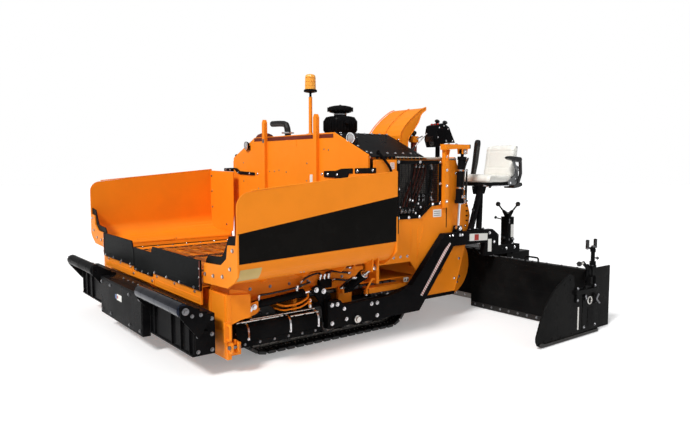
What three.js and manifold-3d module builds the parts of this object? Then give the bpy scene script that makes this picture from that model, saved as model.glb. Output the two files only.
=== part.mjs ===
// Tracked asphalt paver: hopper in front, floating screed with two sliding
// extensions behind. Millimetres, +Z up, +X is the machine's left, front is -Y.
// The pieces are drawn from the hopper's front plane (y = 0) and the whole
// machine is then moved so that its box is centred on the origin.
import * as THREE from 'three';
import { mergeVertices } from 'three/addons/utils/BufferGeometryUtils.js';
import Module from 'manifold-3d';

const wasm = await Module();
wasm.setup();

// ---------------------------------------------------------------- sizes
const seat = 0.3;                 // gap between faces that touch
const pinClearance = 0.8;         // radial play of a pin in its bore
const sideClearance = 5;          // play beside a moving piece

// tracks
const railOuter = 700;            // half width over the frame rails
const railPlate = 25;
const railBottom = 140;
const trackGap = 60;              // between rail and track
const trackWidth = 340;
const trackHeight = 420;
const trackFront = 300;
const trackOverhang = 520;        // the body's rear end behind the track
const shoeCount = 26;
const shoeThickness = 20;
const beltThickness = 26;
const rollerRadius = 70;
const rollerCount = 5;
const trackBeamHalf = 70;         // track frame's beam, half its width and height

// hopper
const wingLength = 1370;
const hopperHalf = 1600;          // outer face of a wing
const wingPlate = 8;
const wingEndPlate = 12;
const wingHeight = 627;           // from the floor's underside to the top edge, at the front
const wingFloorSlope = 22;        // how much the floor rises outwards
const wingRiseLow = 45;           // how much the outer floor rises to the rear
const wingRiseTop = 121;          // how much the top edge rises to the rear
const wingBend = 150;             // radius between floor and side
const wingCornerRadius = 100;     // front top corner
const wingPinRadius = 14;
const wingPinHeight = 45;         // hinge axis above the deck
const lugThickness = 20;
const deckTop = 600;
const deckPlate = 15;
const deckEdgeGap = 24;           // deck edge to wing hinge axis
const skirtPlate = 12;
const fenderGap = 12;             // over the track
const bulkheadGap = 66;           // behind the wings
const bulkheadPlate = 20;
const bulkheadTop = 1710;
const bulkheadTopHalf = 700;
const shoulderZ = 1500;
const postX = 457;
const postHalf = 25;
const postRise = 175;             // above the bulkhead
const tunnelHalf = 760;
const tunnelHeight = 350;
const tunnelPlate = 12;
const slatHeight = 15;
const slatPitch = 150;
const slatDepth = 25;
const chainHalf = 30;

// wing cylinder
const wingCylinderInset = 170;    // its plane, ahead of the wing's rear edge
const wingRodInset = 100;         // its upper pin, inside the wing's outer face
const wingBarrelRadius = 36;
const wingBarrelLength = 290;
const wingRodRadius = 16;
const eyeHalf = 18;
const eyeRadius = 24;
const eyePin = 12;

// body
const bodyOverhang = 108;         // side panels outside the skirts
const sidePanelPlate = 12;
const bodyLength = 1024;          // behind the bulkhead
const hoodPlate = 5;
const hoodDrop = 0.45;            // slope of the hood outside the bulkhead's shoulder
const operatorDeckLength = 410;
const operatorDeckZ = 1488;
const deckStep = 10;              // hood to operator deck
const wallPlate = 12;
const engineWidth = 460;
const engineHeight = 520;
const engineGap = 44;             // behind the bulkhead
const consoleInner = 370;
const consoleOuter = 820;
const dashInner = 930;
const dashWidth = 150;

// front
const frontPlateY = 50;
const frontPlate = 25;
const frontBottom = 110;
const frontTop = 555;
const uprightWidth = 260;
const uprightPlate = 20;
const beamFront = -170;           // push beam
const beamRear = -20;
const beamBottom = 165;
const beamTop = 440;
const beamWall = 12;
const beamCentreHalf = 520;
const beamCentreFront = -230;
const beamInset = 40;             // its ends, inside the uprights
const swingClearance = 10;        // over the swinging beam
const apronPlate = 12;
const flapPlate = 12;
const flapBottom = 545;
const flapTop = 770;
const flapNotch = 735;
const kingPinY = -60;
const kingPinRadius = 20;
const kingPinHalf = 68;           // half the barrel's height
const kingPinZ = 300;
const earPlate = 12;
const pushRollerY = -256;
const pushRollerZ = 495;
const pushRollerRadius = 48;
const pushRollerShaft = 14;

// tow point
const towPinBack = 210;           // ahead of the bulkhead
const towPinZ = 198;
const towPinRadius = 25;
const towPinStand = 14;           // pin head outside the arm
const towPlateHalf = 61;
const armGap = 6;                 // between side panel and tow arm
const armWidth = 60;
const armTop = 813;               // level part of the arm
const armDepth = 122;
const towCylinderRadius = 28;
const towRodRadius = 12;

// augers
const augerReach = 220;           // behind the body
const augerZ = 330;
const augerRadius = 150;
const augerShaft = 45;
const augerStub = 20;
const augerPitch = 250;
const flightPlate = 14;
const augerPlateX = 1002;
const augerPlateThickness = 12;
const augerPlateRadius = 285;
const gearboxHalf = 57;

// screed
const screedHalf = 1220;
const screedReach = 515;          // behind the auger's axis
const screedDepth = 375;
const screedBottom = 5;
const screedTop = 545;
const screedWall = 12;
const walkwayDepth = 210;
const walkwayTop = 330;
const walkwayPlate = 25;
const pavingHalf = 2286;
const extensionReach = 260;       // its face behind the auger's axis
const extensionGap = 20;          // between extension and main screed
const extensionInner = 985;
const extensionTop = 540;
const extensionPlate = 14;
const guideRadius = 30;
const guideGrip = 948;            // length of guide inside the main screed
const guideHigh = 430;
const guideLow = 130;
const guideInset = 85;            // left guides, behind the screed's front face
const guideStep = 120;            // the right guides run this much further back
const gatePlate = 16;
const gateBottom = 6;
const gateReach = 500;            // ahead of the auger's axis
const gateTail = 116;             // behind the extension's face
const gateLift = 80;
const gateGap = 46;               // between extension end and end gate
const gateShoe = 12;
const padHalf = 12.5;
const jackInset = 70;             // behind the extension's face
const jackRadius = 17;
const jackRod = 8.5;
const jackTop = 720;
const jackLap = 4;                // how far the jack's block laps onto the extension

// lift cylinder
const liftOffset = 44;            // outside the side panel
const liftTopRise = 57;           // upper pin above the operator deck
const liftLowRise = 37;           // lower pin above the tow arm
const liftLowShift = 50;          // lower pin ahead of the upper one
const liftBarrelRadius = 36;
const liftBarrelLength = 470;
const liftRodRadius = 15;
const liftRodLength = 400;
const liftBoreDepth = 140;        // the bore's inner end, from the upper pin
const liftPostBottom = 1045;      // above the raised tow arm
const liftPostDepth = 50;

// seats
const seatInset = 29;             // seat's middle, inside the arm's inner face
const seatHalf = 185;
const seatPanZ = 1232;
const seatPanPlate = 18;
const seatBackRise = 400;

// derived places
const trackInner = railOuter + trackGap;
const trackOuter = trackInner + trackWidth;
const skirtOuter = trackOuter + 10;
const railTop = deckTop - deckPlate - seat;
const fenderZ = trackHeight + fenderGap;
const uprightInner = skirtOuter - 20;
const uprightOuter = uprightInner + uprightWidth;
const beamHalf = uprightOuter - beamInset;
const pushRollerInner = beamCentreHalf + 47;
const pushRollerOuter = beamHalf + 48;
const apronBottom = beamTop + swingClearance;
const wingHingeX = skirtOuter - 10;
const wingHingeZ = deckTop + wingPinHeight;
const wingFloorZ = wingHingeZ - 17;
const wingTop = wingFloorZ + wingHeight;
const wingBendZ = wingFloorZ + wingFloorSlope + wingBend;
const wingLugs = [60, wingLength / 2 + 5, wingLength - 40];
const wingCylinderY = wingLength - wingCylinderInset;
const wingBaseX = skirtOuter + 55;
const wingBaseZ = fenderZ - 17;
const wingRodX = hopperHalf - wingRodInset;
const wingRodZ = wingFloorZ + 17;
const wingBase = [wingBaseX, wingCylinderY, wingBaseZ];
const wingTip = [wingRodX, wingCylinderY, wingRodZ];
const sidePanelX = skirtOuter + bodyOverhang;
const shoulderHalf = sidePanelX - 48;
const panelInside = sidePanelX - sidePanelPlate - seat;
const bulkheadY = wingLength + bulkheadGap;
const bodyFront = bulkheadY + bulkheadPlate + seat;
const bodyRear = bulkheadY + bulkheadPlate + bodyLength;
const hoodRear = bodyRear - operatorDeckLength;
const hoodTop = bulkheadTop - 2;
const deckRear = bodyRear - 18;
const frameRear = bodyRear - 30;
const trackRear = bodyRear - trackOverhang;
const armInner = sidePanelX + armGap;
const armOuter = armInner + armWidth;
const towPinY = bulkheadY - towPinBack;
const towCylinderX = skirtOuter + 65;
const towFront = [towCylinderX, 335, fenderZ - 22];
const towRear = [towCylinderX, towPinY - 341, fenderZ + 25];
const augerY = bodyRear + augerReach;
const screedFront = augerY + screedReach;
const screedRear = screedFront + screedDepth;
const extensionFront = augerY + extensionReach;
const extensionDepth = screedFront - extensionFront - extensionGap;
const extensionHalf = pavingHalf - gatePlate - gateGap;
const guideLeftY = screedFront + guideInset;
const guideRightY = guideLeftY + guideStep;
const gateFront = augerY - gateReach;
const gateRear = extensionFront + gateTail;
const jackX = extensionHalf + gateGap / 2;
const jackY = extensionFront + jackInset;
const liftX = sidePanelX + liftOffset;
const liftTop = [liftX, bodyRear, operatorDeckZ + liftTopRise];
const liftLow = [liftX, bodyRear - liftLowShift, armTop + liftLowRise];
const seatX = armInner - seatInset;
const overallFront = pushRollerY - pushRollerRadius;
const overallRear = screedRear + walkwayDepth;

// ---------------------------------------------------------------- materials
function paint(colour, roughness, metalness) {
  return new THREE.MeshStandardMaterial({ color: colour, roughness, metalness });
}
const orange = paint(0xf58a1c, 0.35, 0.1);
const black = paint(0x161616, 0.4, 0.2);
const rubber = paint(0x26282a, 0.8, 0);
const steel = paint(0x8d9094, 0.35, 0.9);
const chrome = paint(0xd5d8db, 0.12, 1);
const vinyl = paint(0xe9e6da, 0.6, 0);
const amber = paint(0xe8741a, 0.25, 0);

// ---------------------------------------------------------------- shapes
function toSolid(geometry) {
  const bare = geometry.clone();
  bare.deleteAttribute('normal');
  bare.deleteAttribute('uv');
  const merged = mergeVertices(bare, 1e-3);
  const vertProperties = new Float32Array(merged.attributes.position.array);
  const triVerts = new Uint32Array(merged.index.array);
  return new wasm.Manifold(new wasm.Mesh({ numProp: 3, vertProperties, triVerts }));
}

function toGeometry(solid) {
  const mesh = solid.getMesh();
  const count = mesh.vertProperties.length / mesh.numProp;
  const positions = new Float32Array(count * 3);
  for (let i = 0; i < count; i += 1) {
    for (let k = 0; k < 3; k += 1) {
      positions[i * 3 + k] = mesh.vertProperties[i * mesh.numProp + k];
    }
  }
  const geometry = new THREE.BufferGeometry();
  geometry.setAttribute('position', new THREE.BufferAttribute(positions, 3));
  geometry.setIndex(Array.from(mesh.triVerts));
  geometry.computeVertexNormals();
  return geometry;
}

function union(...solids) {
  return solids.flat().reduce((whole, next) => whole.add(next));
}

function cut(solid, ...tools) {
  return tools.flat().reduce((left, tool) => left.subtract(tool), solid);
}

// Mirror a solid across the machine's centre plane and turn its faces back out.
function mirrored(solid) {
  const geometry = toGeometry(solid);
  geometry.scale(-1, 1, 1);
  const index = geometry.index.array;
  for (let i = 0; i < index.length; i += 3) {
    const kept = index[i];
    index[i] = index[i + 1];
    index[i + 1] = kept;
  }
  return toSolid(geometry);
}

function bothSides(solid) {
  return union(solid, mirrored(solid));
}

function block(x0, x1, y0, y1, z0, z1) {
  const geometry = new THREE.BoxGeometry(x1 - x0, y1 - y0, z1 - z0);
  geometry.translate((x0 + x1) / 2, (y0 + y1) / 2, (z0 + z1) / 2);
  return toSolid(geometry);
}

// An outline pushed along one axis. The outline's two numbers are the other
// two coordinates in alphabetical order.
function prism(axis, outline, from, to, segments = 6) {
  const shape = outline instanceof THREE.Shape
    ? outline
    : new THREE.Shape(outline.map(([u, v]) => new THREE.Vector2(u, v)));
  const settings = { depth: to - from, bevelEnabled: false, curveSegments: segments };
  const geometry = new THREE.ExtrudeGeometry(shape, settings);
  if (axis === 'x') {
    geometry.rotateX(Math.PI / 2);
    geometry.rotateZ(Math.PI / 2);
    geometry.translate(from, 0, 0);
  } else if (axis === 'y') {
    geometry.rotateX(Math.PI / 2);
    geometry.translate(0, to, 0);
  } else {
    geometry.translate(0, 0, from);
  }
  return toSolid(geometry);
}

function rod(start, end, radius, sides = 16) {
  const a = new THREE.Vector3(...start);
  const b = new THREE.Vector3(...end);
  const along = b.clone().sub(a);
  const geometry = new THREE.CylinderGeometry(radius, radius, along.length(), sides);
  const turn = new THREE.Quaternion();
  turn.setFromUnitVectors(new THREE.Vector3(0, 1, 0), along.clone().normalize());
  geometry.applyQuaternion(turn);
  const middle = a.add(b).multiplyScalar(0.5);
  geometry.translate(middle.x, middle.y, middle.z);
  return toSolid(geometry);
}

// A turned shape about the vertical axis from [radius, height] points.
function turned(profile, sides = 20) {
  const points = profile.map(([radius, height]) => new THREE.Vector2(radius, height));
  const geometry = new THREE.LatheGeometry(points, sides);
  geometry.rotateX(Math.PI / 2);
  return geometry;
}

function along(start, end, distance) {
  const a = new THREE.Vector3(...start);
  const b = new THREE.Vector3(...end);
  const step = b.clone().sub(a).normalize().multiplyScalar(distance);
  return a.add(step).toArray();
}

// ---------------------------------------------------------------- assembly
const machine = new THREE.Group();
machine.position.y = -(overallFront + overallRear) / 2;

function place(name, solid, material, parent = machine) {
  const mesh = new THREE.Mesh(toGeometry(solid), material);
  mesh.name = name;
  parent.add(mesh);
  return mesh;
}

function placePair(name, solid, material) {
  place(`left_${name}`, solid, material);
  place(`right_${name}`, mirrored(solid), material);
}

// ---------------------------------------------------------------- wing
// Height of the wing skin's outside at x, y.
function wingSkinZ(x, y) {
  const bendStart = hopperHalf - wingBend;
  const share = (x - wingHingeX) / (hopperHalf - wingHingeX);
  const rise = wingRiseLow * share * (y / wingLength);
  const floor = wingFloorZ + wingFloorSlope * (x - wingHingeX) / (bendStart - wingHingeX);
  if (x <= bendStart) return floor + rise;
  const dx = x - bendStart;
  return wingBendZ - Math.sqrt(wingBend * wingBend - dx * dx) + rise;
}

// Shear the straight skin so that its floor and top edge rise to the rear.
function raiseToRear(geometry) {
  const position = geometry.attributes.position;
  const bendLow = wingBendZ - wingBend;
  for (let i = 0; i < position.count; i += 1) {
    const x = position.getX(i);
    const y = position.getY(i);
    const z = position.getZ(i);
    const share = Math.max(0, (x - wingHingeX) / (hopperHalf - wingHingeX));
    const height = Math.max(0, (z - bendLow) / (wingTop - bendLow));
    const rise = wingRiseLow * share + (wingRiseTop - wingRiseLow) * height;
    position.setZ(i, z + rise * (y / wingLength));
  }
  return geometry;
}

function wingSkin() {
  const bendStart = hopperHalf - wingBend;
  const inner = wingBend - wingPlate;
  const start = wingHingeX + 30;
  const startZ = wingFloorZ + 1.9;
  const inside = hopperHalf - wingPlate;
  const shape = new THREE.Shape();
  shape.moveTo(start, startZ);
  shape.lineTo(bendStart, wingBendZ - wingBend);
  shape.absarc(bendStart, wingBendZ, wingBend, -Math.PI / 2, 0, false);
  shape.lineTo(hopperHalf, wingTop);
  shape.lineTo(inside, wingTop);
  shape.lineTo(inside, wingBendZ);
  shape.absarc(bendStart, wingBendZ, inner, 0, -Math.PI / 2, true);
  shape.lineTo(start, startZ + wingPlate);
  const skin = toSolid(raiseToRear(toGeometry(prism('y', shape, 0, wingLength, 7))));
  const r = wingCornerRadius;
  const corner = new THREE.Shape();
  corner.moveTo(-1, 0);
  corner.lineTo(-1, wingTop - r);
  corner.absarc(r, wingTop - r, r, Math.PI, Math.PI / 2, true);
  corner.lineTo(wingLength + 1, wingTop + wingRiseTop * 1.05);
  corner.lineTo(wingLength + 1, 0);
  return skin.intersect(prism('x', corner, wingHingeX, hopperHalf + 1, 8));
}

// The end plate's outline: up under the floor, round the bend and up the side.
function wingEndOutline(rise) {
  const low = wingFloorZ;
  const out = hopperHalf + 2;
  return [
    [wingHingeX - 5, low - 17], [hopperHalf - 140, low - 2 + rise * 0.6],
    [hopperHalf - 45, low + 47 + rise * 0.9], [out, low + 91 + rise], [out, low + 360 + rise],
    [hopperHalf - 12, low + 360 + rise], [hopperHalf - 22, low + 289 + rise],
    [hopperHalf - 131, low + 281 + rise], [hopperHalf - 151, low + 189 + rise * 0.8],
    [hopperHalf - 234, low + 137 + rise * 0.6], [wingHingeX + 20, low + 124],
  ];
}

function wing() {
  const pieces = [wingSkin()];
  pieces.push(prism('y', wingEndOutline(0), 0, wingEndPlate));
  pieces.push(prism('y', wingEndOutline(wingRiseLow), wingLength - wingEndPlate, wingLength));
  const knuckle = wingPinRadius + 10;
  for (let i = 0; i < wingLugs.length - 1; i += 1) {
    const from = wingLugs[i] + lugThickness + sideClearance;
    const to = wingLugs[i + 1] - sideClearance;
    pieces.push(rod([wingHingeX, from, wingHingeZ], [wingHingeX, to, wingHingeZ], knuckle));
    pieces.push(block(wingHingeX + 18, wingHingeX + 34, from, to, wingFloorZ + 2, wingFloorZ + 9));
  }
  const skinZ = (dx) => wingSkinZ(wingRodX + dx, wingCylinderY) + 4;
  const lug = [
    [wingRodX - 38, wingRodZ - eyeRadius], [wingRodX + 38, wingRodZ - eyeRadius],
    [wingRodX + 45, skinZ(45)], [wingRodX, skinZ(0)], [wingRodX - 45, skinZ(-45)],
  ];
  const lugInside = eyeHalf + 4;
  pieces.push(prism('y', lug, wingCylinderY - lugInside - 10, wingCylinderY - lugInside));
  pieces.push(prism('y', lug, wingCylinderY + lugInside, wingCylinderY + lugInside + 10));
  const boreRadius = wingPinRadius + pinClearance;
  const bore = rod([wingHingeX, 20, wingHingeZ], [wingHingeX, wingLength - 15, wingHingeZ], boreRadius);
  return cut(union(pieces), bore);
}

// ---------------------------------------------------------------- wing cylinder
function eye(centre, radius) {
  const [x, y, z] = centre;
  return rod([x, y - eyeHalf, z], [x, y + eyeHalf, z], radius);
}

function wingBarrel() {
  const end = along(wingBase, wingTip, wingBarrelLength);
  const neck = rod(wingBase, along(wingBase, wingTip, 50), 16);
  const barrel = rod(along(wingBase, wingTip, 48), end, wingBarrelRadius);
  const mouth = along(wingBase, wingTip, wingBarrelLength + 1);
  const bore = rod(along(wingBase, wingTip, 66), mouth, wingRodRadius + pinClearance);
  const [x, y, z] = wingBase;
  const pinBore = rod([x, y - 60, z], [x, y + 60, z], eyePin + pinClearance);
  return cut(union(barrel, neck, eye(wingBase, eyeRadius)), bore, pinBore);
}

function wingRod() {
  const shaft = rod(along(wingBase, wingTip, 70), wingTip, wingRodRadius);
  const [x, , z] = wingTip;
  return cut(union(shaft, eye(wingTip, eyeRadius - 2)), rod([x, 0, z], [x, wingLength, z], eyePin));
}

// ---------------------------------------------------------------- main frame
function mainFrame() {
  const front = frontPlateY + 1;
  const rail = block(railOuter - railPlate, railOuter, front, frameRear, railBottom, railTop);
  const skirt = block(skirtOuter - skirtPlate, skirtOuter, front, bulkheadY, fenderZ, railTop);
  const fender = block(
    railOuter - 1, skirtOuter, trackFront - 50, trackRear + 50, fenderZ, fenderZ + skirtPlate,
  );
  const pieces = [rail, skirt, fender];
  const gusset = [
    [front, frontBottom], [frontPlateY + 32, frontBottom], [frontPlateY + 32, frontBottom + 24],
    [frontPlateY + 102, frontBottom + 24], [frontPlateY + 102, frontBottom + 108],
    [frontPlateY + 36, frontBottom + 112], [frontPlateY + 36, frontBottom + 240],
    [frontPlateY + 110, frontBottom + 262], [trackFront + 30, fenderZ - 52],
    [trackFront + 30, frontTop - 15], [front, frontTop],
  ];
  const shortGusset = gusset.map(([y, z]) => [Math.min(y, trackFront - 70), z]);
  pieces.push(prism('x', gusset, uprightInner, uprightInner + uprightPlate));
  pieces.push(prism('x', shortGusset, uprightOuter - uprightPlate, uprightOuter));
  // tow cylinder's front clevis and rear lug
  const [towX, clevisY, clevisZ] = towFront;
  const [, towLugY, towLugZ] = towRear;
  pieces.push(block(uprightInner, towX + 30, clevisY - 35, clevisY - 10, clevisZ - 30, clevisZ + 30));
  pieces.push(block(skirtOuter - 2, towX + 25, towLugY + 10, towLugY + 35, towLugZ - 22, towLugZ + 23));
  // wing hinge lugs and pin
  for (const y of wingLugs) {
    const lug = [
      [wingHingeX - 16, railTop - 30], [wingHingeX + 10, railTop - 30], [wingHingeX + 18, wingHingeZ],
      [wingHingeX + 10, wingHingeZ + 20], [wingHingeX - 10, wingHingeZ + 20], [wingHingeX - 18, wingHingeZ],
    ];
    pieces.push(prism('y', lug, y, y + lugThickness));
  }
  const pinEnd = wingLugs[wingLugs.length - 1] + lugThickness;
  pieces.push(rod([wingHingeX, wingLugs[0], wingHingeZ], [wingHingeX, pinEnd, wingHingeZ], wingPinRadius));
  // wing cylinder bracket
  const [baseX, baseY, baseZ] = wingBase;
  for (const y of [baseY - eyeHalf - 18, baseY + eyeHalf + 4]) {
    pieces.push(block(skirtOuter - 2, baseX + 18, y, y + 14, baseZ - eyeRadius, baseZ + eyeRadius));
  }
  pieces.push(rod([baseX, baseY - 40, baseZ], [baseX, baseY + 40, baseZ], eyePin));
  // tow point plate and pin
  const towPlate = [
    [towPinY - towPlateHalf, towPinZ - 58], [towPinY + towPlateHalf, towPinZ - 58],
    [towPinY + towPlateHalf + 8, fenderZ + 8], [towPinY - towPlateHalf - 10, fenderZ + 8],
  ];
  const plateOuter = skirtOuter + 22;
  pieces.push(prism('x', towPlate, skirtOuter - 4, plateOuter));
  const pinTip = armOuter + towPinStand;
  pieces.push(rod([plateOuter - 2, towPinY, towPinZ], [pinTip, towPinY, towPinZ], towPinRadius));
  // track guard hangers
  for (const y of [trackFront + 30, trackFront + 420]) {
    pieces.push(block(skirtOuter - 5, skirtOuter + 25, y, y + 30, 220, fenderZ + 8));
  }
  // outriggers that carry the side panels, and the auger box's rear beam
  for (const y of [bulkheadY + 64, bodyRear - 120]) {
    pieces.push(block(railOuter - 10, panelInside, y, y + 30, fenderZ + 5, railTop));
  }
  const half = union(pieces);
  const crossTop = railTop - 24.7;
  const cross = [
    block(-uprightOuter, uprightOuter, frontPlateY, frontPlateY + frontPlate, frontBottom, frontTop),
    block(-railOuter, railOuter, towPinY - 46, towPinY + 14, 200, crossTop),
    block(-railOuter, railOuter, frameRear - 60, frameRear, 200, crossTop),
  ];
  const low = kingPinZ - kingPinHalf - 7;
  const high = kingPinZ + kingPinHalf + 7;
  const earFront = kingPinY - 30;
  const ears = [
    block(-60, 60, earFront, frontPlateY + 5, low - 20, low),
    block(-60, 60, earFront, frontPlateY + 5, high, high + 20),
    rod([0, kingPinY, low - 20], [0, kingPinY, high + 20], kingPinRadius),
  ];
  return union(bothSides(half), cross, ears, augerGearbox());
}

function towCylinder() {
  const [x, y0, z0] = towFront;
  const [, y1, z1] = towRear;
  const barrelEnd = (y1 - y0) * 0.8;
  return union(
    rod(towFront, along(towFront, towRear, barrelEnd), towCylinderRadius),
    rod(along(towFront, towRear, barrelEnd - 10), towRear, towRodRadius),
    block(x - 16, x + 16, y0 - 10 + seat, y0 + 25, z0 - 15, z0 + 18),
    block(x - 14, x + 14, y1 - 15, y1 + 10 - seat, z1 - 15, z1 + 15),
  );
}

// ---------------------------------------------------------------- tracks
// Point on the loop's outline at a share of its length, an inset inside it.
function trackPoint(share, inset) {
  const radius = trackHeight / 2;
  const straight = trackRear - trackFront - trackHeight;
  const arc = Math.PI * radius;
  let s = (((share % 1) + 1) % 1) * 2 * (straight + arc);
  const rear = trackRear - radius;
  const front = trackFront + radius;
  const r = radius - inset;
  if (s < straight) return [front + s, inset];
  s -= straight;
  if (s < arc) {
    const angle = -Math.PI / 2 + s / radius;
    return [rear + r * Math.cos(angle), radius + r * Math.sin(angle)];
  }
  s -= arc;
  if (s < straight) return [rear - s, trackHeight - inset];
  s -= straight;
  const angle = Math.PI / 2 + s / radius;
  return [front + r * Math.cos(angle), radius + r * Math.sin(angle)];
}

function track() {
  const outline = [];
  const gap = 0.1;
  for (let i = 0; i < shoeCount; i += 1) {
    outline.push(trackPoint((i + gap) / shoeCount, shoeThickness));
    outline.push(trackPoint((i + gap) / shoeCount, 0));
    outline.push(trackPoint((i + 1 - gap) / shoeCount, 0));
    outline.push(trackPoint((i + 1 - gap) / shoeCount, shoeThickness));
  }
  const radius = trackHeight / 2;
  const beltInside = radius - shoeThickness - beltThickness;
  const inner = new THREE.Shape();
  inner.absarc(trackRear - radius, radius, beltInside, -Math.PI / 2, Math.PI / 2, false);
  inner.absarc(trackFront + radius, radius, beltInside, Math.PI / 2, Math.PI * 1.5, false);
  const outside = prism('x', outline, trackInner, trackOuter);
  return cut(outside, prism('x', inner, trackInner - 1, trackOuter + 1, 14));
}

function trackFrame() {
  const radius = trackHeight / 2;
  const wheel = radius - shoeThickness - beltThickness - 3;
  const floor = shoeThickness + beltThickness + seat;
  const x = trackInner + trackWidth / 2;
  const h = trackBeamHalf;
  const beam = block(x - h, x + h, trackFront + radius, trackRear - radius, radius - h - 10, radius + h - 10);
  const pieces = [beam];
  for (const y of [trackFront + radius, trackRear - radius]) {
    pieces.push(rod([x - 55, y, radius], [x + 55, y, radius], wheel, 24));
  }
  const span = trackRear - trackFront - 2 * trackHeight;
  const rollerZ = floor + rollerRadius;
  for (let i = 0; i < rollerCount; i += 1) {
    const y = trackFront + trackHeight + span * i / (rollerCount - 1);
    pieces.push(rod([x - 110, y, rollerZ], [x + 110, y, rollerZ], rollerRadius, 16));
  }
  const stubZ = Math.max(radius, railBottom + 70);
  for (const y of [trackFront + trackHeight + 20, trackRear - trackHeight - 20]) {
    pieces.push(block(railOuter + seat, x, y - 40, y + 40, stubZ - 40, stubZ + 40));
  }
  return union(pieces);
}

// A bent plate tube outside the front half of the track.
function trackGuard() {
  const inner = skirtOuter + 25 + seat;
  const outer = sidePanelX + 62;
  const bottom = 150;
  const top = 310;
  const bend = 60;
  const wall = 8;
  const from = trackFront - 143;
  const to = towPinY - 356;
  const ring = (grow) => {
    const shape = new THREE.Shape();
    shape.moveTo(inner + grow, bottom + grow);
    shape.lineTo(outer - grow, bottom + grow);
    shape.lineTo(outer - grow, top - bend);
    shape.absarc(outer - bend, top - bend, bend - grow, 0, Math.PI / 2, false);
    shape.lineTo(inner + grow, top - grow);
    return shape;
  };
  return cut(prism('y', ring(0), from, to), prism('y', ring(wall), from - 10, to + 10));
}

// ---------------------------------------------------------------- hopper and body
function hopperDeck() {
  const half = wingHingeX - deckEdgeGap;
  return block(-half, half, 0, bulkheadY + bulkheadPlate, deckTop - deckPlate, deckTop);
}

function conveyor() {
  const low = deckTop + seat;
  const pieces = [block(-chainHalf, chainHalf, 80, bodyRear - 40, low, low + 2 * slatHeight)];
  const half = tunnelHalf - 20;
  for (let y = 120; y < bodyRear - 80; y += slatPitch) {
    pieces.push(block(-half, half, y, y + slatDepth, low, low + slatHeight));
  }
  return union(pieces);
}

function frontApron() {
  const half = uprightInner - 2;
  const pieces = [
    block(-half, half, -apronPlate, 0, apronBottom, railTop),
    block(-half, half, -1, frontPlateY + 1 - seat, railTop - apronPlate, railTop),
  ];
  for (const x of [-900, -500, -160, 140, 480, 880]) {
    pieces.push(block(x, x + 20, -1, frontPlateY - seat, apronBottom + 2, railTop - apronPlate + 1));
  }
  return union(pieces);
}

function frontFlap() {
  const half = wingHingeX + 8;
  const outline = [
    [-half, flapBottom], [half, flapBottom], [half, flapTop], [200, flapTop], [180, flapNotch],
    [-250, flapNotch], [-270, flapTop], [-half, flapTop],
  ];
  return prism('y', outline, -apronPlate - flapPlate, -apronPlate - seat);
}

function bulkhead() {
  const low = deckTop + seat;
  const outline = [
    [-shoulderHalf, low], [shoulderHalf, low], [shoulderHalf, shoulderZ], [bulkheadTopHalf, bulkheadTop],
    [-bulkheadTopHalf, bulkheadTop], [-shoulderHalf, shoulderZ],
  ];
  const plate = prism('y', outline, bulkheadY, bulkheadY + bulkheadPlate);
  const mouthTop = deckTop + tunnelHeight;
  const mouth = block(-tunnelHalf, tunnelHalf, bulkheadY - 5, bulkheadY + 40, low - 1, mouthTop);
  const top = bulkheadTop + postRise;
  const foot = mouthTop + 50;
  const post = [
    [-postHalf, foot], [postHalf, foot], [postHalf, top - 30], [8, top], [-8, top], [-postHalf, top - 30],
  ];
  const posts = [-postX, postX].map((x) => {
    return prism('y', post.map(([u, v]) => [u + x, v]), bulkheadY - 35, bulkheadY + 1);
  });
  return union(cut(plate, mouth), posts);
}

function tunnel() {
  const half = tunnelHalf + tunnelPlate;
  const low = deckTop - deckPlate;
  const top = deckTop + tunnelHeight;
  const outside = block(-half, half, bodyFront, frameRear, low, top + tunnelPlate);
  const inside = block(-tunnelHalf, tunnelHalf, bodyFront - 1, bodyRear, deckTop, top);
  return cut(outside, inside);
}

function engineHood() {
  const side = panelInside;
  const low = shoulderZ - (side - shoulderHalf) * hoodDrop;
  const half = bulkheadTopHalf;
  const outline = [
    [-side, low], [-half, hoodTop], [half, hoodTop], [side, low],
    [side, low - hoodPlate], [half - 1, hoodTop - hoodPlate], [1 - half, hoodTop - hoodPlate],
    [-side, low - hoodPlate],
  ];
  return prism('y', outline, bodyFront, hoodRear);
}

function engineBlock() {
  const low = deckTop + tunnelHeight + tunnelPlate + seat;
  const front = bulkheadY + bulkheadPlate + engineGap;
  return block(-engineWidth / 2, engineWidth / 2, front, hoodRear - deckStep, low, low + engineHeight);
}

// The sloping cut-outs follow the body's rear end.
function sidePanel() {
  const rear = (dy) => bodyRear + dy;
  const low = deckTop - 10;
  const top = operatorDeckZ - 18;
  const outline = [
    [bodyFront, low], [rear(-600), low], [rear(-530), low - 90], [rear(-530), 230], [rear(-40), 230],
    [rear(120), 700], [rear(170), 960], [rear(50), 1290], [rear(-40), top], [bodyFront, top],
  ];
  const panel = prism('x', outline, sidePanelX - sidePanelPlate, sidePanelX);
  const window = [
    [rear(-740), 990], [rear(-480), 990], [rear(-350), 1095], [rear(-265), 1095],
    [rear(-265), top - 30], [rear(-740), top - 30],
  ];
  return cut(panel, prism('x', window, sidePanelX - 40, sidePanelX + 1));
}

function meshGuard() {
  const rear = (dy) => bodyRear + dy;
  const top = operatorDeckZ - 18;
  const outline = [
    [rear(-770), 960], [rear(-490), 960], [rear(-350), 1060], [rear(-230), 1067],
    [rear(-230), top], [rear(-770), top],
  ];
  return prism('x', outline, sidePanelX + seat, sidePanelX + 6);
}

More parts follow.
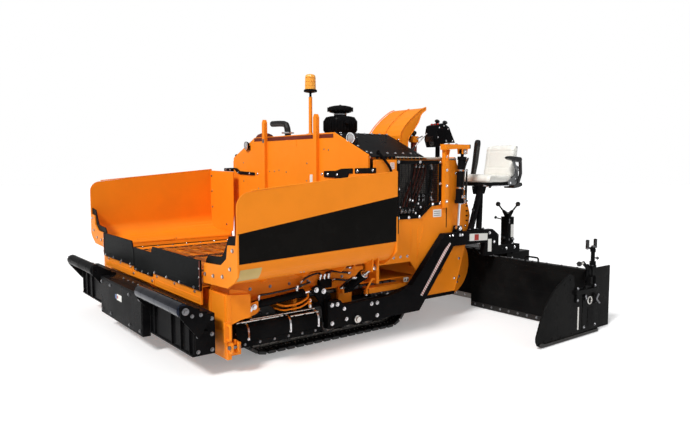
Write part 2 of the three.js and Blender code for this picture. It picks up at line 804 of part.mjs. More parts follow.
// Floor behind the hood and the wall under its rear edge, in one piece.
function operatorDeck() {
  const side = panelInside;
  const front = hoodRear + deckStep;
  const deck = block(-side, side, front, deckRear, operatorDeckZ - wallPlate, operatorDeckZ);
  const low = deckTop - 10;
  const wall = block(-side, side, frameRear + seat, deckRear, low, operatorDeckZ - 8);
  const mouthTop = deckTop + tunnelHeight;
  const opening = block(-tunnelHalf, tunnelHalf, frameRear - 30, deckRear + 30, low - 10, mouthTop);
  return cut(union(deck, wall), opening);
}

// A curved visor that leans back over the deck's rear edge.
function consoleHood() {
  const low = operatorDeckZ + seat;
  const rear = (dy) => frameRear + dy;
  const up = (dz) => operatorDeckZ + dz;
  const outline = [
    [rear(-315), low], [rear(-320), up(212)], [rear(-296), up(262)], [rear(-253), up(312)],
    [rear(-164), up(390)], [rear(-59), up(460)], [rear(10), up(486)], [rear(10), up(466)],
    [rear(-58), up(422)], [rear(-97), up(336)], [rear(-175), up(240)], [rear(-226), up(172)],
    [rear(-240), low],
  ];
  return prism('x', outline, consoleInner, consoleOuter);
}

// A faceted box with its stem and foot.
function dashBox() {
  const rear = (dy) => bodyRear + dy;
  const up = (dz) => operatorDeckZ + dz;
  const outline = [
    [rear(-160), up(175)], [rear(-135), up(300)], [rear(-48), up(325)], [rear(20), up(291)],
    [rear(106), up(145)], [rear(-17), up(142)], [rear(-130), up(100)],
  ];
  const inner = dashInner;
  const x = inner + dashWidth / 2;
  const stem = rod([x, rear(-55), up(seat)], [x, rear(-55), up(172)], 22, 12);
  const foot = block(x - 35, x + 35, rear(-90), rear(-22), up(seat), up(8));
  return union(prism('x', outline, inner, inner + dashWidth), stem, foot);
}

function crossEye(centre, radius) {
  const [x, y, z] = centre;
  return rod([x - eyeHalf + 2, y, z], [x + eyeHalf - 2, y, z], radius);
}

function liftBarrel() {
  const [x, y, z] = liftTop;
  const mouth = along(liftTop, liftLow, liftBarrelLength + 1);
  const body = union(
    rod(along(liftTop, liftLow, 45), along(liftTop, liftLow, liftBarrelLength), liftBarrelRadius),
    rod(along(liftTop, liftLow, 5), along(liftTop, liftLow, 60), 15, 12),
    crossEye(liftTop, eyeRadius),
  );
  const bore = rod(along(liftTop, liftLow, liftBoreDepth), mouth, liftRodRadius + pinClearance);
  return cut(body, bore, rod([x - 60, y, z], [x + 60, y, z], eyePin + pinClearance));
}

function liftRod() {
  const [x, y, z] = liftLow;
  const body = union(
    rod(along(liftLow, liftTop, liftRodLength), liftLow, liftRodRadius),
    crossEye(liftLow, eyeRadius - 2),
  );
  return cut(body, rod([x - 60, y, z], [x + 60, y, z], eyePin));
}

function liftPost() {
  const [x, y, z] = liftTop;
  const inner = sidePanelX + seat;
  const rear = y - 172;
  const post = block(inner, inner + 40, rear - liftPostDepth, rear, liftPostBottom, z + 35);
  const arm = [[y - 245, z + 15], [y - 60, z + 27], [y + 60, z + 27], [y + 60, z + 65], [y - 245, z + 65]];
  const hanger = [[y - 32, z - 20], [y + 32, z - 20], [y + 40, z + 40], [y - 40, z + 40]];
  const inside = eyeHalf + 3;
  return union(
    post,
    prism('x', arm, inner, x + 34),
    prism('x', hanger, x - inside - 9, x - inside),
    prism('x', hanger, x + inside, x + inside + 9),
    rod([x - inside - 7, y, z], [x + inside + 7, y, z], eyePin),
  );
}

function augerPlate() {
  const front = deckRear + seat;
  const middle = augerY - 100;
  const centreZ = augerZ + 120;
  const r = augerPlateRadius;
  const shape = new THREE.Shape();
  shape.moveTo(front, centreZ - r);
  shape.lineTo(middle, centreZ - r);
  shape.absarc(middle, centreZ, r, -Math.PI / 2, Math.PI / 2, false);
  shape.lineTo(front, centreZ + r);
  const plate = prism('x', shape, augerPlateX - augerPlateThickness, augerPlateX, 8);
  const [inside, outside] = [augerPlateX - 100, augerPlateX + 100];
  return cut(plate, rod([inside, augerY, augerZ], [outside, augerY, augerZ], augerStub + pinClearance));
}

// ---------------------------------------------------------------- push beam
function pushBeam() {
  const w = beamWall;
  const box = cut(
    block(-beamHalf, beamHalf, beamFront, beamRear, beamBottom, beamTop),
    block(-beamHalf + w, beamHalf - w, beamFront + w, beamRear - w, beamBottom - 5, beamTop - w),
  );
  const half = beamCentreHalf;
  const front = beamCentreFront;
  const centre = cut(
    block(-half, half, front, beamFront + 1, beamBottom - 35, beamTop + 10),
    block(-half + w, half - w, front + w, beamFront - 1, beamBottom - 40, beamTop - w),
  );
  const low = kingPinZ - kingPinHalf;
  const high = kingPinZ + kingPinHalf;
  const web = block(-20, 20, beamFront + 1, kingPinY, low, high);
  const barrel = rod([0, kingPinY, low], [0, kingPinY, high], 45, 20);
  const notch = block(-90, 90, kingPinY - 65, beamRear + 10, low - 42, high + 42);
  const reach = 32;
  const ear = [
    [beamFront + 90, beamTop - 20], [beamFront + 5, beamTop - 140],
    [pushRollerY - reach, pushRollerZ - 40], [pushRollerY - reach, pushRollerZ + 35],
    [pushRollerY + reach, pushRollerZ + 35], [beamFront + 90, beamTop],
  ];
  const earInner = pushRollerInner - sideClearance - earPlate;
  const earOuter = pushRollerOuter + sideClearance;
  const ears = [earInner, earOuter].map((x) => prism('x', ear, x, x + earPlate));
  const shelf = block(beamHalf - 30, earOuter + 2, beamFront + 20, beamFront + 80, beamTop - 110, beamTop - 98);
  const bore = pushRollerShaft + pinClearance;
  const journal = rod([earInner - 10, pushRollerY, pushRollerZ], [earOuter + 30, pushRollerY, pushRollerZ], bore);
  const side = union(cut(union(ears), journal), shelf);
  const shell = union(cut(box, notch), centre, bothSides(side), web, barrel);
  const pin = kingPinRadius + pinClearance;
  return cut(shell, rod([0, kingPinY, 100], [0, kingPinY, 500], pin));
}

function pushRoller() {
  const half = (pushRollerOuter - pushRollerInner) / 2;
  const journal = half + sideClearance + earPlate - 2;
  const shaft = pushRollerShaft;
  const profile = [
    [0, -journal], [shaft, -journal], [shaft, -half], [pushRollerRadius, -half],
    [pushRollerRadius, half], [shaft, half], [shaft, journal], [0, journal],
  ];
  const geometry = turned(profile, 16);
  geometry.rotateY(Math.PI / 2);
  return toSolid(geometry);
}

// ---------------------------------------------------------------- augers
// A screw flight about the X axis from x0 to x1.
function flight(x0, x1, inner, outer, thickness, stepsPerTurn = 9) {
  const turns = (x1 - x0 - thickness) / augerPitch;
  const steps = Math.round(turns * stepsPerTurn);
  const positions = [];
  for (let i = 0; i <= steps; i += 1) {
    const x = x0 + (x1 - x0 - thickness) * i / steps;
    const angle = 2 * Math.PI * turns * i / steps;
    const [c, s] = [Math.cos(angle), Math.sin(angle)];
    positions.push(x, inner * c, inner * s, x, outer * c, outer * s);
    positions.push(x + thickness, outer * c, outer * s, x + thickness, inner * c, inner * s);
  }
  const index = [0, 1, 2, 0, 2, 3];
  for (let i = 0; i < steps; i += 1) {
    for (let k = 0; k < 4; k += 1) {
      const a = i * 4 + k;
      const b = i * 4 + (k + 1) % 4;
      index.push(a, a + 4, b, b, a + 4, b + 4);
    }
  }
  const end = steps * 4;
  index.push(end, end + 2, end + 1, end, end + 3, end + 2);
  const geometry = new THREE.BufferGeometry();
  geometry.setAttribute('position', new THREE.BufferAttribute(new Float32Array(positions), 3));
  geometry.setIndex(index);
  geometry.translate(0, augerY, augerZ);
  return geometry;
}

function auger() {
  const x0 = gearboxHalf + 5;
  const x1 = augerPlateX - augerPlateThickness - sideClearance;
  const screw = toSolid(flight(x0 + 5, x1 - 5, augerShaft - 6, augerRadius, flightPlate));
  const shaft = rod([x0, augerY, augerZ], [x1, augerY, augerZ], augerShaft);
  const stub = rod([x0 - 18, augerY, augerZ], [augerPlateX - 2, augerY, augerZ], augerStub);
  return union(screw, shaft, stub);
}

function augerGearbox() {
  const half = gearboxHalf;
  const box = block(-half, half, frameRear - 1, augerY + 90, augerZ - 140, augerZ + 140);
  const bore = augerStub + pinClearance;
  return cut(box, rod([-half - 40, augerY, augerZ], [half + 40, augerY, augerZ], bore));
}

// ---------------------------------------------------------------- screed
function mainScreed() {
  const w = screedWall;
  const half = screedHalf;
  const outside = block(-half, half, screedFront, screedRear, screedBottom, screedTop);
  const inside = block(
    w - half, half - w, screedFront + w, screedRear - w, screedBottom + 2 * w, screedTop - w,
  );
  const hatches = [-half / 2, 0, half / 2].map((x) => {
    return block(x - 120, x + 120, screedFront + 120, screedRear - 100, screedTop - 40, screedTop + 5);
  });
  const holes = [];
  const bore = guideRadius + pinClearance;
  for (const z of [guideLow, guideHigh]) {
    holes.push(rod([0, guideLeftY, z], [half + 10, guideLeftY, z], bore, 20));
    holes.push(rod([-half - 10, guideRightY, z], [0, guideRightY, z], bore, 20));
  }
  return union(cut(outside, inside, hatches, holes), walkway());
}

function walkway() {
  const top = walkwayTop;
  const half = screedHalf;
  const rear = screedRear + walkwayDepth;
  const pieces = [block(-half, half, screedRear - 1, rear, top - walkwayPlate, top)];
  for (const x of [120 - half, 0, half - 120]) {
    const bracket = [[screedRear - 1, top - 20], [rear - 20, top - 20], [screedRear - 1, 120]];
    pieces.push(prism('x', bracket, x - 6, x + 6));
  }
  return union(pieces);
}

// The arm runs level behind its pin, climbs past the body's rear end, runs
// level over the auger and steps down onto the screed.
function towArm() {
  const rear = (dy) => bodyRear + dy;
  const under = armTop - armDepth;
  const low = extensionTop + 20;
  const footY = screedFront + 120;
  const outline = [
    [towPinY - 286, towPinZ - 38], [rear(-550), towPinZ - 36], [rear(-120), under],
    [augerY + 100, under], [augerY + 100, low], [footY, low], [footY, low + 80],
    [augerY + 300, low + 80], [augerY + 300, armTop - 60], [augerY + 210, armTop],
    [rear(-242), armTop], [rear(-644), towPinZ + 195], [rear(-900), towPinZ + 137],
    [towPinY - 126, towPinZ + 132], [towPinY - 166, towPinZ + 176], [towPinY - 286, towPinZ + 176],
  ];
  const foot = block(screedHalf - 120, armOuter, screedFront + 10, footY, screedTop + seat, low + 15);
  const [pinInner, pinOuter] = [armInner - 5, armOuter + 5];
  const bore = rod([pinInner, towPinY, towPinZ], [pinOuter, towPinY, towPinZ], towPinRadius + pinClearance);
  const [x, y, z] = liftLow;
  const lug = [[y - 45, armTop - 10], [y + 45, armTop - 10], [y + 24, z + 24], [y - 24, z + 24]];
  const lugs = [prism('x', lug, x - 28, x - 20), prism('x', lug, x + 20, x + 28)];
  return cut(union(prism('x', outline, armInner, armOuter), foot, lugs), bore);
}

function seatFrame() {
  const low = armTop + seat;
  const high = low + 12;
  const y = (dy) => augerY + dy;
  const frontPost = [armInner + 25, y(35), low + 6];
  const panFront = [seatX + 20, y(100), seatPanZ + 5];
  const rearPost = [armInner + 25, y(-85), low + 6];
  const panMiddle = [armInner + 22, y(70), seatPanZ + 4];
  const half = seatHalf - 20;
  return union(
    block(armInner + 5, armOuter - 5, y(-10), y(80), low, high),
    rod(frontPost, panFront, 24, 12),
    block(armInner + 8, armOuter - 20, y(-110), y(-60), low, high),
    rod(rearPost, panMiddle, 14, 12),
    block(seatX - half, seatX + half, y(40), y(370), seatPanZ, seatPanZ + seatPanPlate),
  );
}

function seatCushions() {
  const low = seatPanZ + seatPanPlate + seat;
  const y = (dy) => augerY + dy;
  const top = seatPanZ + seatBackRise;
  const outline = [
    [y(20), low], [y(390), low], [y(440), top - 12], [y(365), top], [y(300), low + 85], [y(30), low + 80],
  ];
  return prism('x', outline, seatX - seatHalf, seatX + seatHalf);
}

// Stands on the tow arm's foot.
function controlTower() {
  const low = extensionTop + 35 + seat;
  const x = screedHalf - 48;
  const y = screedFront + 66;
  return union(
    block(x - 62, x + 47, y - 52, y + 51, low, low + 14),
    block(x - 46, x + 42, y - 46, y + 45, low + 10, low + 325),
    block(x - 24, x + 25, y - 24, y + 23, low + 315, low + 360),
    rod([x - 8, y - 10, low + 345], [x - 62, y - 72, low + 452], 8, 8),
    rod([x + 8, y + 9, low + 345], [x + 62, y + 71, low + 452], 8, 8),
  );
}

// ---------------------------------------------------------------- extensions
function extension(guideY) {
  const t = extensionPlate;
  const rear = extensionFront + extensionDepth;
  const low = screedBottom;
  const front = extensionFront;
  const inner = extensionInner;
  const outer = extensionHalf;
  const top = extensionTop;
  const pieces = [
    block(inner, outer, front, front + t, low, top),
    block(inner, outer, front, rear, low, low + 40),
    block(inner, inner + t, front, rear, low, top),
    block(outer - t, outer, front, guideY + 2 * guideRadius, low, top),
    block(inner, outer, front, front + 60, top - t, top),
  ];
  const guideInner = screedHalf - guideGrip;
  for (const z of [guideLow, guideHigh]) {
    pieces.push(rod([guideInner, guideY, z], [outer - 2, guideY, z], guideRadius, 20));
  }
  // pads that the end gate slides on
  const padLow = gateShoe + gateLift + 28;
  for (const y of [front + 28, gateRear - 14.5]) {
    pieces.push(block(outer - 1, outer + gateGap - 0.5, y - padHalf, y + padHalf, padLow, top - 60));
  }
  // the gate's jack and its crank
  const barTop = jackTop + 80;
  pieces.push(block(outer - jackLap, jackX + jackRadius, jackY - 25, jackY + 25, top - 1, top + 18));
  pieces.push(rod([jackX, jackY, top + 5], [jackX, jackY, jackTop], jackRadius));
  pieces.push(rod([jackX, jackY - 95, jackTop + 6], [jackX, jackY + 40, jackTop + 6], 9, 10));
  pieces.push(rod([jackX, jackY - 90, jackTop + 2], [jackX, jackY - 90, barTop], 9, 10));
  pieces.push(rod([jackX, jackY + 32, jackTop + 2], [jackX, jackY + 32, barTop], 9, 10));
  const bore = rod([jackX, jackY, top - 10], [jackX, jackY, jackTop - 15], jackRod + pinClearance);
  return cut(union(pieces), bore);
}

function endGate() {
  const inner = pavingHalf - gatePlate;
  const low = gateBottom;
  const y = (dy) => augerY + dy;
  const outline = [
    [gateFront + 62, low], [gateRear, low], [gateRear, low + 22], [gateRear - 4, 412],
    [y(4), 420], [y(-10), 520], [y(-60), 545], [y(-140), 512], [y(-268), 440], [y(-370), 350],
    [gateFront + 50, 216], [gateFront, 95], [gateFront, 60], [gateFront + 22, 24],
  ];
  const shoe = [[gateFront + 64, low], [gateRear, low], [gateRear, low + 22], [gateFront + 40, low + 22]];
  const rodTop = jackTop - 15 - gateLift - 15;
  return union(
    prism('x', outline, inner, pavingHalf),
    prism('x', shoe, inner - gateShoe, pavingHalf),
    block(jackX - jackRod, inner + 1, jackY - 12, jackY + 12, 90, 110),
    rod([jackX, jackY, 100], [jackX, jackY, rodTop], jackRod),
  );
}

// ---------------------------------------------------------------- top fittings
function beacon() {
  const geometry = turned([
    [0, 0], [45, 0], [45, 6], [17, 6], [17, 390], [40, 396], [62, 410], [62, 422],
    [50, 426], [50, 540], [38, 560], [0, 566],
  ], 16);
  return toSolid(geometry);
}

function precleaner() {
  const geometry = turned([
    [0, 0], [120, 0], [150, 20], [160, 60], [160, 130], [130, 170], [60, 178], [55, 200],
    [110, 210], [118, 240], [105, 262], [0, 270],
  ], 24);
  return toSolid(geometry);
}

function exhaust() {
  const x = -300;
  const y = bodyFront + 144;
  const base = hoodTop + seat;
  const up = (dz) => hoodTop + dz;
  const curve = new THREE.CatmullRomCurve3([
    new THREE.Vector3(x, y, base), new THREE.Vector3(x, y, up(52)),
    new THREE.Vector3(x - 30, y, up(127)), new THREE.Vector3(x - 100, y, up(142)),
    new THREE.Vector3(x - 300, y, up(150)),
  ], false, 'centripetal');
  const section = new THREE.Shape();
  section.absarc(0, 0, 32, 0, Math.PI * 2, false);
  const settings = { steps: 9, curveSegments: 5, extrudePath: curve, bevelEnabled: false };
  const tube = new THREE.ExtrudeGeometry(section, settings);
  return union(toSolid(tube), rod([x, y, base + 0.2], [x, y, base + 12], 60, 20));
}

// ---------------------------------------------------------------- chassis
place('main_frame', mainFrame(), orange);
place('hopper_deck', hopperDeck(), orange);
place('conveyor', conveyor(), steel);
place('front_apron', frontApron(), orange);
place('front_flap', frontFlap(), rubber);
place('bulkhead', bulkhead(), orange);
place('conveyor_tunnel', tunnel(), orange);
place('engine_block', engineBlock(), black);
place('engine_hood', engineHood(), orange);
place('operator_deck', operatorDeck(), orange);
place('console_hood', consoleHood(), orange);
place('dash_box', dashBox(), black);
placePair('side_panel', sidePanel(), orange);
placePair('mesh_guard', meshGuard(), black);
placePair('lift_post', liftPost(), orange);
placePair('track', track(), rubber);
placePair('track_frame', trackFrame(), orange);
placePair('track_guard', trackGuard(), black);
placePair('auger_plate', augerPlate(), orange);

placePair('tow_cylinder', towCylinder(), steel);
placePair('lift_barrel', liftBarrel(), black);
placePair('lift_rod', liftRod(), chrome);

const fittingZ = hoodTop + seat;
place('beacon', beacon(), amber).position.set(230, bodyFront + 59, fittingZ);
place('precleaner', precleaner(), black).position.set(450, hoodRear - 370, fittingZ);
place('exhaust', exhaust(), black);

// ---------------------------------------------------------------- moving pieces
placePair('wing', wing(), orange);
placePair('wing_barrel', wingBarrel(), black);
placePair('wing_rod', wingRod(), chrome);
place('push_beam', pushBeam(), black);
const rollerX = (pushRollerInner + pushRollerOuter) / 2;
place('left_push_roller', pushRoller(), rubber).position.set(rollerX, pushRollerY, pushRollerZ);
place('right_push_roller', pushRoller(), rubber).position.set(-rollerX, pushRollerY, pushRollerZ);
placePair('auger', auger(), steel);

place('main_screed', mainScreed(), black);
placePair('tow_arm', towArm(), black);
placePair('seat_frame', seatFrame(), black);
placePair('seat', seatCushions(), vinyl);
placePair('control_tower', controlTower(), black);

place('left_extension', extension(guideLeftY), black);
place('right_extension', mirrored(extension(guideRightY)), black);
placePair('end_gate', endGate(), black);

export default machine;
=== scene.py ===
import math

import bmesh
import bpy
from mathutils import Matrix, Vector
from mathutils.geometry import tessellate_polygon


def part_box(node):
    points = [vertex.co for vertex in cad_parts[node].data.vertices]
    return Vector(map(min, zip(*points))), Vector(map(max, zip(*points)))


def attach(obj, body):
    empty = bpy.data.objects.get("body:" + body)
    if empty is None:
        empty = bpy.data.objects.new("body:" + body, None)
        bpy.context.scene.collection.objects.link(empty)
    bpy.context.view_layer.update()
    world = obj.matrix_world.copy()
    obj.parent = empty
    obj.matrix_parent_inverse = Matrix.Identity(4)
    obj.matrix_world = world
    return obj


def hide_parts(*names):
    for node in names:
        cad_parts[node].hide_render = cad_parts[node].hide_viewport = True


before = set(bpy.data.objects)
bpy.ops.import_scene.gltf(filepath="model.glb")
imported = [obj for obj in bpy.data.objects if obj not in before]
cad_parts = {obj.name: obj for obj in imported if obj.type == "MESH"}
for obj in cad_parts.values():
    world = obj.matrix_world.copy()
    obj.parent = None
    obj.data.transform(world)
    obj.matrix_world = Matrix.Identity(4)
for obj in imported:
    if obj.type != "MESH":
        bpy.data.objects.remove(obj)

bl_info = {
    "name": "Asphalt Paver",
    "version": (1, 0, 0),
    "blender": (4, 5, 0),
    "location": "View3D > Sidebar > Paver",
    "description": "Builds the pieces and finishes of a tracked asphalt paver round its fixed frame",
    "category": "Object",
}

# ------------------------------------------------------------------ places
# Shapes are written in millimetres from the hopper's front plane, front
# towards -Y. FRONT is where that plane lies in the frame, in metres.
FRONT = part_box("hopper_deck")[0].y
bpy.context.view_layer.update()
MM = 1000.0


def span(node):
    """Lowest and highest corner of a node, in millimetres from the hopper's front."""
    low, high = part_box(node)
    shift = Vector((0.0, FRONT, 0.0))
    return (low - shift) * MM, (high - shift) * MM


# ------------------------------------------------------------------ settings
class PaverSizes(bpy.types.PropertyGroup):
    """Sizes that a user may change without moving a piece."""

    plate_round: bpy.props.FloatProperty(
        name="Plate edge rounding", description="Rounding of cut plate edges",
        default=0.0018, min=0.0, max=0.005, unit="LENGTH",
    )
    bolt_radius: bpy.props.FloatProperty(
        name="Bolt head radius", description="Across-corner radius of a common bolt head",
        default=0.011, min=0.004, max=0.03, unit="LENGTH",
    )
    shoe_count: bpy.props.IntProperty(
        name="Track shoes", description="Shoes round each track", default=44, min=20, max=80,
    )
    slat_pitch: bpy.props.FloatProperty(
        name="Slat pitch", description="Distance between conveyor slats",
        default=0.15, min=0.1, max=0.3, unit="LENGTH",
    )
    mesh_pitch: bpy.props.FloatProperty(
        name="Guard mesh pitch", description="Distance between the wires of the side guards",
        default=0.017, min=0.01, max=0.05, unit="LENGTH",
    )
    floor_size: bpy.props.FloatProperty(
        name="Floor size", description="Side of the studio floor", default=80.0, min=20.0, unit="LENGTH",
    )


class PaverColours(bpy.types.PropertyGroup):
    """Colours of the finishes."""

    orange: bpy.props.FloatVectorProperty(
        name="Orange paint", description="Body colour", subtype="COLOR", size=3, min=0, max=1,
        default=(0.93, 0.262, 0.010),
    )
    black: bpy.props.FloatVectorProperty(
        name="Black paint", description="Paint of the arms, screed and beam", subtype="COLOR", size=3,
        min=0, max=1, default=(0.0045, 0.0045, 0.005),
    )
    rubber: bpy.props.FloatVectorProperty(
        name="Rubber", description="Flaps and seals", subtype="COLOR", size=3, min=0, max=1,
        default=(0.0065, 0.0068, 0.007),
    )
    vinyl: bpy.props.FloatVectorProperty(
        name="Seat vinyl", description="Cover of the seats", subtype="COLOR", size=3, min=0, max=1,
        default=(0.86, 0.85, 0.79),
    )
    amber: bpy.props.FloatVectorProperty(
        name="Amber lens", description="Warning lamp's dome", subtype="COLOR", size=3, min=0, max=1,
        default=(0.55, 0.075, 0.006),
    )
    floor: bpy.props.FloatVectorProperty(
        name="Floor", description="Studio floor", subtype="COLOR", size=3, min=0, max=1,
        default=(0.86, 0.86, 0.86),
    )


def sizes():
    return bpy.context.scene.paver_sizes


def colours():
    return bpy.context.scene.paver_colours


def rounding():
    return sizes().plate_round * MM


# ------------------------------------------------------------------ mesh tools
def shell(work, points, faces, finish=0):
    """Add one closed skin and return its faces."""
    verts = [work.verts.new(p) for p in points]
    made = []
    for corners in faces:
        face = work.faces.new([verts[i] for i in corners])
        face.material_index = finish
        made.append(face)
    return made


def soften(work, faces, amount, steps=2, limit=28.0):
    """Round the sharp edges of some faces by an amount in millimetres."""
    if amount <= 0:
        return
    bmesh.ops.recalc_face_normals(work, faces=faces)
    edges = {e for f in faces for e in f.edges}
    sharp = [e for e in edges if len(e.link_faces) == 2 and math.degrees(e.calc_face_angle(0)) > limit]
    if sharp:
        bmesh.ops.bevel(
            work, geom=sharp, offset=amount, segments=steps, profile=0.5,
            affect="EDGES", clamp_overlap=True, material=-1,
        )


def lift(axis, u, v, w):
    """A point from its place on an outline and along the axis across it."""
    if axis == "x":
        return (w, u, v)
    if axis == "y":
        return (u, w, v)
    return (u, v, w)


def circle(u, v, radius, sides=16, start=0.0):
    turn = 2 * math.pi / sides
    return [
        (u + radius * math.cos(start + i * turn), v + radius * math.sin(start + i * turn))
        for i in range(sides)
    ]


def arc(u, v, radius, start, end, steps=8):
    """Points on an arc, angles in degrees."""
    out = []
    for i in range(steps + 1):
        a = math.radians(start + (end - start) * i / steps)
        out.append((u + radius * math.cos(a), v + radius * math.sin(a)))
    return out


def rounded(outline, radius, steps=4):
    """An outline with each corner rounded."""
    out = []
    count = len(outline)
    for i in range(count):
        here = Vector(outline[i])
        back = Vector(outline[i - 1]) - here
        ahead = Vector(outline[(i + 1) % count]) - here
        r = radius[i] if isinstance(radius, (list, tuple)) else radius
        reach = min(r, back.length * 0.45, ahead.length * 0.45)
        if reach < 0.5:
            out.append(tuple(here))
            continue
        a = here + back.normalized() * reach
        b = here + ahead.normalized() * reach
        for k in range(steps + 1):
            t = k / steps
            out.append(tuple((1 - t) ** 2 * a + 2 * t * (1 - t) * here + t * t * b))
    return out


def slab(work, axis, outline, low, high, finish=0, round_off=None, holes=()):
    """A plate: an outline, with any holes, pushed along an axis."""
    rings = [list(outline)] + [list(h) for h in holes]
    points, faces, start = [], [], 0
    for ring in rings:
        points += [lift(axis, u, v, low) for u, v in ring]
        points += [lift(axis, u, v, high) for u, v in ring]
    offsets = []
    for ring in rings:
        n = len(ring)
        offsets.append(start)
        for i in range(n):
            j = (i + 1) % n
            faces.append((start + i, start + j, start + n + j, start + n + i))
        start += 2 * n
    if len(rings) == 1:
        n = len(rings[0])
        faces.append(tuple(range(n))[::-1])
        faces.append(tuple(range(n, 2 * n)))
    else:
        flat = [(ring_i, i) for ring_i, ring in enumerate(rings) for i in range(len(ring))]
        cut = tessellate_polygon([[Vector((u, v, 0)) for u, v in ring] for ring in rings])
        for tri in cut:
            near = [offsets[flat[k][0]] + flat[k][1] for k in tri]
            far = [offsets[flat[k][0]] + len(rings[flat[k][0]]) + flat[k][1] for k in tri]
            faces.append(tuple(near))
            faces.append(tuple(reversed(far)))
    made = shell(work, points, faces, finish)
    bmesh.ops.recalc_face_normals(work, faces=made)
    soften(work, made, rounding() if round_off is None else round_off)


def block(work, x0, x1, y0, y1, z0, z1, finish=0, round_off=None):
    slab(work, "z", [(x0, y0), (x1, y0), (x1, y1), (x0, y1)], z0, z1, finish, round_off)


def across(direction):
    """Two unit vectors square to a direction."""
    d = Vector(direction).normalized()
    side = d.orthogonal().normalized()
    if abs(d.z) < 0.95:
        side = d.cross(Vector((0, 0, 1))).normalized()
    return side, d.cross(side).normalized()


def lathe(work, profile, base, axis, sides=24, finish=0):
    """Turn (radius, distance along the axis) points about an axis through base."""
    d = Vector(axis).normalized()
    side, up = across(d)
    base = Vector(base)
    rings = []
    for radius, reach in profile:
        if radius < 1e-6:
            rings.append([work.verts.new(base + d * reach)])
            continue
        ring = []
        for i in range(sides):
            a = 2 * math.pi * i / sides
            ring.append(work.verts.new(base + d * reach + (side * math.cos(a) + up * math.sin(a)) * radius))
        rings.append(ring)
    made = []
    for ring, after in zip(rings, rings[1:]):
        for i in range(sides):
            j = (i + 1) % sides
            corners = [ring[i % len(ring)], ring[j % len(ring)], after[j % len(after)], after[i % len(after)]]
            corners = list(dict.fromkeys(corners))
            if len(corners) > 2:
                made.append(work.faces.new(corners))
    for ring in (rings[0], rings[-1]):
        if len(ring) > 1:
            made.append(work.faces.new(ring))
    for face in made:
        face.material_index = finish
    bmesh.ops.recalc_face_normals(work, faces=made)


def bar(work, start, end, radius, sides=20, finish=0, edge=1.5):
    """A round bar with softened ends."""
    a, b = Vector(start), Vector(end)
    length = (b - a).length
    e = min(edge, radius * 0.4, length * 0.2)
    profile = [(0, 0), (radius - e, 0), (radius - e * 0.3, e * 0.3), (radius, e)]
    profile += [(radius, length - e), (radius - e * 0.3, length - e * 0.3), (radius - e, length), (0, length)]
    lathe(work, profile, a, b - a, sides, finish)


def ring_tube(work, start, end, outer, inner, sides=24, finish=0):
    """A bush: a tube with an open bore."""
    a, b = Vector(start), Vector(end)
    length = (b - a).length
    e = min(1.5, (outer - inner) * 0.3)
    d = (b - a).normalized()
    side, up = across(d)
    profile = [(inner, 0), (outer - e, 0), (outer, e), (outer, length - e), (outer - e, length),
               (inner, length)]
    rings = []
    for radius, reach in profile:
        rings.append([
            work.verts.new(
                a + d * reach
                + (side * math.cos(2 * math.pi * i / sides) + up * math.sin(2 * math.pi * i / sides)) * radius
            )
            for i in range(sides)
        ])
    made = []
    for k in range(len(rings)):
        ring, after = rings[k], rings[(k + 1) % len(rings)]
        for i in range(sides):
            j = (i + 1) % sides
            face = work.faces.new((ring[i], ring[j], after[j], after[i]))
            face.material_index = finish
            made.append(face)
    bmesh.ops.recalc_face_normals(work, faces=made)


def smooth_path(points, steps=8, closed=False):
    """Points along a smooth curve through the given ones."""
    pts = [Vector(p) for p in points]
    count = len(pts)
    out = []
    spans = count if closed else count - 1
    for i in range(spans):
        p0 = pts[(i - 1) % count] if closed or i > 0 else pts[0] * 2 - pts[1]
        p1 = pts[i]
        p2 = pts[(i + 1) % count]
        p3 = pts[(i + 2) % count] if closed or i + 2 < count else pts[-1] * 2 - pts[-2]
        for k in range(steps):
            t = k / steps
            out.append(
                0.5 * ((2 * p1) + (p2 - p0) * t + (2 * p0 - 5 * p1 + 4 * p2 - p3) * t * t
                       + (3 * p1 - p0 - 3 * p2 + p3) * t * t * t)
            )
    if not closed:
        out.append(pts[-1])
    return out


def corner_path(points, radius, steps=6):
    """Straight runs joined by round bends, as a bent bar or pipe has."""
    pts = [Vector(p) for p in points]
    out = [pts[0]]
    for before, here, after in zip(pts, pts[1:], pts[2:]):
        back, ahead = before - here, after - here
        reach = min(radius, back.length * 0.48, ahead.length * 0.48)
        a = here + back.normalized() * reach
        b = here + ahead.normalized() * reach
        for k in range(steps + 1):
            t = k / steps
            out.append((1 - t) ** 2 * a + 2 * t * (1 - t) * here + t * t * b)
    out.append(pts[-1])
    return out


def sweep(work, path, section, finish=0, closed=False, caps=True):
    """Carry a section, (side, up) points, along a path without twist."""
    path = [Vector(p) for p in path]
    count = len(path)
    tangents = []
    for i in range(count):
        if closed:
            t = path[(i + 1) % count] - path[i - 1]
        else:
            t = path[min(i + 1, count - 1)] - path[max(i - 1, 0)]
        tangents.append(t.normalized())
    side, _ = across(tangents[0])
    rings = []
    for i in range(count):
        if i:
            side = (side - tangents[i] * side.dot(tangents[i])).normalized()
        up = tangents[i].cross(side)
        rings.append([work.verts.new(path[i] + side * u + up * v) for u, v in section])
    n = len(section)
    made = []
    runs = count if closed else count - 1
    for i in range(runs):
        ring, after = rings[i], rings[(i + 1) % count]
        for k in range(n):
            m = (k + 1) % n
            made.append(work.faces.new((ring[k], ring[m], after[m], after[k])))
    if caps and not closed:
        made.append(work.faces.new(rings[0]))
        made.append(work.faces.new(rings[-1]))
    for face in made:
        face.material_index = finish
    bmesh.ops.recalc_face_normals(work, faces=made)


def pipe(work, path, radius, sides=12, finish=0, closed=False):
    sweep(work, path, circle(0, 0, radius, sides), finish, closed)


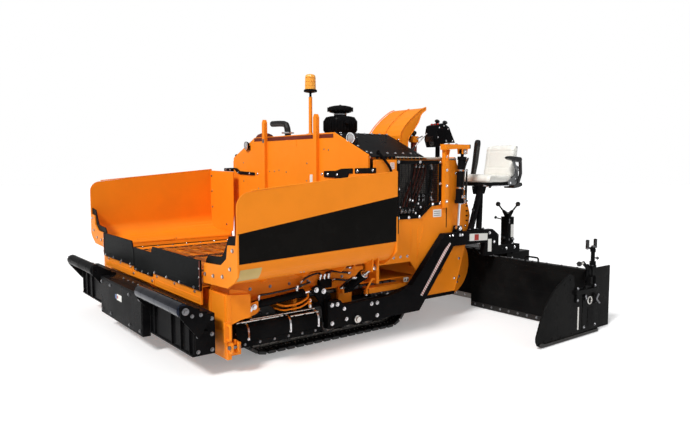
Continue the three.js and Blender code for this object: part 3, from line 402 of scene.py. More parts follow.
def bolt(work, centre, normal, radius=None, finish=0, washer=True, washer_finish=None):
    """A hexagon head on a washer, standing on a face."""
    r = sizes().bolt_radius * MM if radius is None else radius
    at, n = Vector(centre), Vector(normal).normalized()
    base = 0.0
    if washer:
        lathe(work, [(0, 0), (r * 1.42, 0), (r * 1.42, r * 0.16), (r * 1.34, r * 0.24), (0, r * 0.24)],
              at, n, 20, finish if washer_finish is None else washer_finish)
        base = r * 0.2
    lathe(work, [(0, base), (r, base), (r, base + r * 0.5), (r * 0.9, base + r * 0.64), (0, base + r * 0.66)],
          at, n, 6, finish)


def domed(work, centre, normal, radius, finish=0):
    """A round-headed rivet or button bolt."""
    r = radius
    lathe(work, [(0, 0), (r, 0), (r * 0.96, r * 0.22), (r * 0.7, r * 0.45), (r * 0.3, r * 0.55),
                 (0, r * 0.57)],
          centre, normal, 14, finish)


def bead(work, start, end, radius=3.0, finish=0):
    """A weld seam along a joint."""
    a, b = Vector(start), Vector(end)
    steps = max(2, int((b - a).length / (radius * 3.2)))
    side, up = across(b - a)
    sides = 6
    rings = []
    for i in range(steps + 1):
        wave = radius * (0.86 + 0.14 * (i % 2))
        at = a.lerp(b, i / steps)
        rings.append([
            work.verts.new(at + (side * math.cos(math.tau * k / sides) + up * math.sin(math.tau * k / sides)) * wave)
            for k in range(sides)
        ])
    for ring, after in zip(rings, rings[1:]):
        for k in range(sides):
            m = (k + 1) % sides
            work.faces.new((ring[k], ring[m], after[m], after[k])).material_index = finish
    for ring in (rings[0], rings[-1]):
        work.faces.new(ring).material_index = finish


def facing_right(work):
    """A mirrored copy for the machine's right side."""
    copy = work.copy()
    bmesh.ops.scale(copy, vec=(-1, 1, 1), verts=copy.verts)
    bmesh.ops.reverse_faces(copy, faces=copy.faces)
    return copy


def piece(name, work, body, finishes, stands_for=(), crease=40.0, weighted=True):
    """Turn the collected skins into one object that rides on a body."""
    bmesh.ops.recalc_face_normals(work, faces=work.faces)
    work.transform(Matrix.Translation((0, FRONT, 0)) @ Matrix.Diagonal((1 / MM, 1 / MM, 1 / MM, 1)))
    mesh = bpy.data.meshes.new(name)
    work.to_mesh(mesh)
    work.free()
    for finish in finishes:
        mesh.materials.append(finish)
    mesh.shade_smooth()
    mesh.set_sharp_from_angle(angle=math.radians(crease))
    made = bpy.data.objects.new(name, mesh)
    bpy.context.scene.collection.objects.link(made)
    if weighted:
        even = made.modifiers.new("even_shading", "WEIGHTED_NORMAL")
        even.keep_sharp = True
        even.weight = 50
    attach(made, body)
    if stands_for:
        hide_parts(*stands_for)
    return made


def pair(name, work, body, finishes, stands_for=(), crease=40.0):
    """The same piece on both sides. Names, bodies and nodes take left_ or right_ for *."""
    right = facing_right(work)
    made = []
    for side, half in (("left", work), ("right", right)):
        nodes = [n.replace("*", side) for n in stands_for]
        made.append(piece(name.replace("*", side), half, body.replace("*", side), finishes, nodes,
                          crease))
    return made


def carried(node, finish, round_off=0.0015):
    """Keep a frame node: round its edges and give it a finish."""
    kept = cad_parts[node]
    kept.data.materials.clear()
    kept.data.materials.append(finish)
    weld = kept.modifiers.new("join_corners", "WELD")
    weld.merge_threshold = 0.00002
    if round_off > 0:
        edge = kept.modifiers.new("round_edges", "BEVEL")
        edge.width = round_off
        edge.segments = 2
        edge.limit_method = "ANGLE"
        edge.angle_limit = math.radians(35)
        edge.use_clamp_overlap = True
        edge.harden_normals = True
    return kept




# ------------------------------------------------------------------ finishes
def new_group(name, inputs, outputs):
    """A shader group with named number, colour or vector sockets."""
    tree = bpy.data.node_groups.new(name, "ShaderNodeTree")
    kinds = {"value": "NodeSocketFloat", "colour": "NodeSocketColor", "vector": "NodeSocketVector"}
    for title, kind, default in inputs:
        socket = tree.interface.new_socket(name=title, in_out="INPUT", socket_type=kinds[kind])
        socket.default_value = default
    for title, kind in outputs:
        tree.interface.new_socket(name=title, in_out="OUTPUT", socket_type=kinds[kind])
    return tree, tree.nodes.new("NodeGroupInput"), tree.nodes.new("NodeGroupOutput")


def add(tree, kind, links=(), **values):
    """A node with its inputs linked or set. Links and values go by socket name or number."""
    node = tree.nodes.new(kind)
    for key, value in values.items():
        setattr(node, key, value)
    for key, source in dict(links).items():
        socket = node.inputs[key]
        if isinstance(source, bpy.types.NodeSocket):
            tree.links.new(source, socket)
        else:
            socket.default_value = source
    return node


def sums(tree, operation, a, b, clamp=False):
    return add(tree, "ShaderNodeMath", {0: a, 1: b}, operation=operation, use_clamp=clamp).outputs[0]


def ramp(tree, source, low, high, out_low=0.0, out_high=1.0):
    """A smooth step from one value to another."""
    node = add(
        tree, "ShaderNodeMapRange",
        {"Value": source, "From Min": low, "From Max": high, "To Min": out_low, "To Max": out_high},
        interpolation_type="SMOOTHSTEP",
    )
    return node.outputs[0]


def blend_colour(tree, mask, a, b, mode="MIX"):
    node = tree.nodes.new("ShaderNodeMix")
    node.data_type = "RGBA"
    node.blend_type = mode
    for index, source in ((0, mask), (6, a), (7, b)):
        if isinstance(source, bpy.types.NodeSocket):
            tree.links.new(source, node.inputs[index])
        else:
            value = source if index == 0 else (*source, 1.0)[:4]
            node.inputs[index].default_value = value
    return node.outputs[2]


def noise(tree, place, scale, detail=3.0, rough=0.55):
    return add(
        tree, "ShaderNodeTexNoise",
        {"Vector": place, "Scale": scale, "Detail": detail, "Roughness": rough},
    ).outputs["Fac"]


def build_mottle():
    """Slow patches and fine specks over a surface."""
    tree, given, out = new_group(
        "mottle", [("Patch Scale", "value", 3.0), ("Speck Scale", "value", 60.0)],
        [("Patches", "value"), ("Specks", "value")],
    )
    place = tree.nodes.new("ShaderNodeTexCoord").outputs["Object"]
    patches = ramp(tree, noise(tree, place, given.outputs["Patch Scale"], 4.0), 0.36, 0.66)
    specks = ramp(tree, noise(tree, place, given.outputs["Speck Scale"], 2.0), 0.5, 0.72)
    tree.links.new(patches, out.inputs["Patches"])
    tree.links.new(specks, out.inputs["Specks"])


def build_settled_dust():
    """Dust lying on upward faces, thicker low on the machine."""
    tree, given, out = new_group(
        "settled_dust", [("Amount", "value", 0.3), ("Height", "value", 1.0), ("Upward", "value", 0.6)],
        [("Mask", "value")],
    )
    coords = tree.nodes.new("ShaderNodeTexCoord")
    facing = add(tree, "ShaderNodeSeparateXYZ", {0: coords.outputs["Normal"]}).outputs["Z"]
    level = add(tree, "ShaderNodeSeparateXYZ", {0: coords.outputs["Object"]}).outputs["Z"]
    top = sums(tree, "MULTIPLY", ramp(tree, facing, 0.25, 0.95), given.outputs["Upward"])
    low = sums(tree, "MULTIPLY", ramp(tree, level, given.outputs["Height"], 0.05), 0.55)
    cloud = ramp(tree, noise(tree, coords.outputs["Object"], 7.0, 6.0, 0.62), 0.38, 0.68)
    grit = ramp(tree, noise(tree, coords.outputs["Object"], 140.0, 2.0), 0.42, 0.62, 0.55, 1.0)
    mask = sums(tree, "MULTIPLY", sums(tree, "ADD", top, low), cloud)
    mask = sums(tree, "MULTIPLY", sums(tree, "MULTIPLY", mask, grit), given.outputs["Amount"], clamp=True)
    tree.links.new(mask, out.inputs["Mask"])


def build_worn_edges():
    """Paint rubbed off along edges, broken up by noise."""
    tree, given, out = new_group(
        "worn_edges", [("Radius", "value", 0.004), ("Amount", "value", 0.6)], [("Mask", "value")],
    )
    place = tree.nodes.new("ShaderNodeTexCoord").outputs["Object"]
    soft = add(tree, "ShaderNodeBevel", {"Radius": given.outputs["Radius"]}, samples=4).outputs["Normal"]
    flat = tree.nodes.new("ShaderNodeNewGeometry").outputs["Normal"]
    along = add(tree, "ShaderNodeVectorMath", {0: soft, 1: flat}, operation="DOT_PRODUCT").outputs["Value"]
    edge = ramp(tree, sums(tree, "SUBTRACT", 1.0, along), 0.02, 0.16)
    chips = ramp(tree, noise(tree, place, 55.0, 5.0, 0.7), 0.5, 0.62)
    mask = sums(tree, "MULTIPLY", sums(tree, "MULTIPLY", edge, chips), given.outputs["Amount"], clamp=True)
    tree.links.new(mask, out.inputs["Mask"])


def build_orange_peel():
    """The faint ripple of sprayed paint."""
    tree, given, out = new_group("orange_peel", [("Scale", "value", 260.0)], [("Height", "value")])
    place = tree.nodes.new("ShaderNodeTexCoord").outputs["Object"]
    ripple = noise(tree, place, given.outputs["Scale"], 1.0, 0.4)
    wave = sums(tree, "MULTIPLY", noise(tree, place, 9.0, 1.0), 0.6)
    tree.links.new(sums(tree, "ADD", ripple, wave), out.inputs["Height"])


def build_grain():
    """Moulded grain of vinyl and rubber."""
    tree, given, out = new_group("grain", [("Scale", "value", 420.0)],
                                 [("Height", "value"), ("Creases", "value")])
    place = tree.nodes.new("ShaderNodeTexCoord").outputs["Object"]
    cells = add(
        tree, "ShaderNodeTexVoronoi", {"Vector": place, "Scale": given.outputs["Scale"]}, feature="F1",
    ).outputs["Distance"]
    fine = noise(tree, place, 900.0, 1.0)
    tree.links.new(sums(tree, "ADD", cells, sums(tree, "MULTIPLY", fine, 0.3)), out.inputs["Height"])
    tree.links.new(ramp(tree, cells, 0.45, 0.8), out.inputs["Creases"])


def build_scuffs():
    """Long rub marks along the machine."""
    tree, given, out = new_group(
        "scuffs", [("Stretch", "vector", (2.0, 40.0, 60.0)), ("Amount", "value", 0.5)], [("Mask", "value")],
    )
    place = tree.nodes.new("ShaderNodeTexCoord").outputs["Object"]
    spread = add(tree, "ShaderNodeVectorMath", {0: place, 1: given.outputs["Stretch"]}, operation="MULTIPLY")
    streaks = ramp(tree, noise(tree, spread.outputs[0], 1.0, 4.0, 0.6), 0.52, 0.75)
    tree.links.new(sums(tree, "MULTIPLY", streaks, given.outputs["Amount"]), out.inputs["Mask"])


def group_node(tree, name, **values):
    node = tree.nodes.new("ShaderNodeGroup")
    node.node_tree = bpy.data.node_groups[name]
    for title, value in values.items():
        node.inputs[title.replace("_", " ")].default_value = value
    return node


def blank_material(name):
    material = bpy.data.materials.new(name)
    material.use_nodes = True
    tree = material.node_tree
    shader = tree.nodes["Principled BSDF"]
    return tree, shader


def set_numbers(shader, **values):
    for title, value in values.items():
        shader.inputs[title.replace("_", " ")].default_value = value


def painted(
    name, base, second, roughness=(0.3, 0.42), coat=0.0, dust=0.3, dust_colour=(0.32, 0.27, 0.22),
    dust_height=0.9, upward=0.6, wear=0.5, wear_colour=(0.2, 0.19, 0.18), wear_metal=0.7,
    peel=260.0, peel_depth=0.00012, scuff=0.0, scuff_colour=(0.2, 0.2, 0.2), patch=2.5, specular=0.5,
):
    """Sprayed paint with patches, dust, rub marks and worn edges."""
    tree, shader = blank_material(name)
    mottle = group_node(tree, "mottle", Patch_Scale=patch, Speck_Scale=90.0)
    colour = blend_colour(tree, mottle.outputs["Patches"], base, second)
    if scuff:
        marks = group_node(tree, "scuffs", Amount=scuff).outputs["Mask"]
        colour = blend_colour(tree, marks, colour, scuff_colour)
    lying = group_node(tree, "settled_dust", Amount=dust, Height=dust_height, Upward=upward).outputs["Mask"]
    colour = blend_colour(tree, lying, colour, dust_colour)
    worn = group_node(tree, "worn_edges", Radius=0.0035, Amount=wear).outputs["Mask"]
    colour = blend_colour(tree, worn, colour, wear_colour)
    tree.links.new(colour, shader.inputs["Base Color"])
    rough = ramp(tree, mottle.outputs["Patches"], 0.0, 1.0, roughness[0], roughness[1])
    rough = sums(tree, "ADD", rough, sums(tree, "MULTIPLY", lying, 0.4), clamp=True)
    tree.links.new(rough, shader.inputs["Roughness"])
    if wear_metal:
        tree.links.new(sums(tree, "MULTIPLY", worn, wear_metal), shader.inputs["Metallic"])
    if coat:
        tree.links.new(sums(tree, "MULTIPLY", sums(tree, "SUBTRACT", 1.0, lying), coat),
                       shader.inputs["Coat Weight"])
        set_numbers(shader, Coat_Roughness=0.07)
    height = group_node(tree, "orange_peel", Scale=peel).outputs["Height"]
    bump = add(tree, "ShaderNodeBump", {"Height": height, "Strength": 0.6, "Distance": peel_depth})
    tree.links.new(bump.outputs["Normal"], shader.inputs["Normal"])
    set_numbers(shader, Specular_IOR_Level=specular)


def moulded(name, base, second, roughness=(0.55, 0.75), grain=420.0, depth=0.0002, dust=0.4, height=0.8,
            sheen=0.0,
            dust_colour=(0.3, 0.27, 0.24), upward=0.6, specular=0.5):
    """Rubber, vinyl and moulded plastic with a pressed grain."""
    tree, shader = blank_material(name)
    mottle = group_node(tree, "mottle", Patch_Scale=4.0, Speck_Scale=120.0)
    press = group_node(tree, "grain", Scale=grain)
    colour = blend_colour(tree, mottle.outputs["Patches"], base, second)
    colour = blend_colour(tree, sums(tree, "MULTIPLY", press.outputs["Creases"], 0.25), colour,
                          [c * 0.6 for c in base])
    lying = group_node(tree, "settled_dust", Amount=dust, Height=height, Upward=upward).outputs["Mask"]
    colour = blend_colour(tree, lying, colour, dust_colour)
    tree.links.new(colour, shader.inputs["Base Color"])
    rough = ramp(tree, mottle.outputs["Specks"], 0.0, 1.0, roughness[0], roughness[1])
    tree.links.new(rough, shader.inputs["Roughness"])
    bump = add(tree, "ShaderNodeBump", {"Height": press.outputs["Height"], "Strength": 0.5,
                                        "Distance": depth})
    tree.links.new(bump.outputs["Normal"], shader.inputs["Normal"])
    set_numbers(shader, Specular_IOR_Level=specular)
    if sheen:
        set_numbers(shader, Sheen_Weight=sheen, Sheen_Roughness=0.4)


def metal(name, base, second, roughness=(0.2, 0.4), grain=(1.0, 30.0, 30.0), stain=0.3,
          stain_colour=(0.12, 0.08, 0.05)):
    """Bare or plated metal with turning marks and stains."""
    tree, shader = blank_material(name)
    mottle = group_node(tree, "mottle", Patch_Scale=14.0, Speck_Scale=200.0)
    streaks = group_node(tree, "scuffs", Stretch=grain, Amount=1.0).outputs["Mask"]
    colour = blend_colour(tree, streaks, base, second)
    spots = sums(tree, "MULTIPLY", sums(tree, "MULTIPLY", mottle.outputs["Patches"],
                                        mottle.outputs["Specks"]), stain)
    colour = blend_colour(tree, spots, colour, stain_colour)
    tree.links.new(colour, shader.inputs["Base Color"])
    tree.links.new(ramp(tree, streaks, 0.0, 1.0, roughness[0], roughness[1]), shader.inputs["Roughness"])
    tree.links.new(sums(tree, "SUBTRACT", 1.0, spots), shader.inputs["Metallic"])
    bump = add(tree, "ShaderNodeBump", {"Height": streaks, "Strength": 0.3, "Distance": 0.0001})
    tree.links.new(bump.outputs["Normal"], shader.inputs["Normal"])


def lens(name, base, deep, rib, transmission, roughness=0.12, glow=0.0):
    """A moulded lens: coloured plastic with fine ribs."""
    tree, shader = blank_material(name)
    place = tree.nodes.new("ShaderNodeTexCoord").outputs["Object"]
    mottle = group_node(tree, "mottle", Patch_Scale=20.0, Speck_Scale=300.0)
    colour = blend_colour(tree, mottle.outputs["Patches"], base, deep)
    tree.links.new(colour, shader.inputs["Base Color"])
    wave = add(tree, "ShaderNodeTexWave", {"Vector": place, "Scale": rib}, bands_direction="Z").outputs["Fac"]
    bump = add(tree, "ShaderNodeBump", {"Height": wave, "Strength": 0.5, "Distance": 0.0008})
    tree.links.new(bump.outputs["Normal"], shader.inputs["Normal"])
    set_numbers(shader, Roughness=roughness, Transmission_Weight=transmission, IOR=1.49)
    if glow:
        tree.links.new(colour, shader.inputs["Emission Color"])
        set_numbers(shader, Emission_Strength=glow)


def banded(name, first, second, pitch):
    """Reflecting tape in two colours, in slanted bands."""
    tree, shader = blank_material(name)
    place = add(tree, "ShaderNodeSeparateXYZ", {0: tree.nodes.new("ShaderNodeTexCoord").outputs["Object"]})
    along = sums(tree, "ADD", place.outputs["Y"], place.outputs["Z"])
    part = sums(tree, "FRACT", sums(tree, "DIVIDE", along, pitch), 0.0)
    band = ramp(tree, part, 0.34, 0.38)
    colour = blend_colour(tree, band, first, second)
    lying = group_node(tree, "settled_dust", Amount=0.5, Height=1.2).outputs["Mask"]
    colour = blend_colour(tree, lying, colour, (0.35, 0.3, 0.26))
    tree.links.new(colour, shader.inputs["Base Color"])
    cells = group_node(tree, "grain", Scale=700.0).outputs["Height"]
    bump = add(tree, "ShaderNodeBump", {"Height": cells, "Strength": 0.4, "Distance": 0.0001})
    tree.links.new(bump.outputs["Normal"], shader.inputs["Normal"])
    set_numbers(shader, Roughness=0.35)


def finish(*names):
    return [bpy.data.materials[n] for n in names]


class PAVER_OT_finishes(bpy.types.Operator):
    """Build the effect groups and every paint, rubber, metal and lens"""

    bl_idname = "paver.finishes"
    bl_label = "Finishes"

    def execute(self, context):
        for build in (
            build_mottle, build_settled_dust, build_worn_edges, build_orange_peel, build_grain, build_scuffs,
        ):
            build()
        c = colours()
        orange = tuple(c.orange)
        black = tuple(c.black)
        rubber = tuple(c.rubber)
        vinyl = tuple(c.vinyl)
        painted(
            "orange_gloss", orange, [v * 0.94 for v in orange], roughness=(0.42, 0.52), coat=0.02, dust=0.12,
            dust_colour=(0.45, 0.22, 0.08), wear=0.5, wear_colour=(0.17, 0.07, 0.03), wear_metal=0.2,
            specular=0.14,
        )
        painted(
            "orange_worn", [v * 0.93 for v in orange], (0.62, 0.19, 0.02), roughness=(0.34, 0.5), dust=0.3,
            dust_colour=(0.30, 0.14, 0.05), wear=0.7, wear_colour=(0.2, 0.1, 0.05), wear_metal=0.3, scuff=0.5,
            scuff_colour=(0.42, 0.13, 0.03), specular=0.2,
        )
        painted(
            "orange_slat", (0.46, 0.13, 0.015), (0.26, 0.07, 0.012), roughness=(0.4, 0.6), dust=0.3,
            dust_colour=(0.16, 0.07, 0.03), wear=0.7, wear_colour=(0.3, 0.24, 0.2), scuff=0.4,
            scuff_colour=(0.16, 0.06, 0.02), specular=0.2,
        )
        painted(
            "black_satin", black, [v * 1.5 + 0.001 for v in black], roughness=(0.24, 0.36), dust=0.1,
            dust_colour=(0.07, 0.06, 0.05), wear=0.4, wear_colour=(0.09, 0.085, 0.08), scuff=0.15,
            scuff_colour=(0.018, 0.017, 0.016), upward=0.35, specular=0.012,
        )
        painted(
            "screed_black", (0.004, 0.004, 0.0042), (0.008, 0.0078, 0.0075), roughness=(0.16, 0.3), dust=0.1,
            dust_colour=(0.06, 0.055, 0.05), wear=0.5, wear_colour=(0.13, 0.125, 0.12), scuff=0.3,
            scuff_colour=(0.014, 0.0135, 0.013), upward=0.4, peel_depth=0.0002, specular=0.02,
        )
        painted(
            "stripe_black", (0.005, 0.0046, 0.0042), (0.008, 0.0072, 0.0065), roughness=(0.2, 0.3), dust=0.05,
            dust_colour=(0.1, 0.06, 0.03), wear=0.15, wear_colour=(0.06, 0.03, 0.015), wear_metal=0.0,
            specular=0.02,
        )
        # red_brown: orange paint darkened as if in shadow, painted shade on the strips, brackets, pedestal and dome
        # that use it
        painted(
            "red_brown", (0.16, 0.022, 0.008), (0.09, 0.014, 0.007), roughness=(0.4, 0.55), dust=0.2,
            dust_colour=(0.2, 0.1, 0.05), wear=0.5, wear_colour=(0.1, 0.05, 0.04), specular=0.2,
        )
        # deck_plate: pale cream that stands in for the light on the operator deck, a painted highlight
        painted(
            "deck_plate", (0.74, 0.70, 0.62), (0.60, 0.55, 0.46), roughness=(0.26, 0.42), dust=0.25,
            dust_colour=(0.5, 0.4, 0.28), wear=0.3, wear_colour=(0.5, 0.5, 0.5), scuff=0.4,
            scuff_colour=(0.5, 0.46, 0.4),
        )
        painted(
            "grey_bracket", (0.16, 0.165, 0.17), (0.10, 0.103, 0.106), roughness=(0.36, 0.5), dust=0.15,
            wear=0.5, wear_colour=(0.25, 0.24, 0.23), specular=0.3,
        )
        painted(
            "plate_white", (0.84, 0.83, 0.80), (0.76, 0.75, 0.71), roughness=(0.28, 0.4), dust=0.15, wear=0.3,
            wear_colour=(0.35, 0.33, 0.3), wear_metal=0.0, peel_depth=0.00005, specular=0.3,
        )
        painted(
            "plate_cream", (0.60, 0.44, 0.16), (0.50, 0.36, 0.12), roughness=(0.28, 0.4), dust=0.15, wear=0.3,
            wear_colour=(0.3, 0.16, 0.06), wear_metal=0.0, peel_depth=0.00005, specular=0.3,
        )
        painted(
            "plate_blue", (0.07, 0.14, 0.34), (0.05, 0.1, 0.26), roughness=(0.28, 0.4), dust=0.1, wear=0.2,
            wear_colour=(0.3, 0.3, 0.3), wear_metal=0.0, peel_depth=0.00005, specular=0.3,
        )
        painted(
            "plate_red", (0.45, 0.02, 0.012), (0.36, 0.018, 0.012), roughness=(0.28, 0.4), dust=0.1, wear=0.2,
            wear_colour=(0.4, 0.3, 0.3), wear_metal=0.0, peel_depth=0.00005, specular=0.3,
        )
        painted(
            "engine_iron", (0.022, 0.022, 0.023), (0.045, 0.035, 0.028), roughness=(0.5, 0.7), dust=0.2,
            dust_colour=(0.09, 0.06, 0.04), wear=0.4, wear_colour=(0.2, 0.18, 0.17), peel=120.0,
            peel_depth=0.0006,
            specular=0.25,
        )
        painted(
            "heat_black", (0.006, 0.0058, 0.0055), (0.012, 0.0105, 0.009), roughness=(0.36, 0.5), dust=0.12,
            dust_colour=(0.07, 0.05, 0.035), wear=0.4, wear_colour=(0.09, 0.05, 0.03), peel_depth=0.0002,
            specular=0.25,
        )
        moulded("rubber", rubber, [v * 1.4 for v in rubber], roughness=(0.36, 0.5), grain=300.0, dust=0.12,
                dust_colour=(0.06, 0.05, 0.04), specular=0.015)
        moulded(
            "track_rubber", (0.006, 0.0058, 0.0056), (0.011, 0.0105, 0.0098), roughness=(0.5, 0.7),
            grain=160.0,
            depth=0.0005, dust=0.2, height=0.6, dust_colour=(0.06, 0.05, 0.04), specular=0.2,
        )
        moulded("hose_black", (0.006, 0.006, 0.0063), (0.01, 0.0098, 0.0095), roughness=(0.24, 0.36),
                grain=800.0,
                depth=0.0001, dust=0.1, dust_colour=(0.07, 0.06, 0.05), specular=0.35)
        moulded("hose_red", (0.16, 0.03, 0.014), (0.10, 0.02, 0.01), roughness=(0.4, 0.55), grain=800.0,
                depth=0.0001, dust=0.15, dust_colour=(0.1, 0.06, 0.04), specular=0.25)
        moulded("vinyl", vinyl, [v * 0.95 for v in vinyl], roughness=(0.36, 0.48), grain=520.0, depth=0.00016,
                dust=0.06, sheen=0.1, upward=0.2, dust_colour=(0.6, 0.55, 0.45))
        moulded("knob_black", (0.007, 0.007, 0.0075), (0.01, 0.01, 0.01), roughness=(0.16, 0.24), grain=900.0,
                depth=0.00004, dust=0.05, dust_colour=(0.08, 0.07, 0.06), specular=0.4)
        metal("bright_steel", (0.62, 0.6, 0.57), (0.42, 0.4, 0.37), roughness=(0.24, 0.42))
        metal("worn_steel", (0.30, 0.28, 0.26), (0.14, 0.125, 0.11), roughness=(0.32, 0.55), stain=0.7,
              stain_colour=(0.09, 0.045, 0.022))
        metal("zinc", (0.68, 0.68, 0.70), (0.48, 0.48, 0.5), roughness=(0.22, 0.38),
              grain=(60.0, 60.0, 60.0), stain=0.2)
        metal("dark_zinc", (0.2, 0.2, 0.21), (0.12, 0.12, 0.125), roughness=(0.3, 0.45),
              grain=(60.0, 60.0, 60.0))
        metal("chrome", (0.82, 0.82, 0.84), (0.74, 0.74, 0.76), roughness=(0.05, 0.12),
              grain=(2.0, 90.0, 2.0), stain=0.03)
        metal("blued_steel", (0.018, 0.022, 0.036), (0.010, 0.012, 0.02), roughness=(0.16, 0.3),
              grain=(60.0, 2.0, 60.0),
              stain=0.2)
        metal("reflector", (0.85, 0.85, 0.86), (0.7, 0.7, 0.72), roughness=(0.1, 0.2), stain=0.0)
        lens("amber_lens", [v * 0.6 for v in c.amber], (0.20, 0.02, 0.002), 26.0, 0.2, glow=0.02)
        lens("clear_lens", (0.86, 0.88, 0.9), (0.75, 0.78, 0.8), 60.0, 0.55, roughness=0.08)
        lens("red_lens", (0.4, 0.01, 0.008), (0.25, 0.008, 0.006), 60.0, 0.1, roughness=0.2)
        banded("red_white_tape", (0.55, 0.06, 0.05), (0.80, 0.78, 0.75), 0.03)
        return {"FINISHED"}


# ------------------------------------------------------------------ hopper
WING_SIDE = 1600.0          # outer face of a wing
WING_END = 1370.0
BEND = 150.0                # radius between wing floor and side


def wing_bend_height(y):
    """Height of the bend's centre line, which rises towards the rear."""
    return 800.0 + 45.0 * y / WING_END


def bend_skin(work, y0, y1, start, end, off, thick, finish, steps=8):
    """A thin sheet following the wing's outer bend. Angles in degrees from straight down."""
    points, faces = [], []
    for reach in (BEND + off, BEND + off + thick):
        for y in (y0, y1):
            for i in range(steps + 1):
                a = math.radians(start + (end - start) * i / steps)
                points.append((
                    WING_SIDE - BEND + reach * math.sin(a), y, wing_bend_height(y) - reach * math.cos(a),
                ))
    n = steps + 1
    for i in range(steps):
        faces.append((i, i + 1, n + i + 1, n + i))
        faces.append((2 * n + i, 3 * n + i, 3 * n + i + 1, 2 * n + i + 1))
        faces.append((i, 2 * n + i, 2 * n + i + 1, i + 1))
        faces.append((n + i, n + i + 1, 3 * n + i + 1, 3 * n + i))
    faces.append((0, n, 3 * n, 2 * n))
    faces.append((n - 1, 3 * n - 1, 4 * n - 1, 2 * n - 1))
    shell(work, points, faces, finish)


class PAVER_OT_wings(bpy.types.Operator):
    """Stripe, rubber lips, end plates' bolts, ribs and hinge pins of the folding wings"""

    bl_idname = "paver.wings"
    bl_label = "Hopper wings"

    def execute(self, context):
        work = bmesh.new()
        # the black wedge along the outer face
        stripe = [(3, 797), (WING_END - 2, 843), (WING_END - 2, 1187), (3, 990)]
        slab(work, "x", stripe, WING_SIDE - 0.3, WING_SIDE + 0.9, 0, 0)
        # the blank plate on the bend
        bend_skin(work, 22, 182, 36, 74, 0.2, 0.9, 1)
        for y in (520, 545):
            bolt(work, (1540, y, 690), (0.6, 0, -0.8), 6, 2, washer=False)
        # rubber lip along the end plate's upper edge
        lip = [
            (1588, 982), (1462, 966), (1428, 905), (1368, 824), (1300, 815), (1159, 809), (1118, 772),
            (1120, 724),
            (1366, 738), (1424, 770), (1462, 815), (1492, 884), (1588, 892),
        ]
        slab(work, "y", lip, 12.5, 21, 3, 1.2)
        # bolts of the end plate, and their nuts inside
        for x, z in ((1540, 881), (1503, 758), (1395, 694), (1259, 680), (1130, 676)):
            bolt(work, (x, 0, z), (0, -1, 0), 10.5, 2, washer_finish=4)
            bolt(work, (x, 21, z), (0, 1, 0), 9, 4)
        # stiffening ribs under the floor and up the rear of the side
        for y in (300, 640, 980):
            floor = 650 + 22 + 45 * y / WING_END - 24
            slab(work, "y", [(1150, 640), (1460, floor), (1470, floor - 4), (1400, 622), (1170, 618)],
                 y - 4, y + 4, 5)
            bead(work, (1160, y - 6, 636), (1440, y - 6, floor - 4), 2.5, 5)
        # hinge pins with their keepers
        for y in (60, 690, 1330):
            bar(work, (1100, y - 34, 645), (1100, y + 34, 645), 12, 16, 2)
            bolt(work, (1100, y - 34, 645), (0, -1, 0), 9, 4, washer=False)
            slab(work, "x", [(y + 22, 652), (y + 30, 652), (y + 30, 668), (y + 22, 668)], 1090, 1110, 4)
        # rolled lip along the top edge
        lip_line = [(WING_SIDE - 4, 108, 1264), (WING_SIDE - 4, WING_END - 3, 1375.5)]
        pipe(work, lip_line, 5.2, 10, 5)
        # closing plate at the rear end, turned in towards the bulkhead
        closing = [(1592, 1362), (1592, 905), (1560, 812), (1500, 742), (1420, 706), (1060, 694), (1036, 880),
                   (1036, 1352)]
        slab(work, "y", rounded(closing, 12, 3), WING_END - 16, WING_END - 6, 5, 1.5)
        for x, z in ((1560, 1300), (1560, 1120), (1550, 940), (1200, 760)):
            bolt(work, (x, WING_END - 16, z), (0, -1, 0), 9, 4)
        # rear edge seal
        slab(work, "y", [(1592, 900), (1604, 900), (1604, 1340), (1592, 1340)], WING_END - 1, WING_END + 9,
             3, 1.0)
        pair("*_wing_trim", work, "*_wing",
             finish("stripe_black", "plate_cream", "zinc", "rubber", "dark_zinc", "orange_gloss"))
        for side in ("left", "right"):
            carried(f"{side}_wing", bpy.data.materials["orange_gloss"], 0.0025)
        return {"FINISHED"}


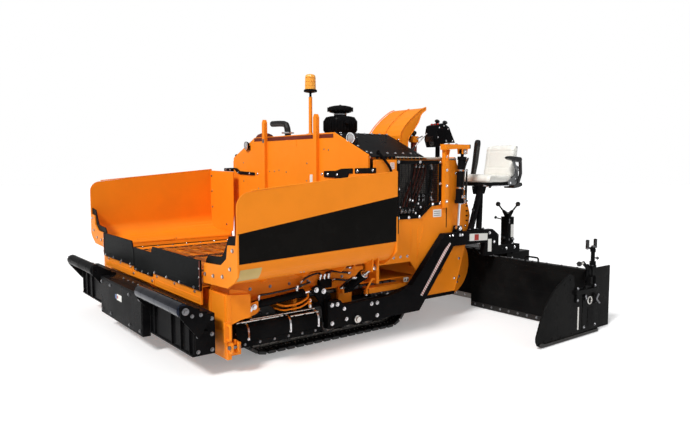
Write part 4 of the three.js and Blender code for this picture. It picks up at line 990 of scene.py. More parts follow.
class PAVER_OT_hopper_front(bpy.types.Operator):
    """Stepped apron, rubber flap in three panels, and their bolts"""

    bl_idname = "paver.hopper_front"
    bl_label = "Apron and flap"

    def execute(self, context):
        work = bmesh.new()
        # three flap panels: the middle one sits low behind the conveyor's mouth
        panels = (
            ([(-1104, 549), (-262, 549), (-252, 560), (-252, 668), (-300, 768), (-1104, 768)], -24, -13),
            ([(-258, 520), (176, 520), (176, 716), (-286, 716)], -20, -12.5),
            ([(172, 552), (1104, 552), (1104, 768), (200, 768), (172, 735)], -24, -13),
        )
        for outline, front, back in panels:
            slab(work, "y", rounded(outline, 5, 2), front, back, 0, 1.4)
        # clamping strip and its bolts
        for x0, x1, z in ((-1096, -270, 561), (-246, 166, 532), (186, 1060, 564)):
            slab(work, "y", [(x0, z - 11), (x1, z - 11), (x1, z + 11), (x0, z + 11)], -26.5, -23.5, 0, 1.0)
            count = 3 if x1 - x0 > 500 else 2
            for i in range(count + 1):
                x = x0 + 62 + (x1 - x0 - 124) * i / count
                bolt(work, (x, -26.5, z), (0, -1, 0), 9.5, 1, washer_finish=2)
        # red-brown strip at the outer end
        for x in (-1100, 1085):
            slab(work, "y", [(x, 552), (x + 16, 552), (x + 16, 764), (x, 764)], -27, -23.8, 3, 0.8)
        for x in (-1092, 1093):
            for z in (590, 650, 710):
                bolt(work, (x, -27, z), (0, -1, 0), 7, 1, washer=False)
        # brackets standing behind the flap
        for x in (-900, -420, 330, 900):
            slab(work, "x", [(-12, 604), (60, 604), (60, 614), (2, 700), (-12, 700)], x - 4, x + 4, 4)
        piece("flap_panels", work, "chassis", finish("rubber", "zinc", "dark_zinc", "red_brown",
                                                     "orange_gloss"),
              ("front_flap",))

        work = bmesh.new()
        # folds and steps pressed into the apron, with bolts along it
        for x0, x1, z0, z1 in ((-1060, -330, 470, 500), (230, 1060, 470, 500)):
            slab(work, "y", rounded([(x0, z0), (x1, z0), (x1, z1), (x0, z1)], 6, 2), -15.5, -11.5, 0, 1.4)
        for x in (-980, -640, -360, 260, 620, 980):
            bolt(work, (x, -12, 530), (0, -1, 0), 9, 1)
        slab(work, "y", [(-300, 455), (200, 455), (200, 512), (-300, 512)], -18, -11.5, 0, 1.8)
        for x in (-270, 170):
            bolt(work, (x, -18, 484), (0, -1, 0), 10, 1)
        bead(work, (-1086, -12, 583), (1086, -12, 583), 3.0, 0)
        # guide nose under the flap's middle and the mouth's wear bar
        slab(work, "x", [(-14, 586), (40, 606), (40, 596), (-14, 574)], -290, 190, 0, 1.2)
        piece("apron_trim", work, "chassis", finish("orange_gloss", "zinc"))
        carried("front_apron", bpy.data.materials["orange_gloss"])
        return {"FINISHED"}


class PAVER_OT_conveyor(bpy.types.Operator):
    """Hopper floor, chains, slats and the side seals along them"""

    bl_idname = "paver.conveyor"
    bl_label = "Hopper floor and conveyor"

    def execute(self, context):
        low, high = span("conveyor")
        work = bmesh.new()
        pitch = sizes().slat_pitch * MM
        rear = high.y
        y = low.y + 40
        top = high.z
        while y < rear - 30:
            for x0, x1 in ((low.x + 66, -46), (46, high.x - 66)):
                slab(work, "x", rounded([(y - 12, top - 14), (y + 12, top - 14), (y + 9, top - 0.5),
                                         (y - 9, top - 0.5)], 3, 2),
                     x0, x1, 0, 0.8)
            y += pitch
        # roller chains on each side of both slat rows
        for x in (low.x + 40, -20, 20, high.x - 40):
            y = low.y + 20
            while y < rear - 16:
                for side in (-9, 9):
                    outline = [(y - 22, top - 15), (y + 22, top - 15), (y + 22, top - 3), (y - 22, top - 3)]
                    slab(work, "x", rounded(outline, 6, 2), x + side - 2, x + side + 2, 1, 0)
                bar(work, (x - 13, y, top - 9), (x + 13, y, top - 9), 5, 8, 2, 0.6)
                y += 50
        # floor strips the slats drag over
        for x in (-640, -380, 380, 640):
            block(work, x - 20, x + 20, low.y + 20, rear - 6, top - 15.5, top - 13, 3, 0.5)
        piece("conveyor_slats", work, "chassis",
              finish("orange_slat", "dark_zinc", "worn_steel", "orange_slat"),
              ("conveyor",))

        work = bmesh.new()
        for s in (-1, 1):
            # sloping guard over the outer chain
            outer = s * 1060
            points = [(s * 770, 601), (s * 790, 628), (s * 830, 632), (s * 835, 601)]
            slab(work, "y", points, 30, 1390, 0, 1.0)
            for i in range(9):
                bolt(work, (s * 812, 110 + i * 150, 632), (0, 0, 1), 8, 1)
            # folded strip that closes the gap under the wing's hinge
            strip = [(s * 1040, 600.5), (s * 1056, 601), (s * 1064, 640), (s * 1070, 640), (s * 1070, 590),
                     (s * 1064, 590)]
            slab(work, "y", strip, 24, 1392, 0, 0.8)
            # rubber seal against the wing
            slab(work, "y", [(outer - 14, 600.5), (outer + 14, 600.5), (outer + 14, 612), (outer - 14, 606)],
                 20, 1380, 2, 1.0)
        # cross joints in the floor
        for y in (390, 860, 1280):
            for s in (-1, 1):
                bead(work, (s * 840, y, 600.6), (s * 1042, y, 600.6), 2.0, 0)
        piece("hopper_floor_trim", work, "chassis", finish("orange_gloss", "zinc", "rubber"))
        carried("hopper_deck", bpy.data.materials["orange_worn"])
        return {"FINISHED"}


class PAVER_OT_bulkhead(bpy.types.Operator):
    """Cross wall behind the hopper with its seals, posts and blank plates"""

    bl_idname = "paver.bulkhead"
    bl_label = "Bulkhead"

    def execute(self, context):
        face = 1436.0
        work = bmesh.new()
        # red-brown strip under the top edge, painted shade of the hood's lip behind it, and the folded edge itself
        slab(work, "y", [(-696, 1672), (-484, 1672), (-484, 1706), (-696, 1706)], face - 3, face + 0.5, 0,
             0.8)
        slab(work, "y", [(-430, 1668), (430, 1668), (430, 1702), (-430, 1706)], face - 3, face + 0.5, 0, 0.8)
        slab(work, "y", [(484, 1668), (694, 1666), (694, 1700), (484, 1702)], face - 3, face + 0.5, 0, 0.8)
        edge = [(-1168, 1502), (-1166, 1506), (-702, 1708), (702, 1708), (1166, 1506), (1168, 1502)]
        pipe(work, [(x, face + 8, z) for x, z in edge], 5, 8, 1)
        # rubber strips that seal against the wings' rear edges
        for outline in (
            [(-1390, 1356), (-1192, 1352), (-1192, 1394), (-1390, 1390)],
            [(-1178, 1394), (-1100, 1352), (-1010, 1322), (-690, 1316), (-690, 1346), (-1020, 1358),
             (-1090, 1390)],
            [(560, 1318), (900, 1306), (916, 1352), (972, 1352), (972, 1398), (820, 1394), (740, 1376),
             (560, 1372)],
            [(1004, 1352), (1272, 1360), (1272, 1404), (1004, 1398)],
        ):
            mid = sum(u for u, v in outline) / len(outline)
            back = face if abs(mid) < 1160 else 1455
            slab(work, "y", rounded(outline, 8, 2), face - 9, back, 2, 1.2)
        for x, z in ((-1370, 1372), (-1210, 1372), (-710, 1331), (-640, 1331), (520, 1342), (470, 1342),
                     (1290, 1382)):
            if abs(x) < 1160:
                bolt(work, (x, face, z), (0, -1, 0), 10, 3)
        for x, z in ((-1340, 1372), (-1240, 1372), (-1060, 1340), (-800, 1332), (620, 1345), (760, 1342),
                     (1040, 1375), (1240, 1382)):
            bolt(work, (x, face - 9, z), (0, -1, 0), 8, 3)
        # small bolts and plugged holes
        for x, z in ((-394, 1360), (-300, 1362), (-210, 1372), (-77, 1356), (555, 1567), (623, 1559),
                     (282, 1441),
                     (275, 1278), (-940, 1450), (-940, 1250), (940, 1250), (-620, 1180), (620, 1180)):
            domed(work, (x, face, z), (0, -1, 0), 7, 4)
        # weld seams of the posts and of the mouth
        for s in (-1, 1):
            for x in (s * 430, s * 484):
                bead(work, (x, face - 1, 960), (x, face - 1, 1700), 3, 1)
            bead(work, (s * 762, face - 1, 610), (s * 762, face - 1, 950), 3, 1)
        # rubber curtain hanging over the mouth, cut in strips
        for i in range(12):
            x = -748 + i * 125
            slab(work, "y", rounded([(x, 900), (x + 120, 900), (x + 120, 1000), (x, 1000)], 3, 1), face - 7,
                 face - 1, 2, 0.8)
        block(work, -756, 756, face - 12, face - 6, 972, 1002, 3, 1.0)
        for i in range(11):
            bolt(work, (-700 + i * 140, face - 12, 987), (0, -1, 0), 9, 3)
        # blank plates
        slab(work, "y", rounded([(-150, 1604), (110, 1604), (110, 1664), (-150, 1664)], 5, 2), face - 2,
             face + 0.5, 1, 0.3)
        slab(work, "y", rounded([(330, 1262), (374, 1262), (374, 1338), (330, 1338)], 4, 2), face - 1.5,
             face + 0.5, 5, 0.3)
        # slots at the posts' feet
        slab(work, "y", rounded([(-474, 1650), (-440, 1650), (-440, 1690), (-474, 1690)], 6, 2), 1399.5,
             1402, 4, 0.5)
        piece("bulkhead_trim", work, "chassis",
              finish("red_brown", "orange_gloss", "rubber", "zinc", "dark_zinc", "plate_white"))
        carried("bulkhead", bpy.data.materials["orange_gloss"], 0.003)
        return {"FINISHED"}


# ------------------------------------------------------------------ front
class PAVER_OT_push_beam(bpy.types.Operator):
    """Push beam with ribs, end plates and blank plate, and its two rollers"""

    bl_idname = "paver.push_beam"
    bl_label = "Push beam and rollers"

    def execute(self, context):
        front, centre = -170.0, -230.0
        work = bmesh.new()
        # frame strips and ribs round the proud centre box
        slab(work, "y", rounded([(-506, 138), (506, 138), (506, 440), (-506, 440)], 8, 2), centre - 4,
             centre + 1, 0, 2)
        for s in (-1, 1):
            for x in (560, 640, 960, 1120, 1262):
                slab(work, "x", [(front - 16, 178), (front, 170), (front, 434), (front - 16, 426)],
                     s * x - 5, s * x + 5, 0, 1.2)
            bead(work, (s * 524, front - 2, 170), (s * 524, front - 2, 436), 3, 0)
            # lower lip
            slab(work, "x", [(front - 10, 163), (front + 2, 163), (front + 2, 177), (front - 10, 174)],
                 min(s * 524, s * 1306), max(s * 524, s * 1306), 0, 1.2)
            # bolted end plate
            end_plate = rounded([(-166, 170), (-24, 170), (-24, 434), (-166, 434)], 10, 3)
            slab(work, "x", end_plate, min(s * 1309, s * 1319), max(s * 1309, s * 1319), 0, 1.2)
            for y in (-146, -46):
                for z in (196, 302, 408):
                    bolt(work, (s * 1319, y, z), (s, 0, 0), 10, 1)
        # top plate's edges and centre pocket
        block(work, -300, 300, -170, -60, 440, 452, 0, 1.5)
        for x in (-240, -120, 0, 120, 240):
            bolt(work, (x, -115, 452), (0, 0, 1), 10, 1)
        slab(work, "y", rounded([(-60, 316), (56, 316), (56, 366), (-60, 366)], 5, 2), centre - 6,
             centre - 3.8, 2, 0.4)
        slab(work, "y", rounded([(-104, 322), (-68, 322), (-68, 358), (-104, 358)], 5, 2), centre - 6,
             centre - 3.8, 3, 0.4)
        slab(work, "y", circle(-40, 341, 14, 16), centre - 6.6, centre - 5.6, 4, 0)
        for x in (-470, -235, 235, 470):
            bolt(work, (x, centre - 4, 410), (0, -1, 0), 10, 1)
            bolt(work, (x, centre - 4, 168), (0, -1, 0), 10, 1)
        # roller brackets: cheeks with slots, cross bolts and gussets
        for s in (-1, 1):
            for x in (551, 1372):
                inner = s * x
                for y, z in ((-210, 458), (-150, 458)):
                    bolt(work, (inner + 7 * s, y, z), (s, 0, 0), 9, 1)
                lathe(work, [(0, 0), (24, 0), (24, 6), (17, 9), (0, 9)], (inner + 7 * s, -256, 495),
                      (s, 0, 0), 20, 1)
                bolt(work, (inner + 16 * s, -256, 495), (s, 0, 0), 13, 1, washer=False)
            for x in (600, 740, 1180, 1290):
                slab(work, "x", [(-168, 440), (-150, 440), (-70, 440), (-70, 452), (-160, 470)], s * x - 4,
                     s * x + 4, 0, 1)
        piece("push_beam_trim", work, "push_beam",
              finish("black_satin", "dark_zinc", "plate_white", "plate_blue", "plate_red"))
        carried("push_beam", bpy.data.materials["black_satin"], 0.003)

        for side, s, coat in (("left", 1, "blued_steel"), ("right", -1, "black_satin")):
            low, high = span(f"{side}_push_roller")
            axis = (low + high) / 2
            radius = (high.z - low.z) / 2
            work = bmesh.new()
            x0, x1 = (low.x, high.x)
            length = x1 - x0
            profile = [(0, 0), (14, 0), (14, 12), (radius - 9, 14), (radius - 3, 17), (radius, 22)]
            for wear in (0.18, 0.5, 0.82):
                at = length * wear
                profile += [(radius, at - 5), (radius - 1.2, at - 3), (radius - 1.2, at + 3),
                            (radius, at + 5)]
            profile += [(radius, length - 22), (radius - 3, length - 17), (radius - 9, length - 14)]
            profile += [(14, length - 12), (14, length), (0, length)]
            lathe(work, profile, (x0, axis.y, axis.z), (1, 0, 0), 48, 0)
            piece(f"{side}_push_roller_shell", work, f"{side}_push_roller", finish(coat),
                  (f"{side}_push_roller",))
        return {"FINISHED"}


class PAVER_OT_front_frame(bpy.types.Operator):
    """Front corners of the frame: uprights, tie-down loop, towing clevis, seams and steps"""

    bl_idname = "paver.front_frame"
    bl_label = "Front corners"

    def execute(self, context):
        work = bmesh.new()
        # upright: folded strips and a step in its outer edge
        for z0, z1 in ((120, 300), (318, 548)):
            slab(work, "y", rounded([(1122, z0), (1326, z0), (1326, z1), (1122, z1)], 6, 2), 46, 50.5, 0, 1.2)
        bead(work, (1112, 48, 118), (1112, 48, 548), 3, 0)
        bead(work, (1350, 76, 380), (1350, 76, 548), 3, 0)
        # tie-down loop on the outer side
        loop = corner_path([(1352, 20, 352), (1398, 20, 352), (1398, 20, 252), (1352, 20, 252)], 36, 8)
        pipe(work, [(x, y + 30, z) for x, y, z in loop], 9, 12, 0)
        slab(work, "x", rounded([(24, 232), (78, 232), (78, 374), (24, 374)], 8, 3), 1349.5, 1357, 0, 1.2)
        # clevis with its pin, low at the corner
        for y in (64, 108):
            slab(work, "y", rounded([(1330, 158), (1392, 158), (1404, 184), (1404, 226), (1386, 244),
                                     (1330, 244)], 10, 3),
                 y - 6, y + 6, 0, 1.5)
        bar(work, (1380, 50, 202), (1380, 124, 202), 13, 18, 1)
        bolt(work, (1380, 50, 202), (0, -1, 0), 14, 1, washer=False)
        lathe(work, [(0, 0), (19, 0), (19, 5), (0, 5)], (1380, 118, 202), (0, 1, 0), 20, 1)
        # step plate between the corner and the fender
        slab(work, "z", rounded([(1112, 80), (1330, 80), (1330, 250), (1112, 300)], 12, 3), 428, 436, 0, 1.5)
        for y in (110, 180, 240):
            bolt(work, (1300, y, 436), (0, 0, 1), 9, 1)
        slab(work, "x", rounded([(84, 436), (246, 436), (216, 560), (84, 590)], 14, 3), 1322, 1330, 0, 1.5)
        bead(work, (1320, 90, 437), (1320, 240, 437), 3, 0)
        # bracket that holds the tow cylinder's pin
        slab(work, "x", rounded([(262, 426), (420, 470), (420, 356), (330, 330), (262, 350)], 16, 3), 1140,
             1150, 0, 1.5)
        slab(work, "x", rounded([(262, 426), (372, 452), (372, 366), (330, 346), (262, 350)], 16, 3), 1200,
             1210, 0, 1.5)
        bar(work, (1136, 335, 410), (1222, 335, 410), 15, 18, 2)
        for y, z in ((335, 410), (300, 398)):
            bolt(work, (1216, y, z), (1, 0, 0), 15, 2)
        # skirt: long seams and a row of bolts along the fender
        for z in (468, 552):
            bead(work, (1110, 300, z), (1110, 1420, z), 2.2, 0)
        for y in range(360, 1400, 170):
            bolt(work, (1110, y, 520), (1, 0, 0), 9, 1)
        pair("*_front_corner_trim", work, "chassis", finish("orange_gloss", "dark_zinc", "zinc"))
        carried("main_frame", bpy.data.materials["orange_gloss"], 0.002)
        return {"FINISHED"}


# ------------------------------------------------------------------ tracks and tow gear
def track_point(share, inset, front=300.0, rear=1960.0, height=420.0):
    """Place and heading on the track's loop at a share of its length."""
    radius = height / 2
    straight = rear - front - height
    turn = math.pi * radius
    s = (share % 1.0) * 2 * (straight + turn)
    r = radius - inset
    if s < straight:
        return front + radius + s, inset, 0.0
    s -= straight
    if s < turn:
        a = -math.pi / 2 + s / radius
        return rear - radius + r * math.cos(a), radius + r * math.sin(a), a + math.pi / 2
    s -= turn
    if s < straight:
        return rear - radius - s, height - inset, math.pi
    a = math.pi / 2 + (s - straight) / radius
    return front + radius + r * math.cos(a), radius + r * math.sin(a), a + math.pi / 2


def turned_box(work, centre, heading, half, low, high, x0, x1, finish, round_off):
    """A block lying along the track's loop: low and high are depths below its outside."""
    y, z = centre
    along = Vector((math.cos(heading), math.sin(heading)))
    inward = Vector((-math.sin(heading), math.cos(heading)))
    at = Vector((y, z))
    outline = []
    for a, b in ((-half, low), (half, low), (half, high), (-half, high)):
        p = at + along * a + inward * b
        outline.append((p.x, p.y))
    slab(work, "x", outline, x0, x1, finish, round_off)


class PAVER_OT_tracks(bpy.types.Operator):
    """Rubber-padded shoes on their links, with idler, sprocket and rollers"""

    bl_idname = "paver.tracks"
    bl_label = "Tracks"

    def execute(self, context):
        count = sizes().shoe_count
        x0, x1 = 760.0, 1100.0
        loop = 2 * (1660 - 420) + math.pi * 420
        pitch = loop / count
        work = bmesh.new()
        for i in range(count):
            y, z, heading = track_point((i + 0.5) / count, 0)
            turned_box(work, (y, z), heading, pitch * 0.38, 0.5, 24, x0, x1, 0, 5.0)
            turned_box(work, (y, z), heading, pitch * 0.46, 22, 30, x0 + 4, x1 - 4, 1, 1.2)
            for x in (x0 + 118, x1 - 118):
                turned_box(work, (y, z), heading, pitch * 0.49, 29, 50, x - 13, x + 13, 2, 2.0)
            inward = Vector((-math.sin(heading), math.cos(heading)))
            along = Vector((math.cos(heading), math.sin(heading)))
            joint = Vector((y, z)) + inward * 40 + along * pitch * 0.5
            bar(work, (x0 + 98, joint.x, joint.y), (x1 - 98, joint.x, joint.y), 9, 10, 2, 1)
            for x in (x0 + 60, x1 - 60):
                for back in (-0.2, 0.2):
                    spot = Vector((y, z)) + inward * 30 + along * pitch * back
                    lathe(work, [(0, 0), (8, 0), (8, 5), (0, 6)], (x, spot.x, spot.y),
                          (0, inward.x, inward.y), 6, 2)
        pair("*_track_chain", work, "chassis", finish("track_rubber", "black_satin", "worn_steel"),
             ("*_track",))

        work = bmesh.new()
        mid = (x0 + x1) / 2
        for y in (510, 1750):
            for s in (-1, 1):
                # dished hub, cap and bolts on each side of the wheel
                lathe(work, [(0, 0), (150, 0), (150, 7), (128, 10), (116, 3), (74, 3), (66, 20), (44, 26),
                             (0, 26)],
                      (mid + s * 55, y, 210), (s, 0, 0), 40, 0)
                for k in range(8):
                    a = math.tau * k / 8
                    bolt(work, (mid + s * 58, y + 96 * math.cos(a), 210 + 96 * math.sin(a)), (s, 0, 0), 10, 1)
                bolt(work, (mid + s * 81, y, 210), (s, 0, 0), 18, 1)
        for i in range(5):
            y = 720 + 820 * i / 4
            for s in (-1, 1):
                lathe(work, [(0, 0), (30, 0), (30, 4), (16, 9), (0, 9)], (mid + s * 110, y, 90), (s, 0, 0),
                      24, 2)
                bolt(work, (mid + s * 118, y, 90), (s, 0, 0), 9, 1, washer=False)
        # beam: side plates, seams and grease cover
        for s in (-1, 1):
            face = mid + s * 70
            slab(work, "x", rounded([(700, 148), (1560, 148), (1560, 252), (700, 252)], 20, 3),
                 min(face, face + s * 6), max(face, face + s * 6), 0, 2)
            bead(work, (face, 520, 271), (face, 1740, 271), 3, 0)
            slab(work, "x", rounded([(860, 172), (1000, 172), (1000, 228), (860, 228)], 10, 3),
                 min(face + s * 5, face + s * 9), max(face + s * 5, face + s * 9), 0, 1)
            for y in (880, 980):
                bolt(work, (face + s * 9, y, 200), (s, 0, 0), 7, 1)
        # tensioner between idler and beam
        bar(work, (mid, 560, 200), (mid, 700, 200), 34, 20, 2)
        ring_tube(work, (mid, 600, 200), (mid, 640, 200), 44, 30, 24, 0)
        pair("*_track_frame_trim", work, "chassis", finish("engine_iron", "zinc", "worn_steel"))
        for side in ("left", "right"):
            carried(f"{side}_track_frame", bpy.data.materials["engine_iron"], 0.003)
        return {"FINISHED"}


def hose(work, points, radius, finish, cuff=None):
    """A clipped hydraulic hose with crimped ends."""
    path = smooth_path(points, 7)
    pipe(work, path, radius, 10, finish)
    if cuff is not None:
        for end, near in ((path[0], path[3]), (path[-1], path[-4])):
            way = (near - end).normalized()
            lathe(work, [(0, 0), (radius * 1.25, 0), (radius * 1.4, 3), (radius * 1.4, radius * 3.4),
                         (radius * 1.1, radius * 3.8), (0, radius * 3.8)], end, way, 14, cuff)
            lathe(work, [(0, 0), (radius * 1.6, 0), (radius * 1.6, radius * 1.3), (0, radius * 1.3)], end,
                  way, 6, cuff)


def clip(work, centre, axis, radius, width, finish):
    """A band clip round a hose or tube."""
    d = Vector(axis).normalized()
    ring_tube(work, Vector(centre) - d * width / 2, Vector(centre) + d * width / 2, radius + 2,
              radius - 0.5, 24, finish)
    _, up = across(d)
    spot = Vector(centre) + up * (radius + 3)
    bar(work, spot - d * width * 0.3, spot + d * width * 0.3, 4, 8, finish, 0.6)


class PAVER_OT_tow_gear(bpy.types.Operator):
    """Track guard, tow cylinder, lever plate, tow arm's bolts, tape and blank plates"""

    bl_idname = "paver.tow_gear"
    bl_label = "Tow gear"

    def execute(self, context):
        work = bmesh.new()
        # guard tube: clips, rods along its top and a folded seam
        for y in (250, 600, 852):
            band = [(1281.5, 196), (1281.5, 250)] + arc(1220, 250, 61.5, 0, 90, 8) + [(1180, 311.5)]
            path = [(x, y, z) for x, z in band]
            sweep(work, path, [(-9, -1), (9, -1), (9, 1.2), (-9, 1.2)], 0)
            bolt(work, (1282, y, 206), (1, 0, 0), 7.5, 0)
        for x, z, y0, y1 in ((1238, 318, 176, 560), (1262, 308, 610, 862), (1206, 320, 300, 866)):
            bar(work, (x, y0, z), (x, y1, z), 6.5, 14, 1, 2)
            for y in (y0 + 30, (y0 + y1) / 2, y1 - 30):
                block(work, x - 10, x + 10, y - 7, y + 7, z - 12, z + 2, 2, 1)
        bead(work, (1281, 170, 160), (1281, 860, 160), 2.5, 2)
        # wear plate low on the guard and its bolts
        slab(work, "x", rounded([(190, 158), (850, 158), (850, 186), (190, 186)], 6, 2), 1279.5, 1284, 2, 1)
        for y in range(220, 860, 120):
            bolt(work, (1284, y, 172), (1, 0, 0), 7, 3)
        # closing plate at the front with a ring of bolts
        slab(work, "y", [(1137, 152), (1278, 152), (1278, 250)] + arc(1220, 250, 57, 0, 90, 8) + [(1137, 308)],
             163, 169, 2, 1)
        for x, z in ((1150, 166), (1264, 166), (1264, 250), (1150, 294)):
            bolt(work, (x, 163, z), (0, -1, 0), 7, 3)
        pair("*_track_guard_trim", work, "chassis",
             finish("zinc", "bright_steel", "black_satin", "dark_zinc"))
        for side in ("left", "right"):
            carried(f"{side}_track_guard", bpy.data.materials["black_satin"], 0.003)

        # tow cylinder with gland, ports, hoses and the lever plate
        a, b = Vector((1175, 335, 410)), Vector((1175, 885, 457))
        d = (b - a).normalized()
        work = bmesh.new()
        for share in (0.03, 0.77):
            spot = a + d * (b - a).length * share
            lathe(work, [(0, 0), (33, 0), (34, 3), (34, 26), (31, 29), (0, 29)], spot, d, 28, 0)
        gland = a + d * (b - a).length * 0.8
        lathe(work, [(0, 0), (22, 0), (22, 8), (14.5, 12), (0, 12)], gland, d, 20, 1)
        bar(work, gland + d * 4, b - d * 14, 12.6, 20, 4, 0.5)
        for share in (0.1, 0.72):
            port = a + d * (b - a).length * share
            bar(work, port + Vector((0, 0, 22)), port + Vector((0, 0, 42)), 9, 6, 1, 1)
        for x in (1160, 1190):
            bolt(work, (x + 14 if x > 1175 else x - 14, 335, 410), (1 if x > 1175 else -1, 0, 0), 15, 1)
        hose(work, [a + d * 55 + Vector((0, 0, 42)), a + d * 60 + Vector((8, 6, 66)), (1196, 470, 486),
                    (1190, 640, 494),
                    (1168, 760, 500), (1128, 800, 500)], 8, 3, 1)
        hose(work, [a + d * 395 + Vector((0, 0, 42)), a + d * 398 + Vector((4, 4, 60)), (1180, 800, 516),
                    (1160, 850, 520),
                    (1128, 870, 512)], 8, 3, 1)
        # lever plate: a black casting hung from the skirt, with bright bolts
        lever = [(846, 486), (900, 500), (962, 470), (1004, 404), (1052, 330), (1062, 236), (1044, 176),
                 (1000, 160),
                 (964, 176), (950, 244), (938, 330), (880, 418), (846, 440)]
        slab(work, "x", rounded(lever, 14, 3), 1192, 1206, 0, 3)
        for y, z, r in ((957, 444, 15), (886, 462, 15), (976, 322, 17), (1026, 296, 15), (1006, 196, 15)):
            bolt(work, (1206, y, z), (1, 0, 0), r, 1)
        bar(work, (1100, 990, 395), (1196, 990, 395), 24, 20, 0)
        ring_tube(work, (1186, 990, 395), (1214, 990, 395), 30, 16, 24, 0)
        pair("*_tow_cylinder_trim", work, "chassis",
             finish("black_satin", "zinc", "orange_gloss", "hose_black", "chrome"))
        for side in ("left", "right"):
            carried(f"{side}_tow_cylinder", bpy.data.materials["black_satin"], 0.0015)

        # hydraulic block and hoses over the fender, behind the cylinder
        work = bmesh.new()
        block(work, 1112, 1150, 960, 1080, 452, 520, 0, 3)
        for y in (980, 1020, 1060):
            bar(work, (1131, y, 518), (1131, y, 538), 9, 6, 1, 1)
        hose(work, [(1131, 980, 536), (1136, 976, 566), (1150, 930, 580), (1150, 840, 560),
                    (1132, 780, 520)], 8, 2, 1)
        hose(work, [(1131, 1020, 536), (1132, 1030, 566), (1126, 1100, 574), (1121, 1180, 560),
                    (1119, 1290, 540)], 8, 2, 1)
        hose(work, [(1131, 1060, 536), (1132, 1066, 560), (1124, 1120, 594), (1120, 1200, 598),
                    (1118, 1300, 584)], 8, 4, 1)
        hose(work, [(1122, 1090, 500), (1123, 1130, 506), (1121, 1210, 492), (1121, 1300, 474),
                    (1122, 1380, 462)], 9, 2, 1)
        # orange hose guard below the cylinder
        pipe(work, corner_path([(1150, 560, 388), (1196, 600, 372), (1204, 720, 376), (1204, 812, 412),
                                (1160, 836, 440)],
                               40, 6), 8, 12, 3)
        pipe(work, corner_path([(1150, 540, 360), (1212, 580, 346), (1220, 740, 352), (1214, 826, 392)], 40,
                               6), 6.5, 12, 3)
        slab(work, "x", rounded([(812, 330), (838, 330), (838, 404), (812, 404)], 8, 3), 1200, 1208, 3, 1.2)
        bolt(work, (1208, 825, 344), (1, 0, 0), 9, 1)
        bolt(work, (1208, 825, 388), (1, 0, 0), 9, 1)
        # fender step behind, with its handle bracket and small work lamp
        slab(work, "z", rounded([(1111, 1420), (1196, 1420), (1204, 1470), (1204, 1884), (1111, 1884)], 16,
                                4),
             398, 408, 3, 2)
        slab(work, "x", rounded([(1424, 362), (1880, 362), (1880, 404), (1424, 404)], 8, 3), 1197, 1204, 3,
             1.5)
        for y in range(1480, 1880, 60):
            slab(work, "z", rounded([(1120, y), (1188, y), (1188, y + 14), (1120, y + 14)], 6, 3), 407.4,
                 410.4, 3, 1)
        slab(work, "x", rounded([(1392, 392), (1412, 392), (1470, 470), (1496, 470), (1496, 486),
                                 (1458, 486)], 6, 3),
             1186, 1194, 3, 1.4)
        block(work, 1176, 1204, 1388, 1416, 360, 396, 3, 3)
        lathe(work, [(0, 0), (15, 0), (15, 8), (11, 12), (0, 12)], (1190, 1402, 360), (0, 0, -1), 16, 1)
        slab(work, "x", rounded([(1818, 412), (1876, 412), (1876, 452), (1818, 452)], 6, 3), 1196, 1201, 5, 1)
        for y in (1832, 1862):
            bolt(work, (1201, y, 432), (1, 0, 0), 8, 1)
        pair("*_fender_trim", work, "chassis",
             finish("black_satin", "zinc", "hose_black", "orange_gloss", "hose_red", "deck_plate"))

        # tow arm: pin, bolts, tape and blank plates
        work = bmesh.new()
        face = 1284.0
        slab(work, "x", rounded([(948, 168), (1480, 170), (1480, 322), (1104, 322), (1064, 366),
                                 (948, 366)], 10, 3),
             face, face + 3, 0, 1.5)
        lathe(work, [(0, 0), (46, 0), (46, 4), (40, 7), (0, 7)], (face + 3, 1226, 198), (1, 0, 0), 32, 0)
        for y, z, r in ((978, 344, 12), (1030, 344, 12), (978, 200, 12), (1098, 300, 11), (1120, 214, 11),
                        (1380, 300, 12),
                        (1440, 300, 12), (1440, 196, 12)):
            bolt(work, (face + 3, y, z), (1, 0, 0), r, 1)
        # the slanting run: welded flange strips and reflecting tape
        slab(work, "x", [(1850, 402), (1882, 372), (2342, 762), (2342, 806), (2240, 806)], face, face + 2.5,
             0, 1.2)
        tape = [(1939, 297), (1963, 287), (2318, 716), (2294, 742)]
        slab(work, "x", tape, face - 0.2, face + 1.4, 2, 0)
        slab(work, "x", rounded([(2572, 722), (2828, 712), (2828, 778), (2572, 790)], 5, 2), face - 0.2,
             face + 1.6, 3, 0)
        slab(work, "x", [(2640, 724), (2700, 721), (2700, 778), (2640, 781)], face + 1.4, face + 2.2, 4, 0)
        slab(work, "x", rounded([(2838, 600), (2890, 598), (2890, 720), (2838, 722)], 5, 2), face - 0.2,
             face + 1.6, 3, 0)
        for y, z in ((2300, 790), (2340, 790), (2440, 788), (2470, 788), (2860, 780), (2930, 690),
                     (3120, 612), (3250, 612)):
            bolt(work, (face, y, z), (1, 0, 0), 10, 1)
        for z in (586, 614):
            bead(work, (face, 3010, z), (face, 3320, z), 2.5, 0)
        # lift lugs' bosses and seams
        for x in (1234, 1290):
            lathe(work, [(0, 0), (22, 0), (22, 3), (0, 3)], (x, 2430, 850), (1 if x > 1262 else -1, 0, 0),
                  24, 0)
        bolt(work, (1293, 2430, 850), (1, 0, 0), 14, 1)
        bead(work, (face - 1, 2390, 813), (face - 1, 2470, 813), 3, 0)
        # inner stiffener seen from behind and below
        for y in range(2100, 2300, 90):
            bead(work, (1224, y - 40, 440), (1224, y, 480), 2.5, 0)
        pair("*_tow_arm_trim", work, "screed",
             finish("black_satin", "zinc", "red_white_tape", "plate_white", "plate_red"))
        for side in ("left", "right"):
            carried(f"{side}_tow_arm", bpy.data.materials["black_satin"], 0.004)

